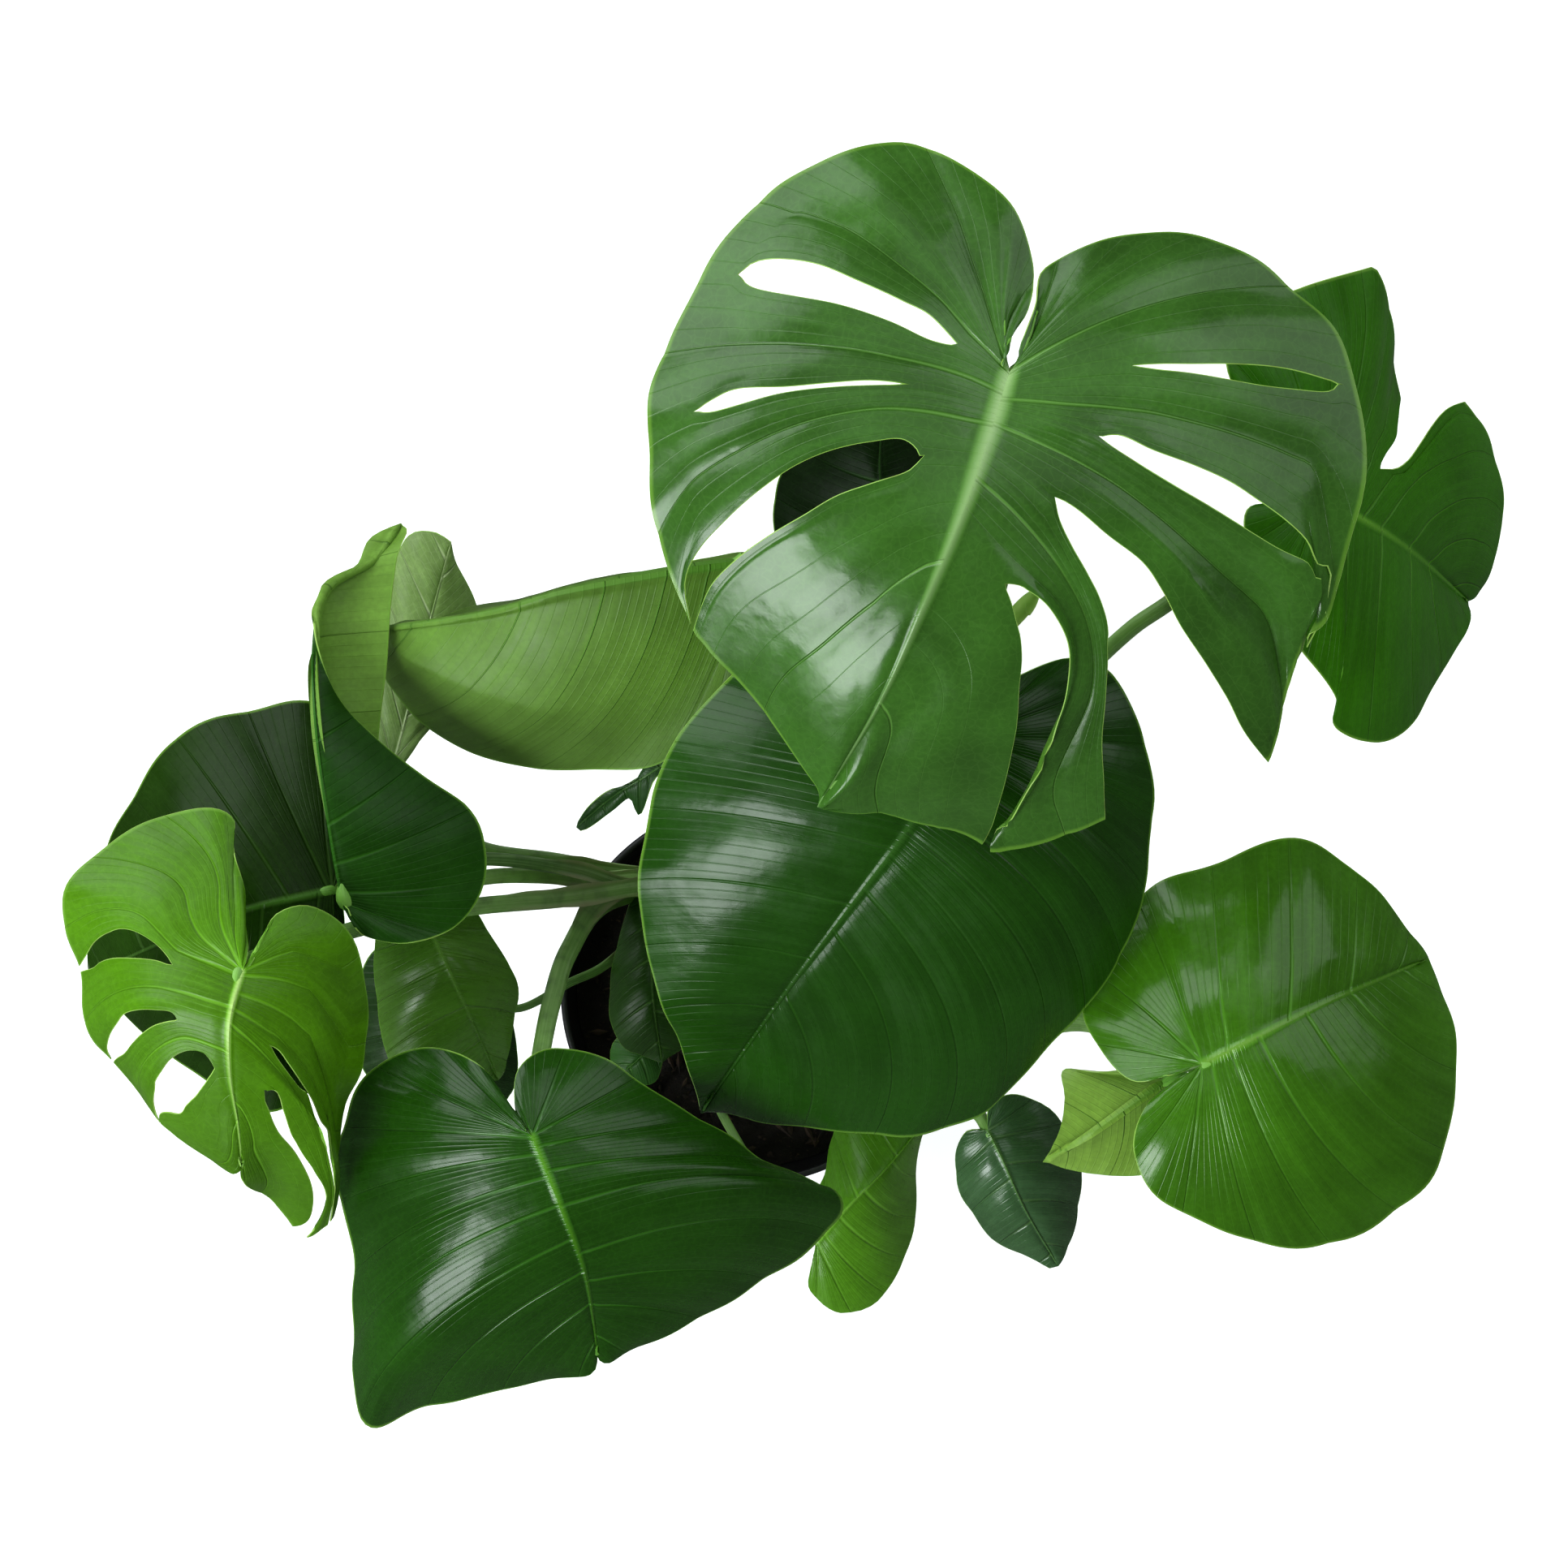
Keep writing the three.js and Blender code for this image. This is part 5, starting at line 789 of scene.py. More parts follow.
            [-166, -82, 282], [-182, -78, 278], [-199, -80, 274], [-208, -94, 270, 0.1, 0.03],
            [-210, -114, 264, 0.3, 0.05], [-208, -138, 256, 0.5, 0.06], [-198, -150, 250, 0.7, 0.06],
            [-184, -161, 247, 0.88, 0.03]
        ],
        "petiole": {"stem": "left", "start": 174, "radius": (2.8, 1.7), "tone": 0.35,
                    "path": [[-84, -86, 206], [-106, -98, 228], [-132, -111, 252], [-150, -100, 270]]},
    },
    # the round leaf below the top leaf, its near-black colour partly its own dark green and partly painted
    # shade from the top leaf
    "under": {
        "upper": (16, 34, 8), "vein": (40, 70, 26), "rib": (50, 80, 36), "under": (75, 120, 46),
        "gloss": 0.36, "veinGap": 28, "quilt": 0.04, "wave": 1.0, "ribWidth": (5.4, 1.4), "veinShow": 0.3,
        "shine": 0.15, "arch": (0.06, 0.06), "keel": (3, 1),
        "midrib": [[74, 76, 425], [58, 110, 438], [48, 146, 434], [48, 178, 412]],
        "left": [
            [71, 74, 424], [54, 66, 422], [30, 72, 415], [8, 94, 408, 0.06, 0.03],
            [-4, 122, 402, 0.25, 0.05], [-2, 150, 400, 0.5, 0.06], [16, 168, 402, 0.75, 0.04],
            [34, 176, 406, 0.92, 0.02]
        ],
        "right": [
            [77, 74, 424], [90, 70, 420], [102, 80, 412], [106, 106, 404, 0.1, 0.04],
            [104, 134, 400, 0.35, 0.06], [90, 158, 400, 0.62, 0.05], [70, 174, 404, 0.85, 0.03]
        ],
        "petiole": {"stem": "back", "start": 225, "radius": (4.2, 3.4), "tone": 0.4,
                    "path": [[46, 2, 325], [64, 46, 390]]},
    },
    # the small leaf that shows its underside at the right
    "pale": {
        "upper": (40, 90, 25), "vein": (80, 140, 50), "rib": (120, 180, 70), "under": (122, 158, 60),
        "gloss": 0.38, "veinGap": 22, "quilt": 0.04, "wave": 0.8, "ribWidth": (2, 0.8),
        "underVein": (104, 146, 54), "arch": (0.05, 0.05), "keel": (2.4, 1), "hangs": True,
        "midrib": [[194, -142, 375], [174, -156, 380], [150, -173, 370], [128, -186, 345]],
        "left": [
            [192, -141, 374], [178, -140, 370], [156, -142, 362, 0.1], [138, -141, 352, 0.3],
            [138, -156, 350, 0.5], [134, -176, 347, 0.8]
        ],
        "right": [
            [196, -146, 374], [199, -162, 368], [194, -180, 360, 0.04, 0.02], [178, -192, 352, 0.16, 0.05],
            [154, -192, 348, 0.45, 0.05], [138, -189, 345, 0.8, 0.02]
        ],
        "petiole": {"stem": "front", "start": 190, "radius": (4.2, 3.4), "tone": 0.6,
                    "path": [[94, -128, 275], [145, -118, 332], [174, -130, 356]]},
    },
    # the small dark leaf at the front right
    "small": {
        "upper": (62, 94, 58), "vein": (80, 114, 64), "rib": (94, 136, 66), "under": (70, 110, 44),
        "gloss": 0.26, "veinGap": 22, "quilt": 0.05, "wave": 0.8, "ribWidth": (3.6, 1.1), "veinShow": 0.5,
        "shine": 0.7, "arch": (0.07, 0.07), "keel": (2.4, 1),
        "midrib": [[100, -170, 302], [108, -186, 304], [119, -210, 292], [135, -237, 264]],
        "left": [
            [100, -167, 301], [101, -160, 300], [108, -154, 298], [118, -154, 293],
            [133, -162, 286, 0.02, 0.03], [143, -178, 280, 0.12, 0.06], [146, -196, 275, 0.3, 0.08],
            [144, -214, 270, 0.55, 0.08], [139, -230, 266, 0.85, 0.04]
        ],
        "right": [
            [98, -170, 301], [95, -170, 300], [89, -172, 297], [85, -180, 292], [85, -190, 287, 0.05, 0.04],
            [88, -202, 282, 0.18, 0.06], [95, -214, 277, 0.38, 0.07], [105, -226, 272, 0.6, 0.06],
            [119, -232, 268, 0.82, 0.03], [131, -238, 264, 0.97]
        ],
        "petiole": {"stem": "front", "start": 175, "radius": (3.4, 2.8), "tone": 0.6,
                    "path": [[62, -152, 246], [93, -161, 291]]},
    },
    # the bright little leaf over the front of the rim
    "bright": {
        "upper": (82, 132, 26), "vein": (110, 164, 52), "rib": (132, 186, 66), "under": (105, 160, 50),
        "gloss": 0.33, "veinGap": 22, "quilt": 0.045, "wave": 0.8, "ribWidth": (3.6, 1), "veinShow": 0.45,
        "arch": (0.07, 0.07), "keel": (2, 1),
        "midrib": [[16, -226, 262], [32, -208, 274], [50, -190, 272], [70, -166, 248]],
        "left": [
            [14, -224, 261], [11, -216, 258], [16, -202, 256], [21, -190, 254, 0.1],
            [23, -176, 252, 0.3, 0.02], [30, -162, 250, 0.55, 0.03], [48, -156, 248, 0.82, 0.02]
        ],
        "right": [
            [16, -229, 261], [13, -238, 256], [13, -250, 250], [28, -260, 244, 0, 0.02],
            [44, -256, 240, 0.03, 0.04], [55, -242, 237, 0.12, 0.06], [62, -224, 236, 0.3, 0.07],
            [65, -202, 238, 0.55, 0.07], [66, -182, 242, 0.8, 0.04]
        ],
        "petiole": {"stem": "left", "start": 173, "radius": (2.6, 2.2), "tone": 0.7,
                    "path": [[-46, -114, 190], [-35, -152, 205], [-24, -174, 218], [-6, -202, 240]]},
    },
    # the small folded leaf in the middle of the pot
    "folded": {
        "upper": (46, 80, 24), "vein": (78, 114, 50), "rib": (92, 130, 54), "under": (70, 108, 42),
        "gloss": 0.34, "veinGap": 20, "quilt": 0.04, "wave": 0.8, "ribWidth": (3, 1), "arch": (0.05, 0.05),
        "keel": (1.8, 1),
        "midrib": [[-68, -56, 214], [-66, -82, 226], [-64, -110, 224], [-60, -137, 204]],
        "left": [
            [-65, -55, 213], [-58, -62, 212], [-50, -79, 212, 0.15, 0.04], [-44, -102, 211, 0.45, 0.05],
            [-47, -126, 205, 0.8, 0.03]
        ],
        "right": [
            [-70, -55, 213], [-76, -59, 212], [-82, -80, 212, 0.15, 0.03], [-86, -106, 211, 0.4, 0.04],
            [-85, -119, 209, 0.55, 0.04], [-79, -130, 206, 0.7, 0.03], [-70, -134, 204, 0.85, 0.02]
        ],
        "petiole": {"stem": "left", "start": 190, "radius": (2.6, 2.4), "tone": 0.4,
                    "path": [[-60, -59, 204]]},
    },
    # the smallest leaf, just above the soil
    "sprout": {
        "upper": (52, 96, 36), "vein": (80, 124, 56), "rib": (100, 146, 66), "under": (80, 120, 55),
        "gloss": 0.4, "veinGap": 12, "quilt": 0.04, "wave": 0.4, "ribWidth": (2, 0.8), "arch": (0.06, 0.06),
        "keel": (1.2, 1),
        "midrib": [[-64, -126, 188], [-70, -134, 192], [-78, -141, 186]],
        "left": [
            [-62, -127, 188], [-60, -136, 186], [-63, -146, 183, 0.3, 0.05], [-70, -148, 182, 0.7, 0.03]
        ],
        "right": [
            [-66, -124, 188], [-75, -122, 187], [-84, -127, 185, 0.3, 0.05], [-85, -137, 183, 0.7, 0.03]
        ],
        "petiole": {"stem": "left", "start": 164, "radius": (1.8, 1.6), "tone": 0.5,
                    "path": [[-58, -94, 176]]},
    },
    # the small waved leaf between the big ones; the pale grey of its under face is partly its own paler
    # underside and partly painted highlight
    "wavy": {
        "upper": (44, 80, 34), "vein": (70, 104, 54), "rib": (90, 130, 66), "under": (110, 130, 94),
        "gloss": 0.4, "veinGap": 14, "quilt": 0.05, "wave": 0.6, "ribWidth": (2.2, 0.8),
        "arch": (0.03, 0.03), "keel": (1.6, 1),
        "midrib": [[-56, 12, 330], [-68, 4, 326], [-84, -6, 316], [-102, -21, 300]],
        "left": [
            [-55, 9, 329], [-64, 2, 326, 0.15], [-71, -15, 312, 0.3], [-76, -7, 316, 0.42],
            [-86, -14, 311, 0.65], [-98, -22, 301, 0.92]
        ],
        "right": [
            [-58, 13, 330], [-68, 9, 327, 0.15], [-75, 0, 322, 0.35], [-86, -3, 317, 0.5],
            [-95, -10, 309, 0.75], [-101, -18, 302, 0.94]
        ],
        "petiole": {"stem": "back", "start": 200, "radius": (2.4, 2.0), "tone": 0.5,
                    "path": [[-42, -34, 265], [-52, -8, 310]]},
    },
}

leafDefaults = {
    "veinShow": 0.6,  # how much the upper face's veins show
    "patchy": 0.5,  # how much the body colour varies
    "shine": 0.5,  # strength of the highlights
    # both are painted shade: the under face darker towards its margin and the blade darker towards its tip,
    # where they turn from the light
    "outerPaintedShade": 0.0, "tipPaintedShade": 0.0,  # under face darker towards its margin, leaf darker towards its tip
    "sway": 1.3,  # height of the slow waves, mm
    "folds": (),  # along a vein: side (1 left, -1 right), vein, width to the base, width to the tip, mm high
    "bends": (),  # across the veins: side, t, width, mm high, first and last share of the midrib
    "roll": (),  # shift of the left half's middle in x, y and z, mm
    "corners": (),  # rows of the left margin with a sharp turn
    "cuts": {}, "hangs": False,  # a blade that hangs has its stalk come from behind the knuckle
}

bladeMake = {
    "thickness": 0.8, "rimRound": 0.35,  # mm
    "columnStep": 3.3, "crossStep": 2.7, "crossPower": 1.28,  # mesh in mm, finer at the midrib by the power
    "crossCounts": (14, 72),  # fewest and most steps from the midrib to the margin
    "ridge": 0.9, "ridgeWidth": 0.75, "groove": 0.8, "grooveWidth": 2.4,  # mm high, midrib half widths wide
    "rollFade": 60, "ripple": 62, "swayLength": 95,  # mm
    "uneven": 0.6,  # how much the swelling differs from one vein gap to the next
    "knuckleFade": (3, 16),  # mm from the knuckle between which normals turn from the blade's up to their own
}


def leafSurface(leaf):
    # point(side, row, t): straight from the midrib (t = 0) to the margin (t = 1), plus 4t(1-t) times
    # the arch along the blade's up direction and the bow along the blade
    midrib = placeOf(leaf["midrib"])
    ribRun = runOf(midrib)
    stations = ribRun / ribRun[-1]
    finer = 20

    def ribAt(share):  # place on the midrib at a share of its length
        return smoothCurve(midrib, np.interp(share, stations, np.arange(len(stations))))

    halves = {}
    for side in ("left", "right"):
        rows = [[*row, 0, 0][:5] for row in leaf[side]]
        table = np.array([*rows, [*leaf["midrib"][-1], 1, 0]], float)
        margin = placeOf(table[:, :3])
        corners = leaf["corners"] if side == "left" else ()
        last = len(margin) - 1
        fine = smoothCurve(margin, np.linspace(0, last, finer * last + 1), corners)
        halves[side] = {"margin": margin, "starts": table[:, 3], "bows": table[:, 4],
                        "run": runOf(fine)[::finer], "rows": np.arange(len(margin)), "corners": corners,
                        "arch": leaf["arch"][side == "right"], "turn": 1 if side == "left" else -1}
    across = halves["left"]["margin"].mean(0) - halves["right"]["margin"].mean(0)
    up = unit(np.cross(midrib[-1] - midrib[0], across))

    def point(side, row, t):  # the formula above
        half = halves[side]
        start = ribAt(np.interp(row, half["rows"], half["starts"]))
        span = smoothCurve(half["margin"], row, half["corners"]) - start
        reach = np.linalg.norm(span, axis=-1, keepdims=True)
        aside = unit(np.cross(up, span)) * half["turn"]
        hump = (4 * t * (1 - t))[..., None]
        bow = np.interp(row, half["rows"], half["bows"])[..., None]
        result = start + span * t[..., None] + reach * hump * (aside * bow + up * half["arch"])
        if side == "left" and leaf["roll"]:
            rolled = hump * np.clip(reach / mm / bladeMake["rollFade"], 0, 1)
            result = result + np.array(leaf["roll"]) * mm * rolled
        return result

    return {"ribAt": ribAt, "halves": halves, "up": up, "point": point, "length": ribRun[-1]}


def findOnBlade(surface, side, planPoints):
    # row and t of the surface points seen at the plan points: the nearest of a coarse grid over the whole
    # half, then of two finer grids round the one found
    rowCells, tCells, finePoints = 24, 60, 13
    last = len(surface["halves"][side]["rows"]) - 1
    coarse = np.meshgrid(np.linspace(0, last, rowCells * last + 1), np.linspace(0, 1, tCells + 1),
                         indexing="ij")
    seen = planOf(surface["point"](side, *coarse))
    found = []
    for target in planPoints:
        nearest = np.argmin(((seen - target) ** 2).sum(-1))
        row, t = coarse[0].flat[nearest], coarse[1].flat[nearest]
        rowReach, tReach = 1 / rowCells, 1 / tCells
        for _ in range(2):
            nearRows = np.clip(np.linspace(row - rowReach, row + rowReach, finePoints), 0, last)
            nearTs = np.clip(np.linspace(t - tReach, t + tReach, finePoints), 0, 1)
            rows, ts = np.meshgrid(nearRows, nearTs, indexing="ij")
            nearest = np.argmin(((planOf(surface["point"](side, rows, ts)) - target) ** 2).sum(-1))
            row, t = rows.flat[nearest], ts.flat[nearest]
            rowReach, tReach = rowReach * 2 / (finePoints - 1), tReach * 2 / (finePoints - 1)
        found.append((row, t))
    return np.array(found)


def roundedEdge(edge, other, closed):
    # the edge's own part of the smooth curve through both edges, so the cut's inner end is round;
    # at the outer end of a closed hole the curve goes on round to the other edge
    outline = [other[:0:-1], edge]
    if closed:
        outline = [edge[-2:-1], *outline, other[-2:-1]]
    inner = len(other) - 1 + closed
    steps = len(edge) - 1
    finer = 16
    curve = smoothCurve(np.vstack(outline), np.linspace(inner, inner + steps, finer * steps + 1))
    curve[:, 1] = np.maximum.accumulate(curve[:, 1])
    return curve


def cutEdges(surface, leaf, side):
    # each cut as its inner (row, t) and, for both edges, a table of (row, t)
    cuts = []
    for cut in leaf["cuts"].get(side, []):
        base = findOnBlade(surface, side, cut["base"])
        tip = findOnBlade(surface, side, cut["tip"])
        closed = "mouth" not in cut
        if not closed:
            base[-1] = cut["mouth"][0], 1
            tip[-1] = cut["mouth"][1], 1
        cuts.append({"inner": base[0].copy(), "base": roundedEdge(base, tip, closed),
                     "tip": roundedEdge(tip, base, closed)})
    return cuts


def sharedStarts(surface, cuts):
    # shares of the midrib where columns of both halves start, evenly spread over the two margins,
    # with one exactly at every cut that starts away from the knuckle
    shares = np.linspace(0, 1, 401)
    total = np.zeros_like(shares)
    wanted = []
    for side, half in surface["halves"].items():
        first = np.argmax(half["starts"] > 0) - 1
        total += np.interp(shares, half["starts"][first:], half["run"][first:])
        wanted += [np.interp(cut["inner"][0], half["rows"], half["starts"]) for cut in cuts[side]]
    count = max(4, round((total[-1] - total[0]) / mm / (2 * bladeMake["columnStep"])))
    chosen = np.interp(np.linspace(total[0], total[-1], count + 1), total, shares)
    atKnuckle = 0.004
    for start in wanted:
        if start > atKnuckle:
            chosen[1 + np.argmin(abs(chosen[1:-1] - start))] = start
    return np.sort(chosen)


def softened(values, reach=8):
    # moving average that leaves both ends where they are
    padded = np.pad(values, reach, mode="reflect", reflect_type="odd")
    return np.convolve(padded, np.full(2 * reach + 1, 1 / (2 * reach + 1)), "valid")


def halfStrips(surface, side, cuts, starts, ts, veinGap):
    # the half between two cuts is a strip of columns; a column's row at t lies between the tip side edge
    # of the cut before and the base side edge of the cut after, at the column's own share, and away from
    # both cuts it follows softened edges
    half = surface["halves"][side]
    last = len(half["rows"]) - 1
    first = int(np.argmax(half["starts"] > 0)) - 1
    basalCount = max(1, math.ceil(half["run"][first] / mm / bladeMake["columnStep"])) if first > 0 else 0
    basal = np.interp(np.linspace(0, half["run"][first], basalCount + 1)[:-1], half["run"], half["rows"])
    moving = np.interp(starts, half["starts"][first:], half["rows"][first:])
    ribRows = np.r_[basal, moving]
    bounds = [(0.0, np.zeros_like(ts), np.zeros_like(ts))]
    for cut in cuts:
        nearest = ribRows[np.argmin(abs(ribRows - cut["inner"][0]))]
        lead = nearest + (cut["inner"][0] - nearest) * ts / cut["inner"][1]
        edges = [np.where(ts < cut["inner"][1], lead, np.interp(ts, cut[key][:, 1], cut[key][:, 0]))
                 for key in ("base", "tip")]
        bounds.append((nearest, *edges))
    bounds.append((float(last), np.full_like(ts, last), np.full_like(ts, last)))
    bounds.sort(key=lambda bound: bound[0])
    strips = []
    veinStart = 0
    for (low, _, lowTip), (high, highBase, _) in zip(bounds[:-1], bounds[1:]):
        inside = ribRows[(ribRows >= low) & (ribRows <= high)]
        share = ((inside - low) / (high - low))[:, None]
        sharp = lowTip * (1 - share) + highBase * share
        gentle = softened(lowTip) * (1 - share) + softened(highBase) * share
        rows = sharp + (gentle - sharp) * fade(np.minimum(share, 1 - share), 0, 0.2)
        runs = np.interp([low, high], half["rows"], half["run"])
        veins = max(1, round((runs[1] - runs[0]) / mm / veinGap))
        lengthShare = (np.interp(inside, half["rows"], half["run"]) - runs[0]) / (runs[1] - runs[0])
        strips.append((rows, veinStart + veins * lengthShare))
        veinStart += veins
    return strips


def bladeArrays(leaf, surface):
    # all strips as one list of points with what the relief and the skin need
    cuts = {side: cutEdges(surface, leaf, side) for side in ("left", "right")}
    starts = sharedStarts(surface, cuts)
    widest = 0
    for half in surface["halves"].values():
        span = half["margin"] - surface["ribAt"](half["starts"])
        widest = max(widest, np.linalg.norm(span, axis=1).max())
    crossCount = int(np.clip(widest / mm / bladeMake["crossStep"], *bladeMake["crossCounts"]))
    ts = np.linspace(0, 1, crossCount + 1) ** bladeMake["crossPower"]
    strips = []
    triangles = []
    offset = 0
    for side in ("left", "right"):
        half = surface["halves"][side]
        for rows, vein in halfStrips(surface, side, cuts[side], starts, ts, leaf["veinGap"]):
            t = np.broadcast_to(ts, rows.shape)
            points = surface["point"](side, rows, t)
            share = np.interp(rows, half["rows"], half["starts"])
            step = np.linalg.norm(np.gradient(points, axis=0), axis=-1)
            span = smoothCurve(half["margin"], rows, half["corners"]) - surface["ribAt"](share)
            strips.append({
                "point": points, "vein": np.broadcast_to(vein[:, None], rows.shape), "t": t, "share": share,
                "reach": np.linalg.norm(span, axis=-1),
                "cell": step / np.maximum(abs(np.gradient(vein))[:, None], 1e-6),
                "run": np.interp(rows, half["rows"], half["run"]) * half["turn"],
                "turn": np.full(rows.shape, half["turn"]),
            })
            faces = gridTriangles(*rows.shape, offset)
            triangles.append(faces if side == "left" else faces[:, ::-1])
            offset += rows.size
    data = {key: np.concatenate([strip[key].reshape(-1, *strip[key].shape[2:]) for strip in strips])
            for key in strips[0]}
    return data, np.concatenate(triangles)


def ribHalfWidth(leaf, share):
    # half the midrib's width, in metres
    low, high = leaf["ribWidth"]
    return 0.5 * mm * (high + (low - high) * (1 - share) ** 1.7)


def foldsOf(leaf, data):
    # fold along a vein: height * exp(-|vein - its vein| / width), with one width on the side of the leaf's
    # base and one on the side of its tip; bend across the veins: the same over t
    total = np.zeros_like(data["t"])
    fromRib = fade(data["t"], 0.0, 0.35)
    toMargin = 1 - 0.35 * fade(data["t"], 0.7, 1)
    for turn, vein, baseWidth, tipWidth, height in leaf["folds"]:
        width = np.where(data["vein"] < vein, baseWidth, tipWidth)
        tent = np.exp(-abs(data["vein"] - vein) / width)
        total += (data["turn"] == turn) * height * mm * tent * fromRib * toMargin
    blend = 0.1  # share of the midrib over which a bend comes and goes
    for turn, middle, width, height, first, last in leaf["bends"]:
        tent = np.exp(-abs(data["t"] - middle) / width) * fade(data["t"], 0.0, 0.2)
        begun = fade(data["share"], first - blend, first + blend)
        over = fade(data["share"], last - blend, last + blend)
        total += (data["turn"] == turn) * height * mm * tent * (begun * (1 - over))
    return total


def bladeRelief(leaf, data):
    # midrib ridge in its groove + swelling between veins + ripple of the margin + slow sway + folds;
    # the ripple is two sine waves along the margin, the second 0.61 times as long and 0.6 times as high
    ribHalf = ribHalfWidth(leaf, data["share"])
    fromRib = data["t"] * data["reach"]
    body = mm * fade(data["share"], 0.0, 0.03)
    ridge = bladeMake["ridge"] * body * np.exp(-(fromRib / (bladeMake["ridgeWidth"] * ribHalf)) ** 2)
    groove = bladeMake["groove"] * body * np.exp(-(fromRib / (bladeMake["grooveWidth"] * ribHalf)) ** 2)
    cell = np.round(data["vein"]) + 40 * (data["turn"] > 0)  # a number for each gap between two veins
    uneven = 0.95 + bladeMake["uneven"] * np.sin(12.9898 * cell + 1.3)
    swell = uneven * abs(np.sin(math.pi * (data["vein"] - 0.5))) ** 0.8 - 0.55
    quilt = leaf["quilt"] * np.minimum(data["cell"], leaf["veinGap"] * mm) * swell
    quilt = quilt * fade(data["t"], 0.02, 0.3) * (1 - 0.45 * fade(data["t"], 0.75, 1))
    ripple = np.sin(2 * math.pi * data["run"] / (bladeMake["ripple"] * mm))
    ripple = ripple + 0.6 * np.sin(2 * math.pi * data["run"] / (0.61 * bladeMake["ripple"] * mm) + 1.7)
    margin = leaf["wave"] * mm * 0.6 * ripple * data["t"] ** 4
    length = bladeMake["swayLength"] * mm
    sway = waves(data["point"][:, 0], data["point"][:, 1], length) * data["t"] * (1 - 0.7 * data["t"])
    return ridge - groove + quilt + margin + leaf["sway"] * mm * sway + foldsOf(leaf, data)


def weld(points):
    # one number for points that share a place
    closest = 1e-6
    keys = np.round(points / closest).astype(np.int64)
    _, first, number = np.unique(keys, axis=0, return_index=True, return_inverse=True)
    return first, number.reshape(-1)


def bladeNormals(surface, points, triangles):
    # point normals, turned to the blade's up direction at the knuckle, where all the columns meet
    fromKnuckle = np.linalg.norm(points - surface["ribAt"](0.0), axis=1) / mm
    far = fade(fromKnuckle, *bladeMake["knuckleFade"])[:, None]
    return unit(pointNormals(points, triangles) * far + surface["up"] * (1 - far))


def rimOf(points, triangles):
    # edges that only one triangle has, and for each point the sum of the directions away from the blade
    count = len(points)
    edges = np.concatenate([triangles[:, [0, 1]], triangles[:, [1, 2]], triangles[:, [2, 0]]])
    owner = np.tile(np.arange(len(triangles)), 3)
    alone = ~np.isin(edges[:, 0] * count + edges[:, 1], edges[:, 1] * count + edges[:, 0])
    a, b = edges[alone].T
    away = unit(np.cross(points[b] - points[a], faceNormals(points, triangles)[owner[alone]]))
    outward = np.zeros_like(points)
    np.add.at(outward, a, away)
    np.add.at(outward, b, away)
    return a, b, outward


def bladePiece(key, leaf, surface, skins):
    # the surface raised by its relief, thickened by half the thickness up and by that and the keel down,
    # with a third row of points round its rim
    data, corners = bladeArrays(leaf, surface)
    first, number = weld(data["point"])
    triangles = number[corners]
    whole = (triangles != np.roll(triangles, 1, axis=1)).all(axis=1)
    corners, triangles = corners[whole], triangles[whole]
    count = len(first)
    points = data["point"][first]
    normals = bladeNormals(surface, points, triangles)
    relief = np.bincount(number, bladeRelief(leaf, data), count) / np.bincount(number, minlength=count)
    points = points + normals * relief[:, None]
    normals = bladeNormals(surface, points, triangles)

    # keel: depth * exp(-(distance from the midrib / width)^2)
    fromRib = np.full(count, 1.0)
    np.minimum.at(fromRib, number, data["t"] * data["reach"])
    share = data["share"][first]
    depth = (leaf["keel"][0] * (1 - share) + leaf["keel"][1] * share) * mm
    keel = depth * np.exp(-(fromRib / (0.6 * depth + 0.8 * mm)) ** 2)

    a, b, outward = rimOf(points, triangles)
    half = bladeMake["thickness"] * mm / 2
    top = points + normals * half
    bottom = points - normals * (half + keel)[:, None]
    rimNumbers, rimPlace = np.unique(np.stack([a, b], -1), return_inverse=True)
    middle = (top + bottom)[rimNumbers] / 2 + unit(outward[rimNumbers]) * bladeMake["rimRound"] * mm
    middleA, middleB = 2 * count + rimPlace.reshape(-1, 2).T
    sides = np.concatenate([np.stack(corner, -1) for corner in (
        (b, a, middleA), (b, middleA, middleB),
        (middleB, middleA, count + a), (middleB, count + a, count + b))])
    allPoints = np.concatenate([top, bottom, middle])
    allFaces = np.concatenate([triangles, count + triangles[:, ::-1], sides])
    skinNumbers = np.repeat([0, 1, 2], [len(triangles), len(triangles), len(sides)])

    ribNear = data["t"] * data["reach"] / ribHalfWidth(leaf, data["share"])
    blank = np.zeros((len(sides), 3, 2))
    layers = {}
    for layerName, first, second in (
            ("leafPlace", data["vein"], data["t"]), ("ribPlace", ribNear, data["cell"] / mm),
            ("alongPlace", data["share"], data["run"] / mm)):
        layer = np.stack([first, second], -1)[corners]
        layers[layerName] = np.concatenate([layer, layer[:, ::-1], blank])
    name = "blade_" + key
    return makePiece("leaf_" + key, allPoints, allFaces, skins, [name], 38, layers, skinNumbers)


rimGreen = rimSkin()
leaves = {key: {**leafDefaults, **plan} for key, plan in leafPlans.items()}
surfaces = {key: leafSurface(leaf) for key, leaf in leaves.items()}
for key, leaf in leaves.items():
    skins = [leafSkin(key, leaf, "upper"), leafSkin(key, leaf, "under"), rimGreen]
    piece = bladePiece(key, leaf, surfaces[key], skins)
    print("blade", key, len(piece.data.polygons), "triangles")


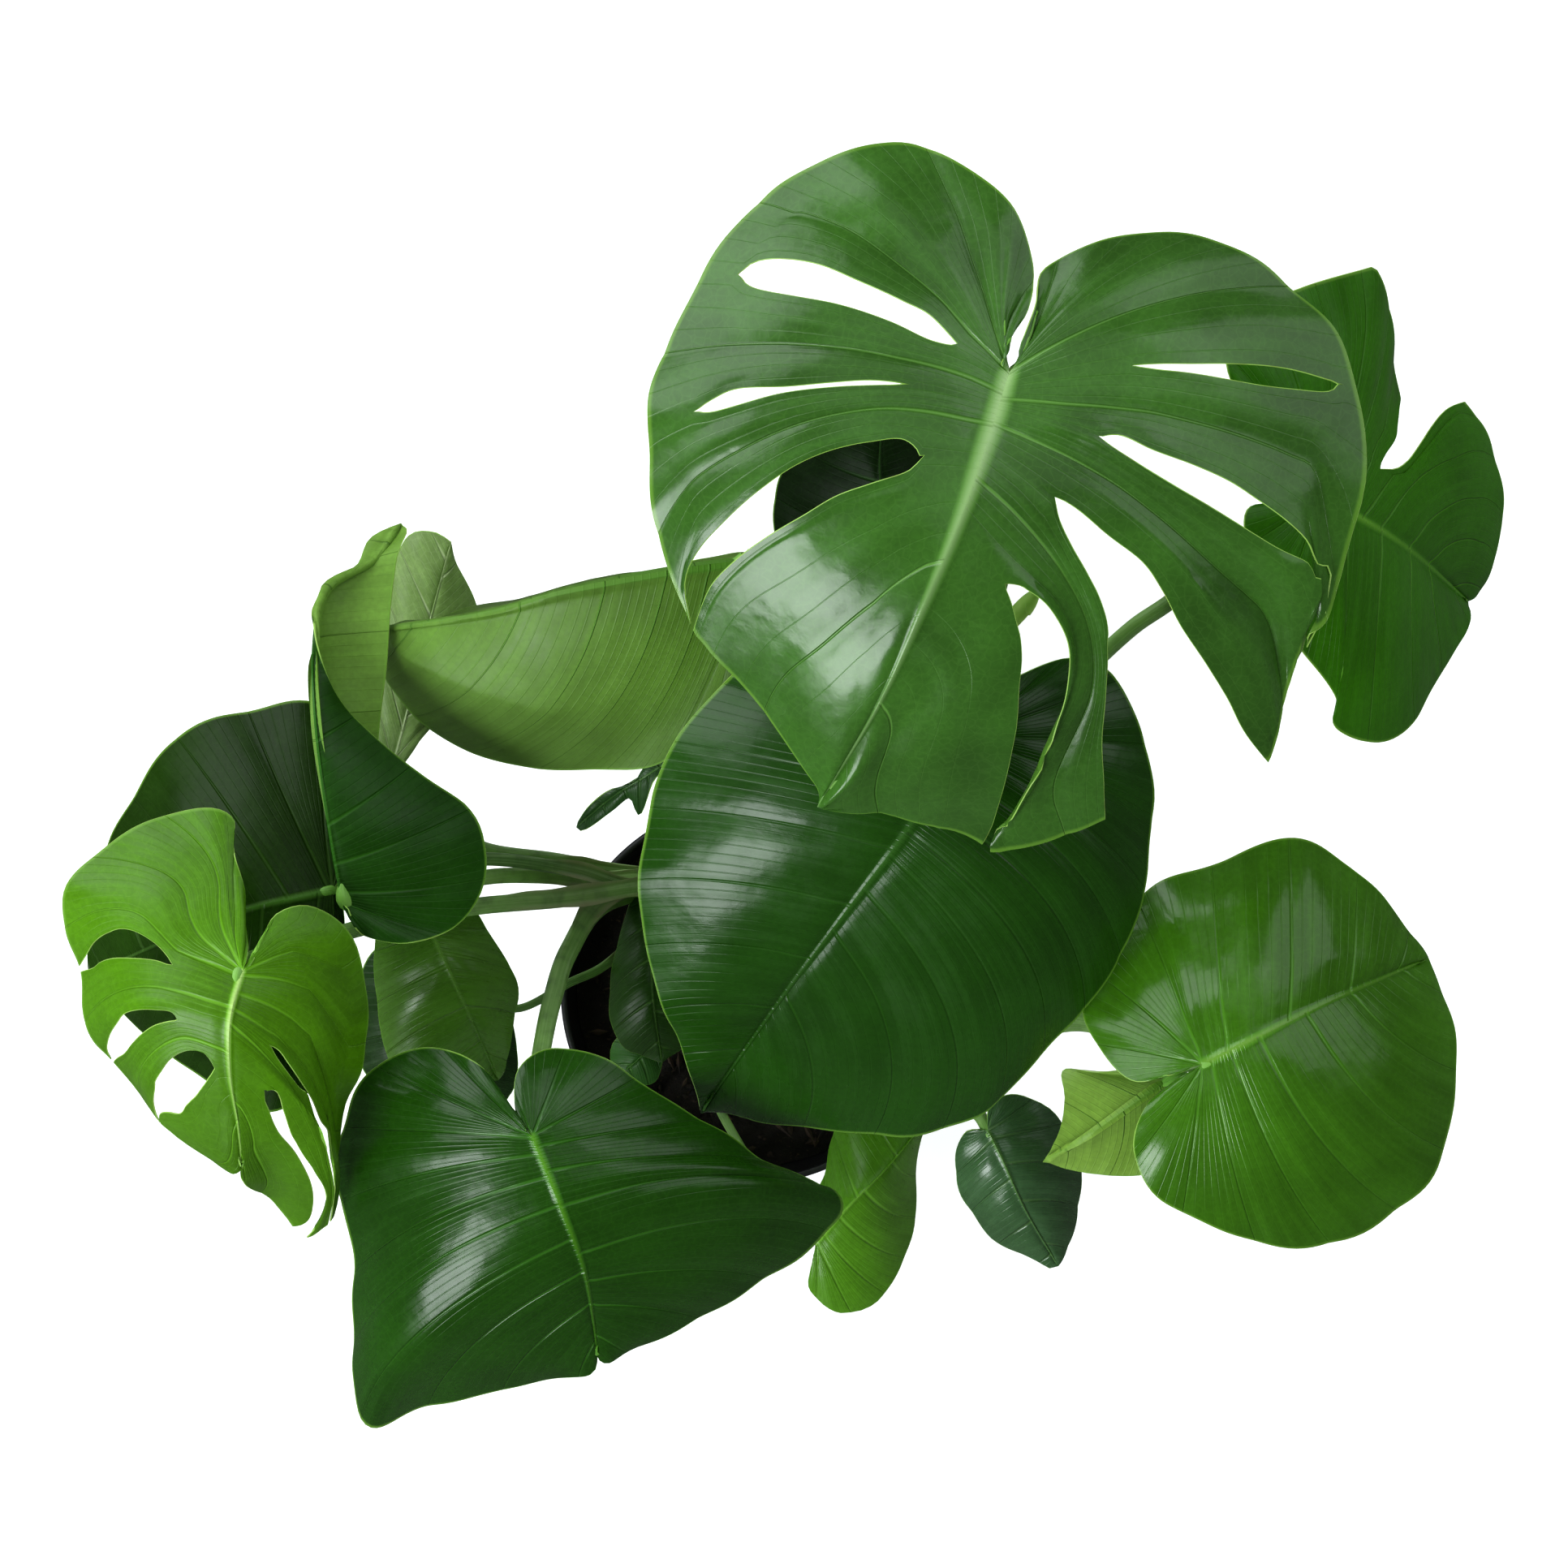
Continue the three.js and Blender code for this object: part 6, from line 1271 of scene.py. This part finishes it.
# Leaf stalks
stalkMake = {
    "ringStep": 3.0, "sides": 30,  # mm between rings, points round one
    "footSwell": 0.5, "footLength": 16,  # swellings as shares of the radius, lengths in mm
    "knuckleSwell": 0.16, "knuckleFromEnd": 18.2, "knuckleLength": 11.7, "endTaper": 0.55, "endLength": 9,
    "sheathAngle": 0.85, "sheathHeight": 0.75, "sheathShare": 0.42, "sheathThin": 0.16,  # its two wings
    "wingPoints": 3, "wingStep": 0.09, "wingClear": 0.33,  # extra points on both sides of a wing's peak
    "groove": 0.12, "grooveWidth": 0.5, "wobble": 0.05,
    "runOn": 12, "runOnMost": 0.3,  # on under the midrib in mm, and at most as a share of its length
    "knuckleLow": 1.3, "runOnLow": 0.7, "pastKnuckle": 1.3, "hangBack": 0.8,  # in radii of the stalk
    "hangLow": 0.3,  # in depths of the keel
}
# where the stems stand, and their tops
stems = {
    "left": {"at": (-32, 58), "top": 254},
    "back": {"at": (30, 30), "top": 258},
    "front": {"at": (30, -30), "top": 226},
}


def stalkSkin():
    # green, paler and duller towards the sheath, light at the knuckle, with fine lengthwise lines
    material, tree, shader, coords = newMaterial("stalkGreen")
    turn, along, _ = uvParts(tree, "stalkPlace")
    wing, tone, _ = uvParts(tree, "stalkTone")
    stretched = addNode(tree, "ShaderNodeCombineXYZ", {
        0: calc(tree, "MULTIPLY", turn, 26.0), 1: calc(tree, "MULTIPLY", along, 3.0)}).outputs[0]
    lines = mottle(tree, stretched, 1.0, 3.0, 0.5)
    colour = tint(tree, tone, paint(68, 108, 46), paint(138, 178, 96))
    colour = tint(tree, ease(tree, lines, 0.35, 0.75, 0.0, 0.45), colour, paint(150, 180, 120))
    spots = ease(tree, mottle(tree, coords, 70.0), 0.45, 0.8, 0.0, 0.5)
    colour = tint(tree, spots, colour, paint(38, 66, 28))
    colour = tint(tree, ease(tree, along, 0.9, 1.0), colour, paint(118, 172, 70))
    sheathTone = tint(tree, mottle(tree, coords, 45.0), paint(150, 165, 120), paint(120, 112, 80))
    colour = tint(tree, wing, colour, sheathTone)
    setInputs(tree, shader, {"Base Color": colour, "Roughness": 0.42})
    bumpInto(tree, shader, lines, 0.0006, 0.6)
    return material


def tubeFrame(path, count):
    # centre line at even steps, the share and length run, and the sideways and upward vectors square to it
    finer = 24
    last = len(path) - 1
    fine = smoothCurve(path, np.linspace(0, last, finer * last + 1))
    run = runOf(fine)
    share = np.linspace(0, 1, count)
    centre = np.stack([np.interp(share * run[-1], run, fine[:, k]) for k in range(3)], -1)
    for _ in range(2):
        centre[1:-1] = (centre[:-2] + 2 * centre[1:-1] + centre[2:]) / 4
    along = unit(np.gradient(centre, axis=0))
    level = path[-1] - path[0]
    across = unit(np.cross([0, 0, 1], level * [1, 1, 0]))
    sideways = unit(across - along * (along @ across)[:, None])
    return {"centre": centre, "share": share, "length": run[-1], "sideways": sideways,
            "upward": np.cross(along, sideways)}


def closedTube(line, size, angle):
    # centre + upward * size * cos(angle) + sideways * size * sin(angle); both ends flat, faces outward
    rings = (line["centre"][:, None] + line["upward"][:, None] * (size * np.cos(angle))[..., None]
             + line["sideways"][:, None] * (size * np.sin(angle))[..., None])
    numbers = np.arange(size.size).reshape(size.shape)
    walls = gridTriangles(*size.shape, 0, True)[:, ::-1]
    ends = [fanTriangles(numbers[0]), fanTriangles(numbers[-1])[:, ::-1]]
    return rings.reshape(-1, 3), np.concatenate([walls, *ends])


def stalkPath(leaf, surface):
    # from inside its stem over its bends to the knuckle and on under the first bit of the midrib
    stalk = leaf["petiole"]
    bends = placeOf(stalk["path"])
    foot = np.array([*stems[stalk["stem"]]["at"], stalk["start"]]) * mm
    knuckle = surface["ribAt"](0.0)
    up = surface["up"]
    radius = stalk["radius"][-1] * mm
    onwards = surface["ribAt"](min(stalkMake["runOn"] * mm / surface["length"], stalkMake["runOnMost"]))
    ribWay = unit(surface["ribAt"](0.1) - knuckle)
    if leaf["hangs"]:
        back = unit(knuckle - surface["ribAt"](0.2))
        low = leaf["keel"][0] * mm * stalkMake["hangLow"]
        end = [knuckle + back * radius * stalkMake["hangBack"] - up * low, onwards]
    elif unit(knuckle - bends[-1]) @ ribWay < 0.2:  # comes from under the blade and ends below the knuckle
        end = [knuckle + ribWay * radius * stalkMake["pastKnuckle"] - up * (radius + 0.4 * mm)]
    else:
        end = [knuckle - up * (stalkMake["knuckleLow"] * radius + 0.6 * mm),
               onwards - up * (stalkMake["runOnLow"] * radius + mm)]
    return np.array([foot, *bends, *end])


def stalkPiece(key, leaf, surface, skin):
    # radius(s): swollen foot, even taper, knuckle swelling, then thin under the midrib;
    # two sheath wings stand out of the upper side as narrow peaks of the radius over the angle
    path = stalkPath(leaf, surface)
    count = max(12, round(runOf(path)[-1] / mm / stalkMake["ringStep"]))
    line = tubeFrame(path, count)
    share = line["share"]
    low, high = leaf["petiole"]["radius"]
    run = share * line["length"] / mm
    left = (1 - share) * line["length"] / mm
    knuckle = np.exp(-((left - stalkMake["knuckleFromEnd"]) / stalkMake["knuckleLength"]) ** 2)
    radius = low + (high - low) * share
    radius = radius * (1 + stalkMake["footSwell"] * np.exp(-(run / stalkMake["footLength"]) ** 2))
    radius = radius * (1 + stalkMake["knuckleSwell"] * knuckle)
    radius = radius * (1 - stalkMake["endTaper"] * fade(-left, -stalkMake["endLength"], 0))
    wingAngle = stalkMake["sheathAngle"]
    near = np.arange(-stalkMake["wingPoints"], stalkMake["wingPoints"] + 1) * stalkMake["wingStep"]
    even = np.linspace(-math.pi, math.pi, stalkMake["sides"], endpoint=False)
    even = even[abs(abs(even) - wingAngle) > stalkMake["wingClear"]]
    angle = np.sort(np.concatenate([even, near + wingAngle, near - wingAngle]))
    end = stalkMake["sheathShare"]
    opening = fade(share, 0.01, 0.06) * (1 - fade(share, end * 0.75, end))
    opening = (opening * (0.8 + 0.25 * np.sin(run / 9.0)) * stalkMake["sheathHeight"])[:, None]
    peak = np.exp(-((abs(angle) - wingAngle) / stalkMake["sheathThin"]) ** 2)
    groove = -stalkMake["groove"] * np.exp(-(angle / stalkMake["grooveWidth"]) ** 2)
    wobble = stalkMake["wobble"] * np.sin(3 * angle + share[:, None] * 9)
    size = radius[:, None] * (1 + opening * peak + groove + wobble) * mm
    points, faces = closedTube(line, size, angle)
    wing = np.clip(opening * peak * 1.4 + 0.35 * opening, 0, 1)
    turn = np.broadcast_to(angle / (2 * math.pi), size.shape)
    along = np.broadcast_to(share[:, None], size.shape)
    tone = np.full(size.shape, leaf["petiole"]["tone"])
    layers = {"stalkPlace": np.stack([turn, along], -1).reshape(-1, 2)[faces],
              "stalkTone": np.stack([wing, tone], -1).reshape(-1, 2)[faces]}
    makePiece("stalk_" + key, points, faces, [skin], ["petiole_" + key], 50, layers)


stalkGreen = stalkSkin()
for key, leaf in leaves.items():
    stalkPiece(key, leaf, surfaces[key], stalkGreen)
print("stalks done")


# New leaf, still rolled up
spear = {
    "path": [[104, 70, 490], [112, 80, 515], [119, 88, 540], [127, 98, 572]], "radii": [2, 3.8, 3.8, 0.5],
    "twists": 1.4, "step": 0.16, "sides": 40, "rings": 60,
}


def spearSkin():
    # pale yellow green
    material, tree, shader, coords = newMaterial("spearGreen")
    colour = tint(tree, mottle(tree, coords, 120.0), paint(206, 238, 140), paint(184, 226, 106))
    setInputs(tree, shader, {"Base Color": colour, "Roughness": 0.4})
    return material


def spearPiece(skin):
    # radius(s, angle): spindle read off radii, plus a step where the rolled blade laps over itself
    line = tubeFrame(placeOf(spear["path"]), spear["rings"])
    angle = np.linspace(0, 2 * math.pi, spear["sides"], endpoint=False)
    radii = np.array(spear["radii"])[:, None]
    spread = smoothCurve(radii, line["share"] * (len(radii) - 1))
    lap = (angle / (2 * math.pi) - spear["twists"] * line["share"][:, None]) % 1
    size = spread * mm * (1 - spear["step"] / 2 + spear["step"] * lap)
    points, faces = closedTube(line, size, angle)
    makePiece("spear_leaf", points, faces, [skin], ["spear"], 40)


spearPiece(spearSkin())
print("new leaf done")


# Pot
pot = {
    "rimRadius": 100, "rimHeight": 180, "footRadius": 73, "wall": 1.8, "floor": 2.4, "lip": 1.9,
    "chamfer": 1.5, "sides": 192, "wallPoints": 9, "lipPoints": 15,
    "drainHoles": 6, "drainRadius": 5, "drainCircle": 52, "drainSides": 24,
}


def turnedPiece(profile, sides):
    # profile of (radius, height) from the bottom on the axis to the top on the axis, turned about z
    profile = np.asarray(profile, float)
    angle = np.linspace(0, 2 * math.pi, sides, endpoint=False)
    ring = np.stack([np.cos(angle), np.sin(angle)], -1)
    body = profile[1:-1]
    heights = np.broadcast_to(body[:, None, 1:], (len(body), sides, 1))
    points = np.concatenate([body[:, None, :1] * ring, heights], -1).reshape(-1, 3)
    walls = gridTriangles(len(body), sides, 0, True)[:, ::-1]
    low, high = len(points), len(points) + 1
    here = np.arange(sides)
    nextOne = (here + 1) % sides
    lastRing = (len(body) - 1) * sides
    bottom = np.stack([np.full(sides, low), nextOne, here], -1)
    top = np.stack([np.full(sides, high), lastRing + here, lastRing + nextOne], -1)
    poles = [[0, 0, profile[0, 1]], [0, 0, profile[-1, 1]]]
    return np.concatenate([points, poles]), np.concatenate([walls, bottom, top])


def potSkin():
    # black plastic, a little dusty
    material, tree, shader, coords = newMaterial("potBlack")
    colour = tint(tree, mottle(tree, coords, 40.0), paint(20, 20, 22), paint(33, 33, 35))
    dust = ease(tree, mottle(tree, coords, 9.0, 5.0), 0.5, 0.8, 0.0, 0.35)
    colour = tint(tree, dust, colour, paint(58, 54, 50))
    roughness = ease(tree, mottle(tree, coords, 25.0), 0.3, 0.8, 0.36, 0.6)
    setInputs(tree, shader, {"Base Color": colour, "Roughness": roughness})
    bumpInto(tree, shader, mottle(tree, coords, 900.0, 2.0), 0.0002)
    return material


def outerRadius(z):
    # straight from the foot's radius to the rim's
    return pot["footRadius"] + (pot["rimRadius"] - pot["footRadius"]) / pot["rimHeight"] * z


def innerRadius(z):
    # straight from a wall's thickness inside the foot to the inner side of the lip
    low = outerRadius(pot["floor"]) - pot["wall"]
    rise = (z - pot["floor"]) / (pot["rimHeight"] - pot["lip"] - pot["floor"])
    return low + (pot["rimRadius"] - 2 * pot["lip"] - low) * rise


def drainCutter():
    # one upright cylinder through the floor for each drain hole
    radius, reach, count = pot["drainRadius"], 3 * pot["floor"], pot["drainHoles"]
    profile = [(0, -reach), (radius, -reach), (radius, reach), (0, reach)]
    points, faces = turnedPiece(profile, pot["drainSides"])
    turn = 2 * math.pi * (np.arange(count) + 0.5) / count
    centres = pot["drainCircle"] * np.stack([np.cos(turn), np.sin(turn), 0 * turn], -1)
    allPoints = (points + centres[:, None]).reshape(-1, 3) * mm
    allFaces = (faces + len(points) * np.arange(count)[:, None, None]).reshape(-1, 3)
    mesh = bpy.data.meshes.new("drainCutter")
    mesh.from_pydata(allPoints.tolist(), [], allFaces.tolist())
    return toScene("drainCutter", mesh)


def potPiece(skin):
    # cone wall with a rolled lip at the rim and a rounded foot, turned about z, with drain holes cut
    lip, floor, chamfer = pot["lip"], pot["floor"], pot["chamfer"]
    turn = np.linspace(-0.5 * math.pi, 1.35 * math.pi, pot["lipPoints"])
    lipMiddle = np.array([pot["rimRadius"] - lip, pot["rimHeight"] - lip])
    roll = lipMiddle + lip * np.stack([np.cos(turn), np.sin(turn)], -1)
    heights = np.linspace(chamfer, pot["rimHeight"] - 2.6 * lip, pot["wallPoints"])
    outer = np.stack([outerRadius(heights), heights], -1)
    top = np.array([pot["rimRadius"] - 2 * lip - 0.5, pot["rimHeight"] - 2 * lip])
    low = np.array([outerRadius(floor) - pot["wall"], floor])
    inner = top + (low - top) * np.linspace(0.02, 1, pot["wallPoints"])[:, None]
    profile = [(0, 0), (pot["footRadius"] - chamfer, 0), *outer, *roll, *inner, (0, floor)]
    points, faces = turnedPiece(profile, pot["sides"])
    piece = makePiece("pot_shell", points * mm, faces, [skin], ["pot"], 45)
    cutter = drainCutter()
    cut = piece.modifiers.new("drain", "BOOLEAN")
    cut.object = cutter
    cut.operation = "DIFFERENCE"
    cut.solver = "EXACT"
    bpy.context.view_layer.objects.active = piece
    bpy.ops.object.modifier_apply(modifier="drain")
    bpy.data.objects.remove(cutter)


# Soil and the bark bits strewn on it
soil = {
    "height": 160, "sink": 5, "lumps": 2.2, "crumbs": 1.3, "gap": 0.4, "rings": 90, "sides": 240,
}
chips = {
    "count": 620, "size": (0.35, 0.45),  # mean and spread of the size's logarithm
    "long": (0.9, 2.8), "wide": (0.4, 1.1), "high": (0.3, 0.8), "uneven": (0.7, 1.3),  # least and most
    "tilt": 0.6, "fromRim": 12, "lift": 0.6,
}


def soilTop(x, y):
    # shallow dish with soft lumps and crumbs, in millimetres
    lumps = np.sin(x * 0.19 + 1.3) * np.cos(y * 0.23 - 0.4) + 0.6 * np.sin(x * 0.37 - y * 0.31)
    edge = (np.hypot(x, y) / pot["rimRadius"]) ** 4
    crumbs = waves(x, y, 9, 14, 5) + 0.6 * waves(x, y, 3.6, 14, 8)
    rough = soil["lumps"] * lumps + soil["crumbs"] * crumbs
    return soil["height"] - soil["sink"] * edge + rough * (1 - edge)


def soilSkin():
    # near black with brown crumbs, very rough
    material, tree, shader, coords = newMaterial("soilDark")
    colour = tint(tree, mottle(tree, coords, 160.0, 6.0, 0.7), paint(9, 8, 7), paint(42, 33, 26))
    colour = tint(tree, ease(tree, mottle(tree, coords, 420.0, 4.0), 0.6, 0.75), colour, paint(84, 66, 50))
    setInputs(tree, shader, {"Base Color": colour, "Roughness": 0.95})
    bumpInto(tree, shader, mottle(tree, coords, 500.0, 6.0, 0.7), 0.0025)
    return material


def barkSkin():
    # dark to mid brown
    material, tree, shader, coords = newMaterial("barkBits")
    spots = ease(tree, mottle(tree, coords, 90.0), 0.35, 0.7)
    colour = tint(tree, spots, paint(16, 13, 10), paint(70, 54, 40))
    setInputs(tree, shader, {"Base Color": colour, "Roughness": 0.9})
    return material


def soilPiece(skin):
    # plug that fills the pot, its flat top raised to soilTop(x, y)
    edge = innerRadius(soil["height"] - soil["sink"]) - soil["gap"]
    low = innerRadius(pot["floor"]) - soil["gap"]
    bottom = pot["floor"] + soil["gap"]
    radii = np.linspace(edge, 0, soil["rings"])[:-1]
    profile = [(0, bottom), (low, bottom), *((r, soil["height"]) for r in radii), (0, soil["height"])]
    points, faces = turnedPiece(profile, soil["sides"])
    upper = points[:, 2] > soil["height"] - 1
    points[:, 2] = np.where(upper, soilTop(points[:, 0], points[:, 1]), points[:, 2])
    makePiece("soil_bed", points * mm, faces, [skin], ["soil"], 60)


def chipsPiece(skin):
    # squashed, turned and tilted eight-faced lumps, spread evenly over a disc and set on soilTop(x, y)
    count = chips["count"]
    corners = np.array([[1, 0, 0], [-1, 0, 0], [0, 1, 0], [0, -1, 0], [0, 0, 1], [0, 0, -1]], float)
    faces = np.array([[0, 2, 4], [2, 1, 4], [1, 3, 4], [3, 0, 4], [2, 0, 5], [1, 2, 5], [3, 1, 5], [0, 3, 5]])
    size = np.exp(rng.normal(*chips["size"], (count, 1)))
    spans = [rng.uniform(*chips[key], count) for key in ("long", "wide", "high")]
    shape = size[..., None] * np.stack(spans, -1)[:, None]
    lumps = corners * shape * rng.uniform(*chips["uneven"], (count, 6, 1))
    turn = rng.uniform(0, 2 * math.pi, count)[:, None]
    tilt = rng.uniform(-chips["tilt"], chips["tilt"], count)[:, None]
    x = lumps[..., 0] * np.cos(turn) - lumps[..., 1] * np.sin(turn)
    y = lumps[..., 0] * np.sin(turn) + lumps[..., 1] * np.cos(turn)
    z = lumps[..., 2] + lumps[..., 0] * np.sin(tilt)
    reach = (pot["rimRadius"] - chips["fromRim"]) * np.sqrt(rng.uniform(0, 1, count))[:, None]
    bearing = rng.uniform(0, 2 * math.pi, count)[:, None]
    px, py = reach * np.cos(bearing), reach * np.sin(bearing)
    points = np.stack([x + px, y + py, z + soilTop(px, py) + chips["lift"]], -1).reshape(-1, 3)
    allFaces = (faces + 6 * np.arange(count)[:, None, None]).reshape(-1, 3)
    makePiece("soil_chips", points * mm, allFaces, [skin], (), 20)


# Stems
stemMake = {
    "radius": 9, "foot": 104, "spacing": 24, "sides": 40, "rings": 90, "taper": 0.18,
    "swell": 1.1, "swellWidth": 2.2, "endRound": 9, "dent": 0.05,
}


def stemSkin():
    # dull green with brown patches and specks
    material, tree, shader, coords = newMaterial("stemGreen")
    colour = tint(tree, mottle(tree, coords, 60.0), paint(78, 96, 48), paint(112, 104, 66))
    colour = tint(tree, ease(tree, mottle(tree, coords, 210.0), 0.5, 0.8), colour, paint(60, 52, 34))
    setInputs(tree, shader, {"Base Color": colour, "Roughness": 0.7})
    bumpInto(tree, shader, mottle(tree, coords, 300.0), 0.0012)
    return material


def stemPiece(name, stem, skin):
    # radius(z): taper to the top, a raised ring every internode, rounded end, dents round about
    z = np.linspace(stemMake["foot"], stem["top"] - 3, stemMake["rings"])
    above = z - soil["height"]
    taper = 1 - stemMake["taper"] * np.clip(above / (stem["top"] - soil["height"]), 0, 1)
    fromRing = ((above / stemMake["spacing"]) % 1 - 0.5) * stemMake["spacing"]
    ring = np.exp(-(fromRing / stemMake["swellWidth"]) ** 2) * (above > 0)
    radius = (stemMake["radius"] - stemMake["swell"]) * taper + stemMake["swell"] * ring
    radius = radius * np.sqrt(np.clip((stem["top"] - z) / stemMake["endRound"], 0, 1))
    profile = [(0, z[0]), *zip(radius, z), (0, stem["top"])]
    points, faces = turnedPiece(profile, stemMake["sides"])
    bearing = np.arctan2(points[:, 1], points[:, 0])
    points[:, :2] *= (1 + stemMake["dent"] * np.sin(3 * bearing + points[:, 2] * 0.11))[:, None]
    points[:, :2] += stem["at"]
    makePiece("stem_wood_" + name, points * mm, faces, [skin], ["stem_" + name], 60)


stemGreen = stemSkin()
for name, stem in stems.items():
    stemPiece(name, stem, stemGreen)
print("stems done")
potPiece(potSkin())
print("pot done")
soilPiece(soilSkin())
chipsPiece(barkSkin())
print("soil and bark bits done")


# Room: pale floor, soft light, camera straight above; places and sizes in metres, power in watts
room = {
    "floor": 6.0, "floorTone": (243, 243, 243), "floorGlow": 0.3, "air": 0.12,
    "daylight": (0.94, 0.98, 1.0), "aim": (0, 0.1, 0.45),
}
lamps = {
    "windowFront": {"at": (-1.35, -1.5, 1.6), "size": (1.15, 1.15), "power": 42},
    "windowBack": {"at": (-1.6, 1.22, 1.7), "size": (2.8, 1.6), "power": 46},
    "softRight": {"at": (1.6, 0.9, 1.9), "size": (2.2, 2.2), "power": 22},
    "ceiling": {"at": (0.2, 0.7, 3.3), "size": (2.6, 2.6), "power": 14},
}


def buildFloor():
    # one square round the plant's foot, glowing a little
    size = room["floor"] / 2
    mesh = bpy.data.meshes.new("floor")
    mesh.from_pydata([(-size, -size, 0), (size, -size, 0), (size, size, 0), (-size, size, 0)], [],
                     [(0, 1, 2, 3)])
    floor = toScene("floor", mesh)
    material, tree, shader, _ = newMaterial("floorPale")
    setInputs(tree, shader, {"Base Color": paint(*room["floorTone"]), "Roughness": 0.9,
                             "Emission Color": (1, 1, 1, 1), "Emission Strength": room["floorGlow"]})
    mesh.materials.append(material)
    floor.visible_glossy = False  # dark room in the leaves' gloss


def buildLight():
    # even light from all round, and the lamps turned to the plant
    world = bpy.data.worlds.new("studio")
    bpy.context.scene.world = world
    world.use_nodes = True
    setInputs(world.node_tree, world.node_tree.nodes["Background"], {0: (1, 1, 1, 1), 1: room["air"]})
    for name, lamp in lamps.items():
        data = bpy.data.lights.new(name, "AREA")
        data.shape = "RECTANGLE"
        data.size, data.size_y = lamp["size"]
        data.energy = lamp["power"]
        data.color = room["daylight"]
        light = toScene(name, data)
        light.location = lamp["at"]
        direction = Vector(room["aim"]) - Vector(lamp["at"])
        light.rotation_euler = direction.to_track_quat("-Z", "Y").to_euler()


def buildCamera():
    # straight above; plain view colours, so that the dark greens stay dark
    bpy.context.scene.view_settings.view_transform = "Standard"
    bpy.context.scene.view_settings.look = "Medium High Contrast"
    data = bpy.data.cameras.new("camera")
    data.lens = sight["lens"]
    data.sensor_width = sight["sensor"]
    camera = toScene("camera", data)
    camera.location = (sight["footX"] * mm, sight["footY"] * mm, sight["eyeHeight"] * mm)
    bpy.context.scene.camera = camera


buildFloor()
buildLight()
buildCamera()
print("room and camera done")
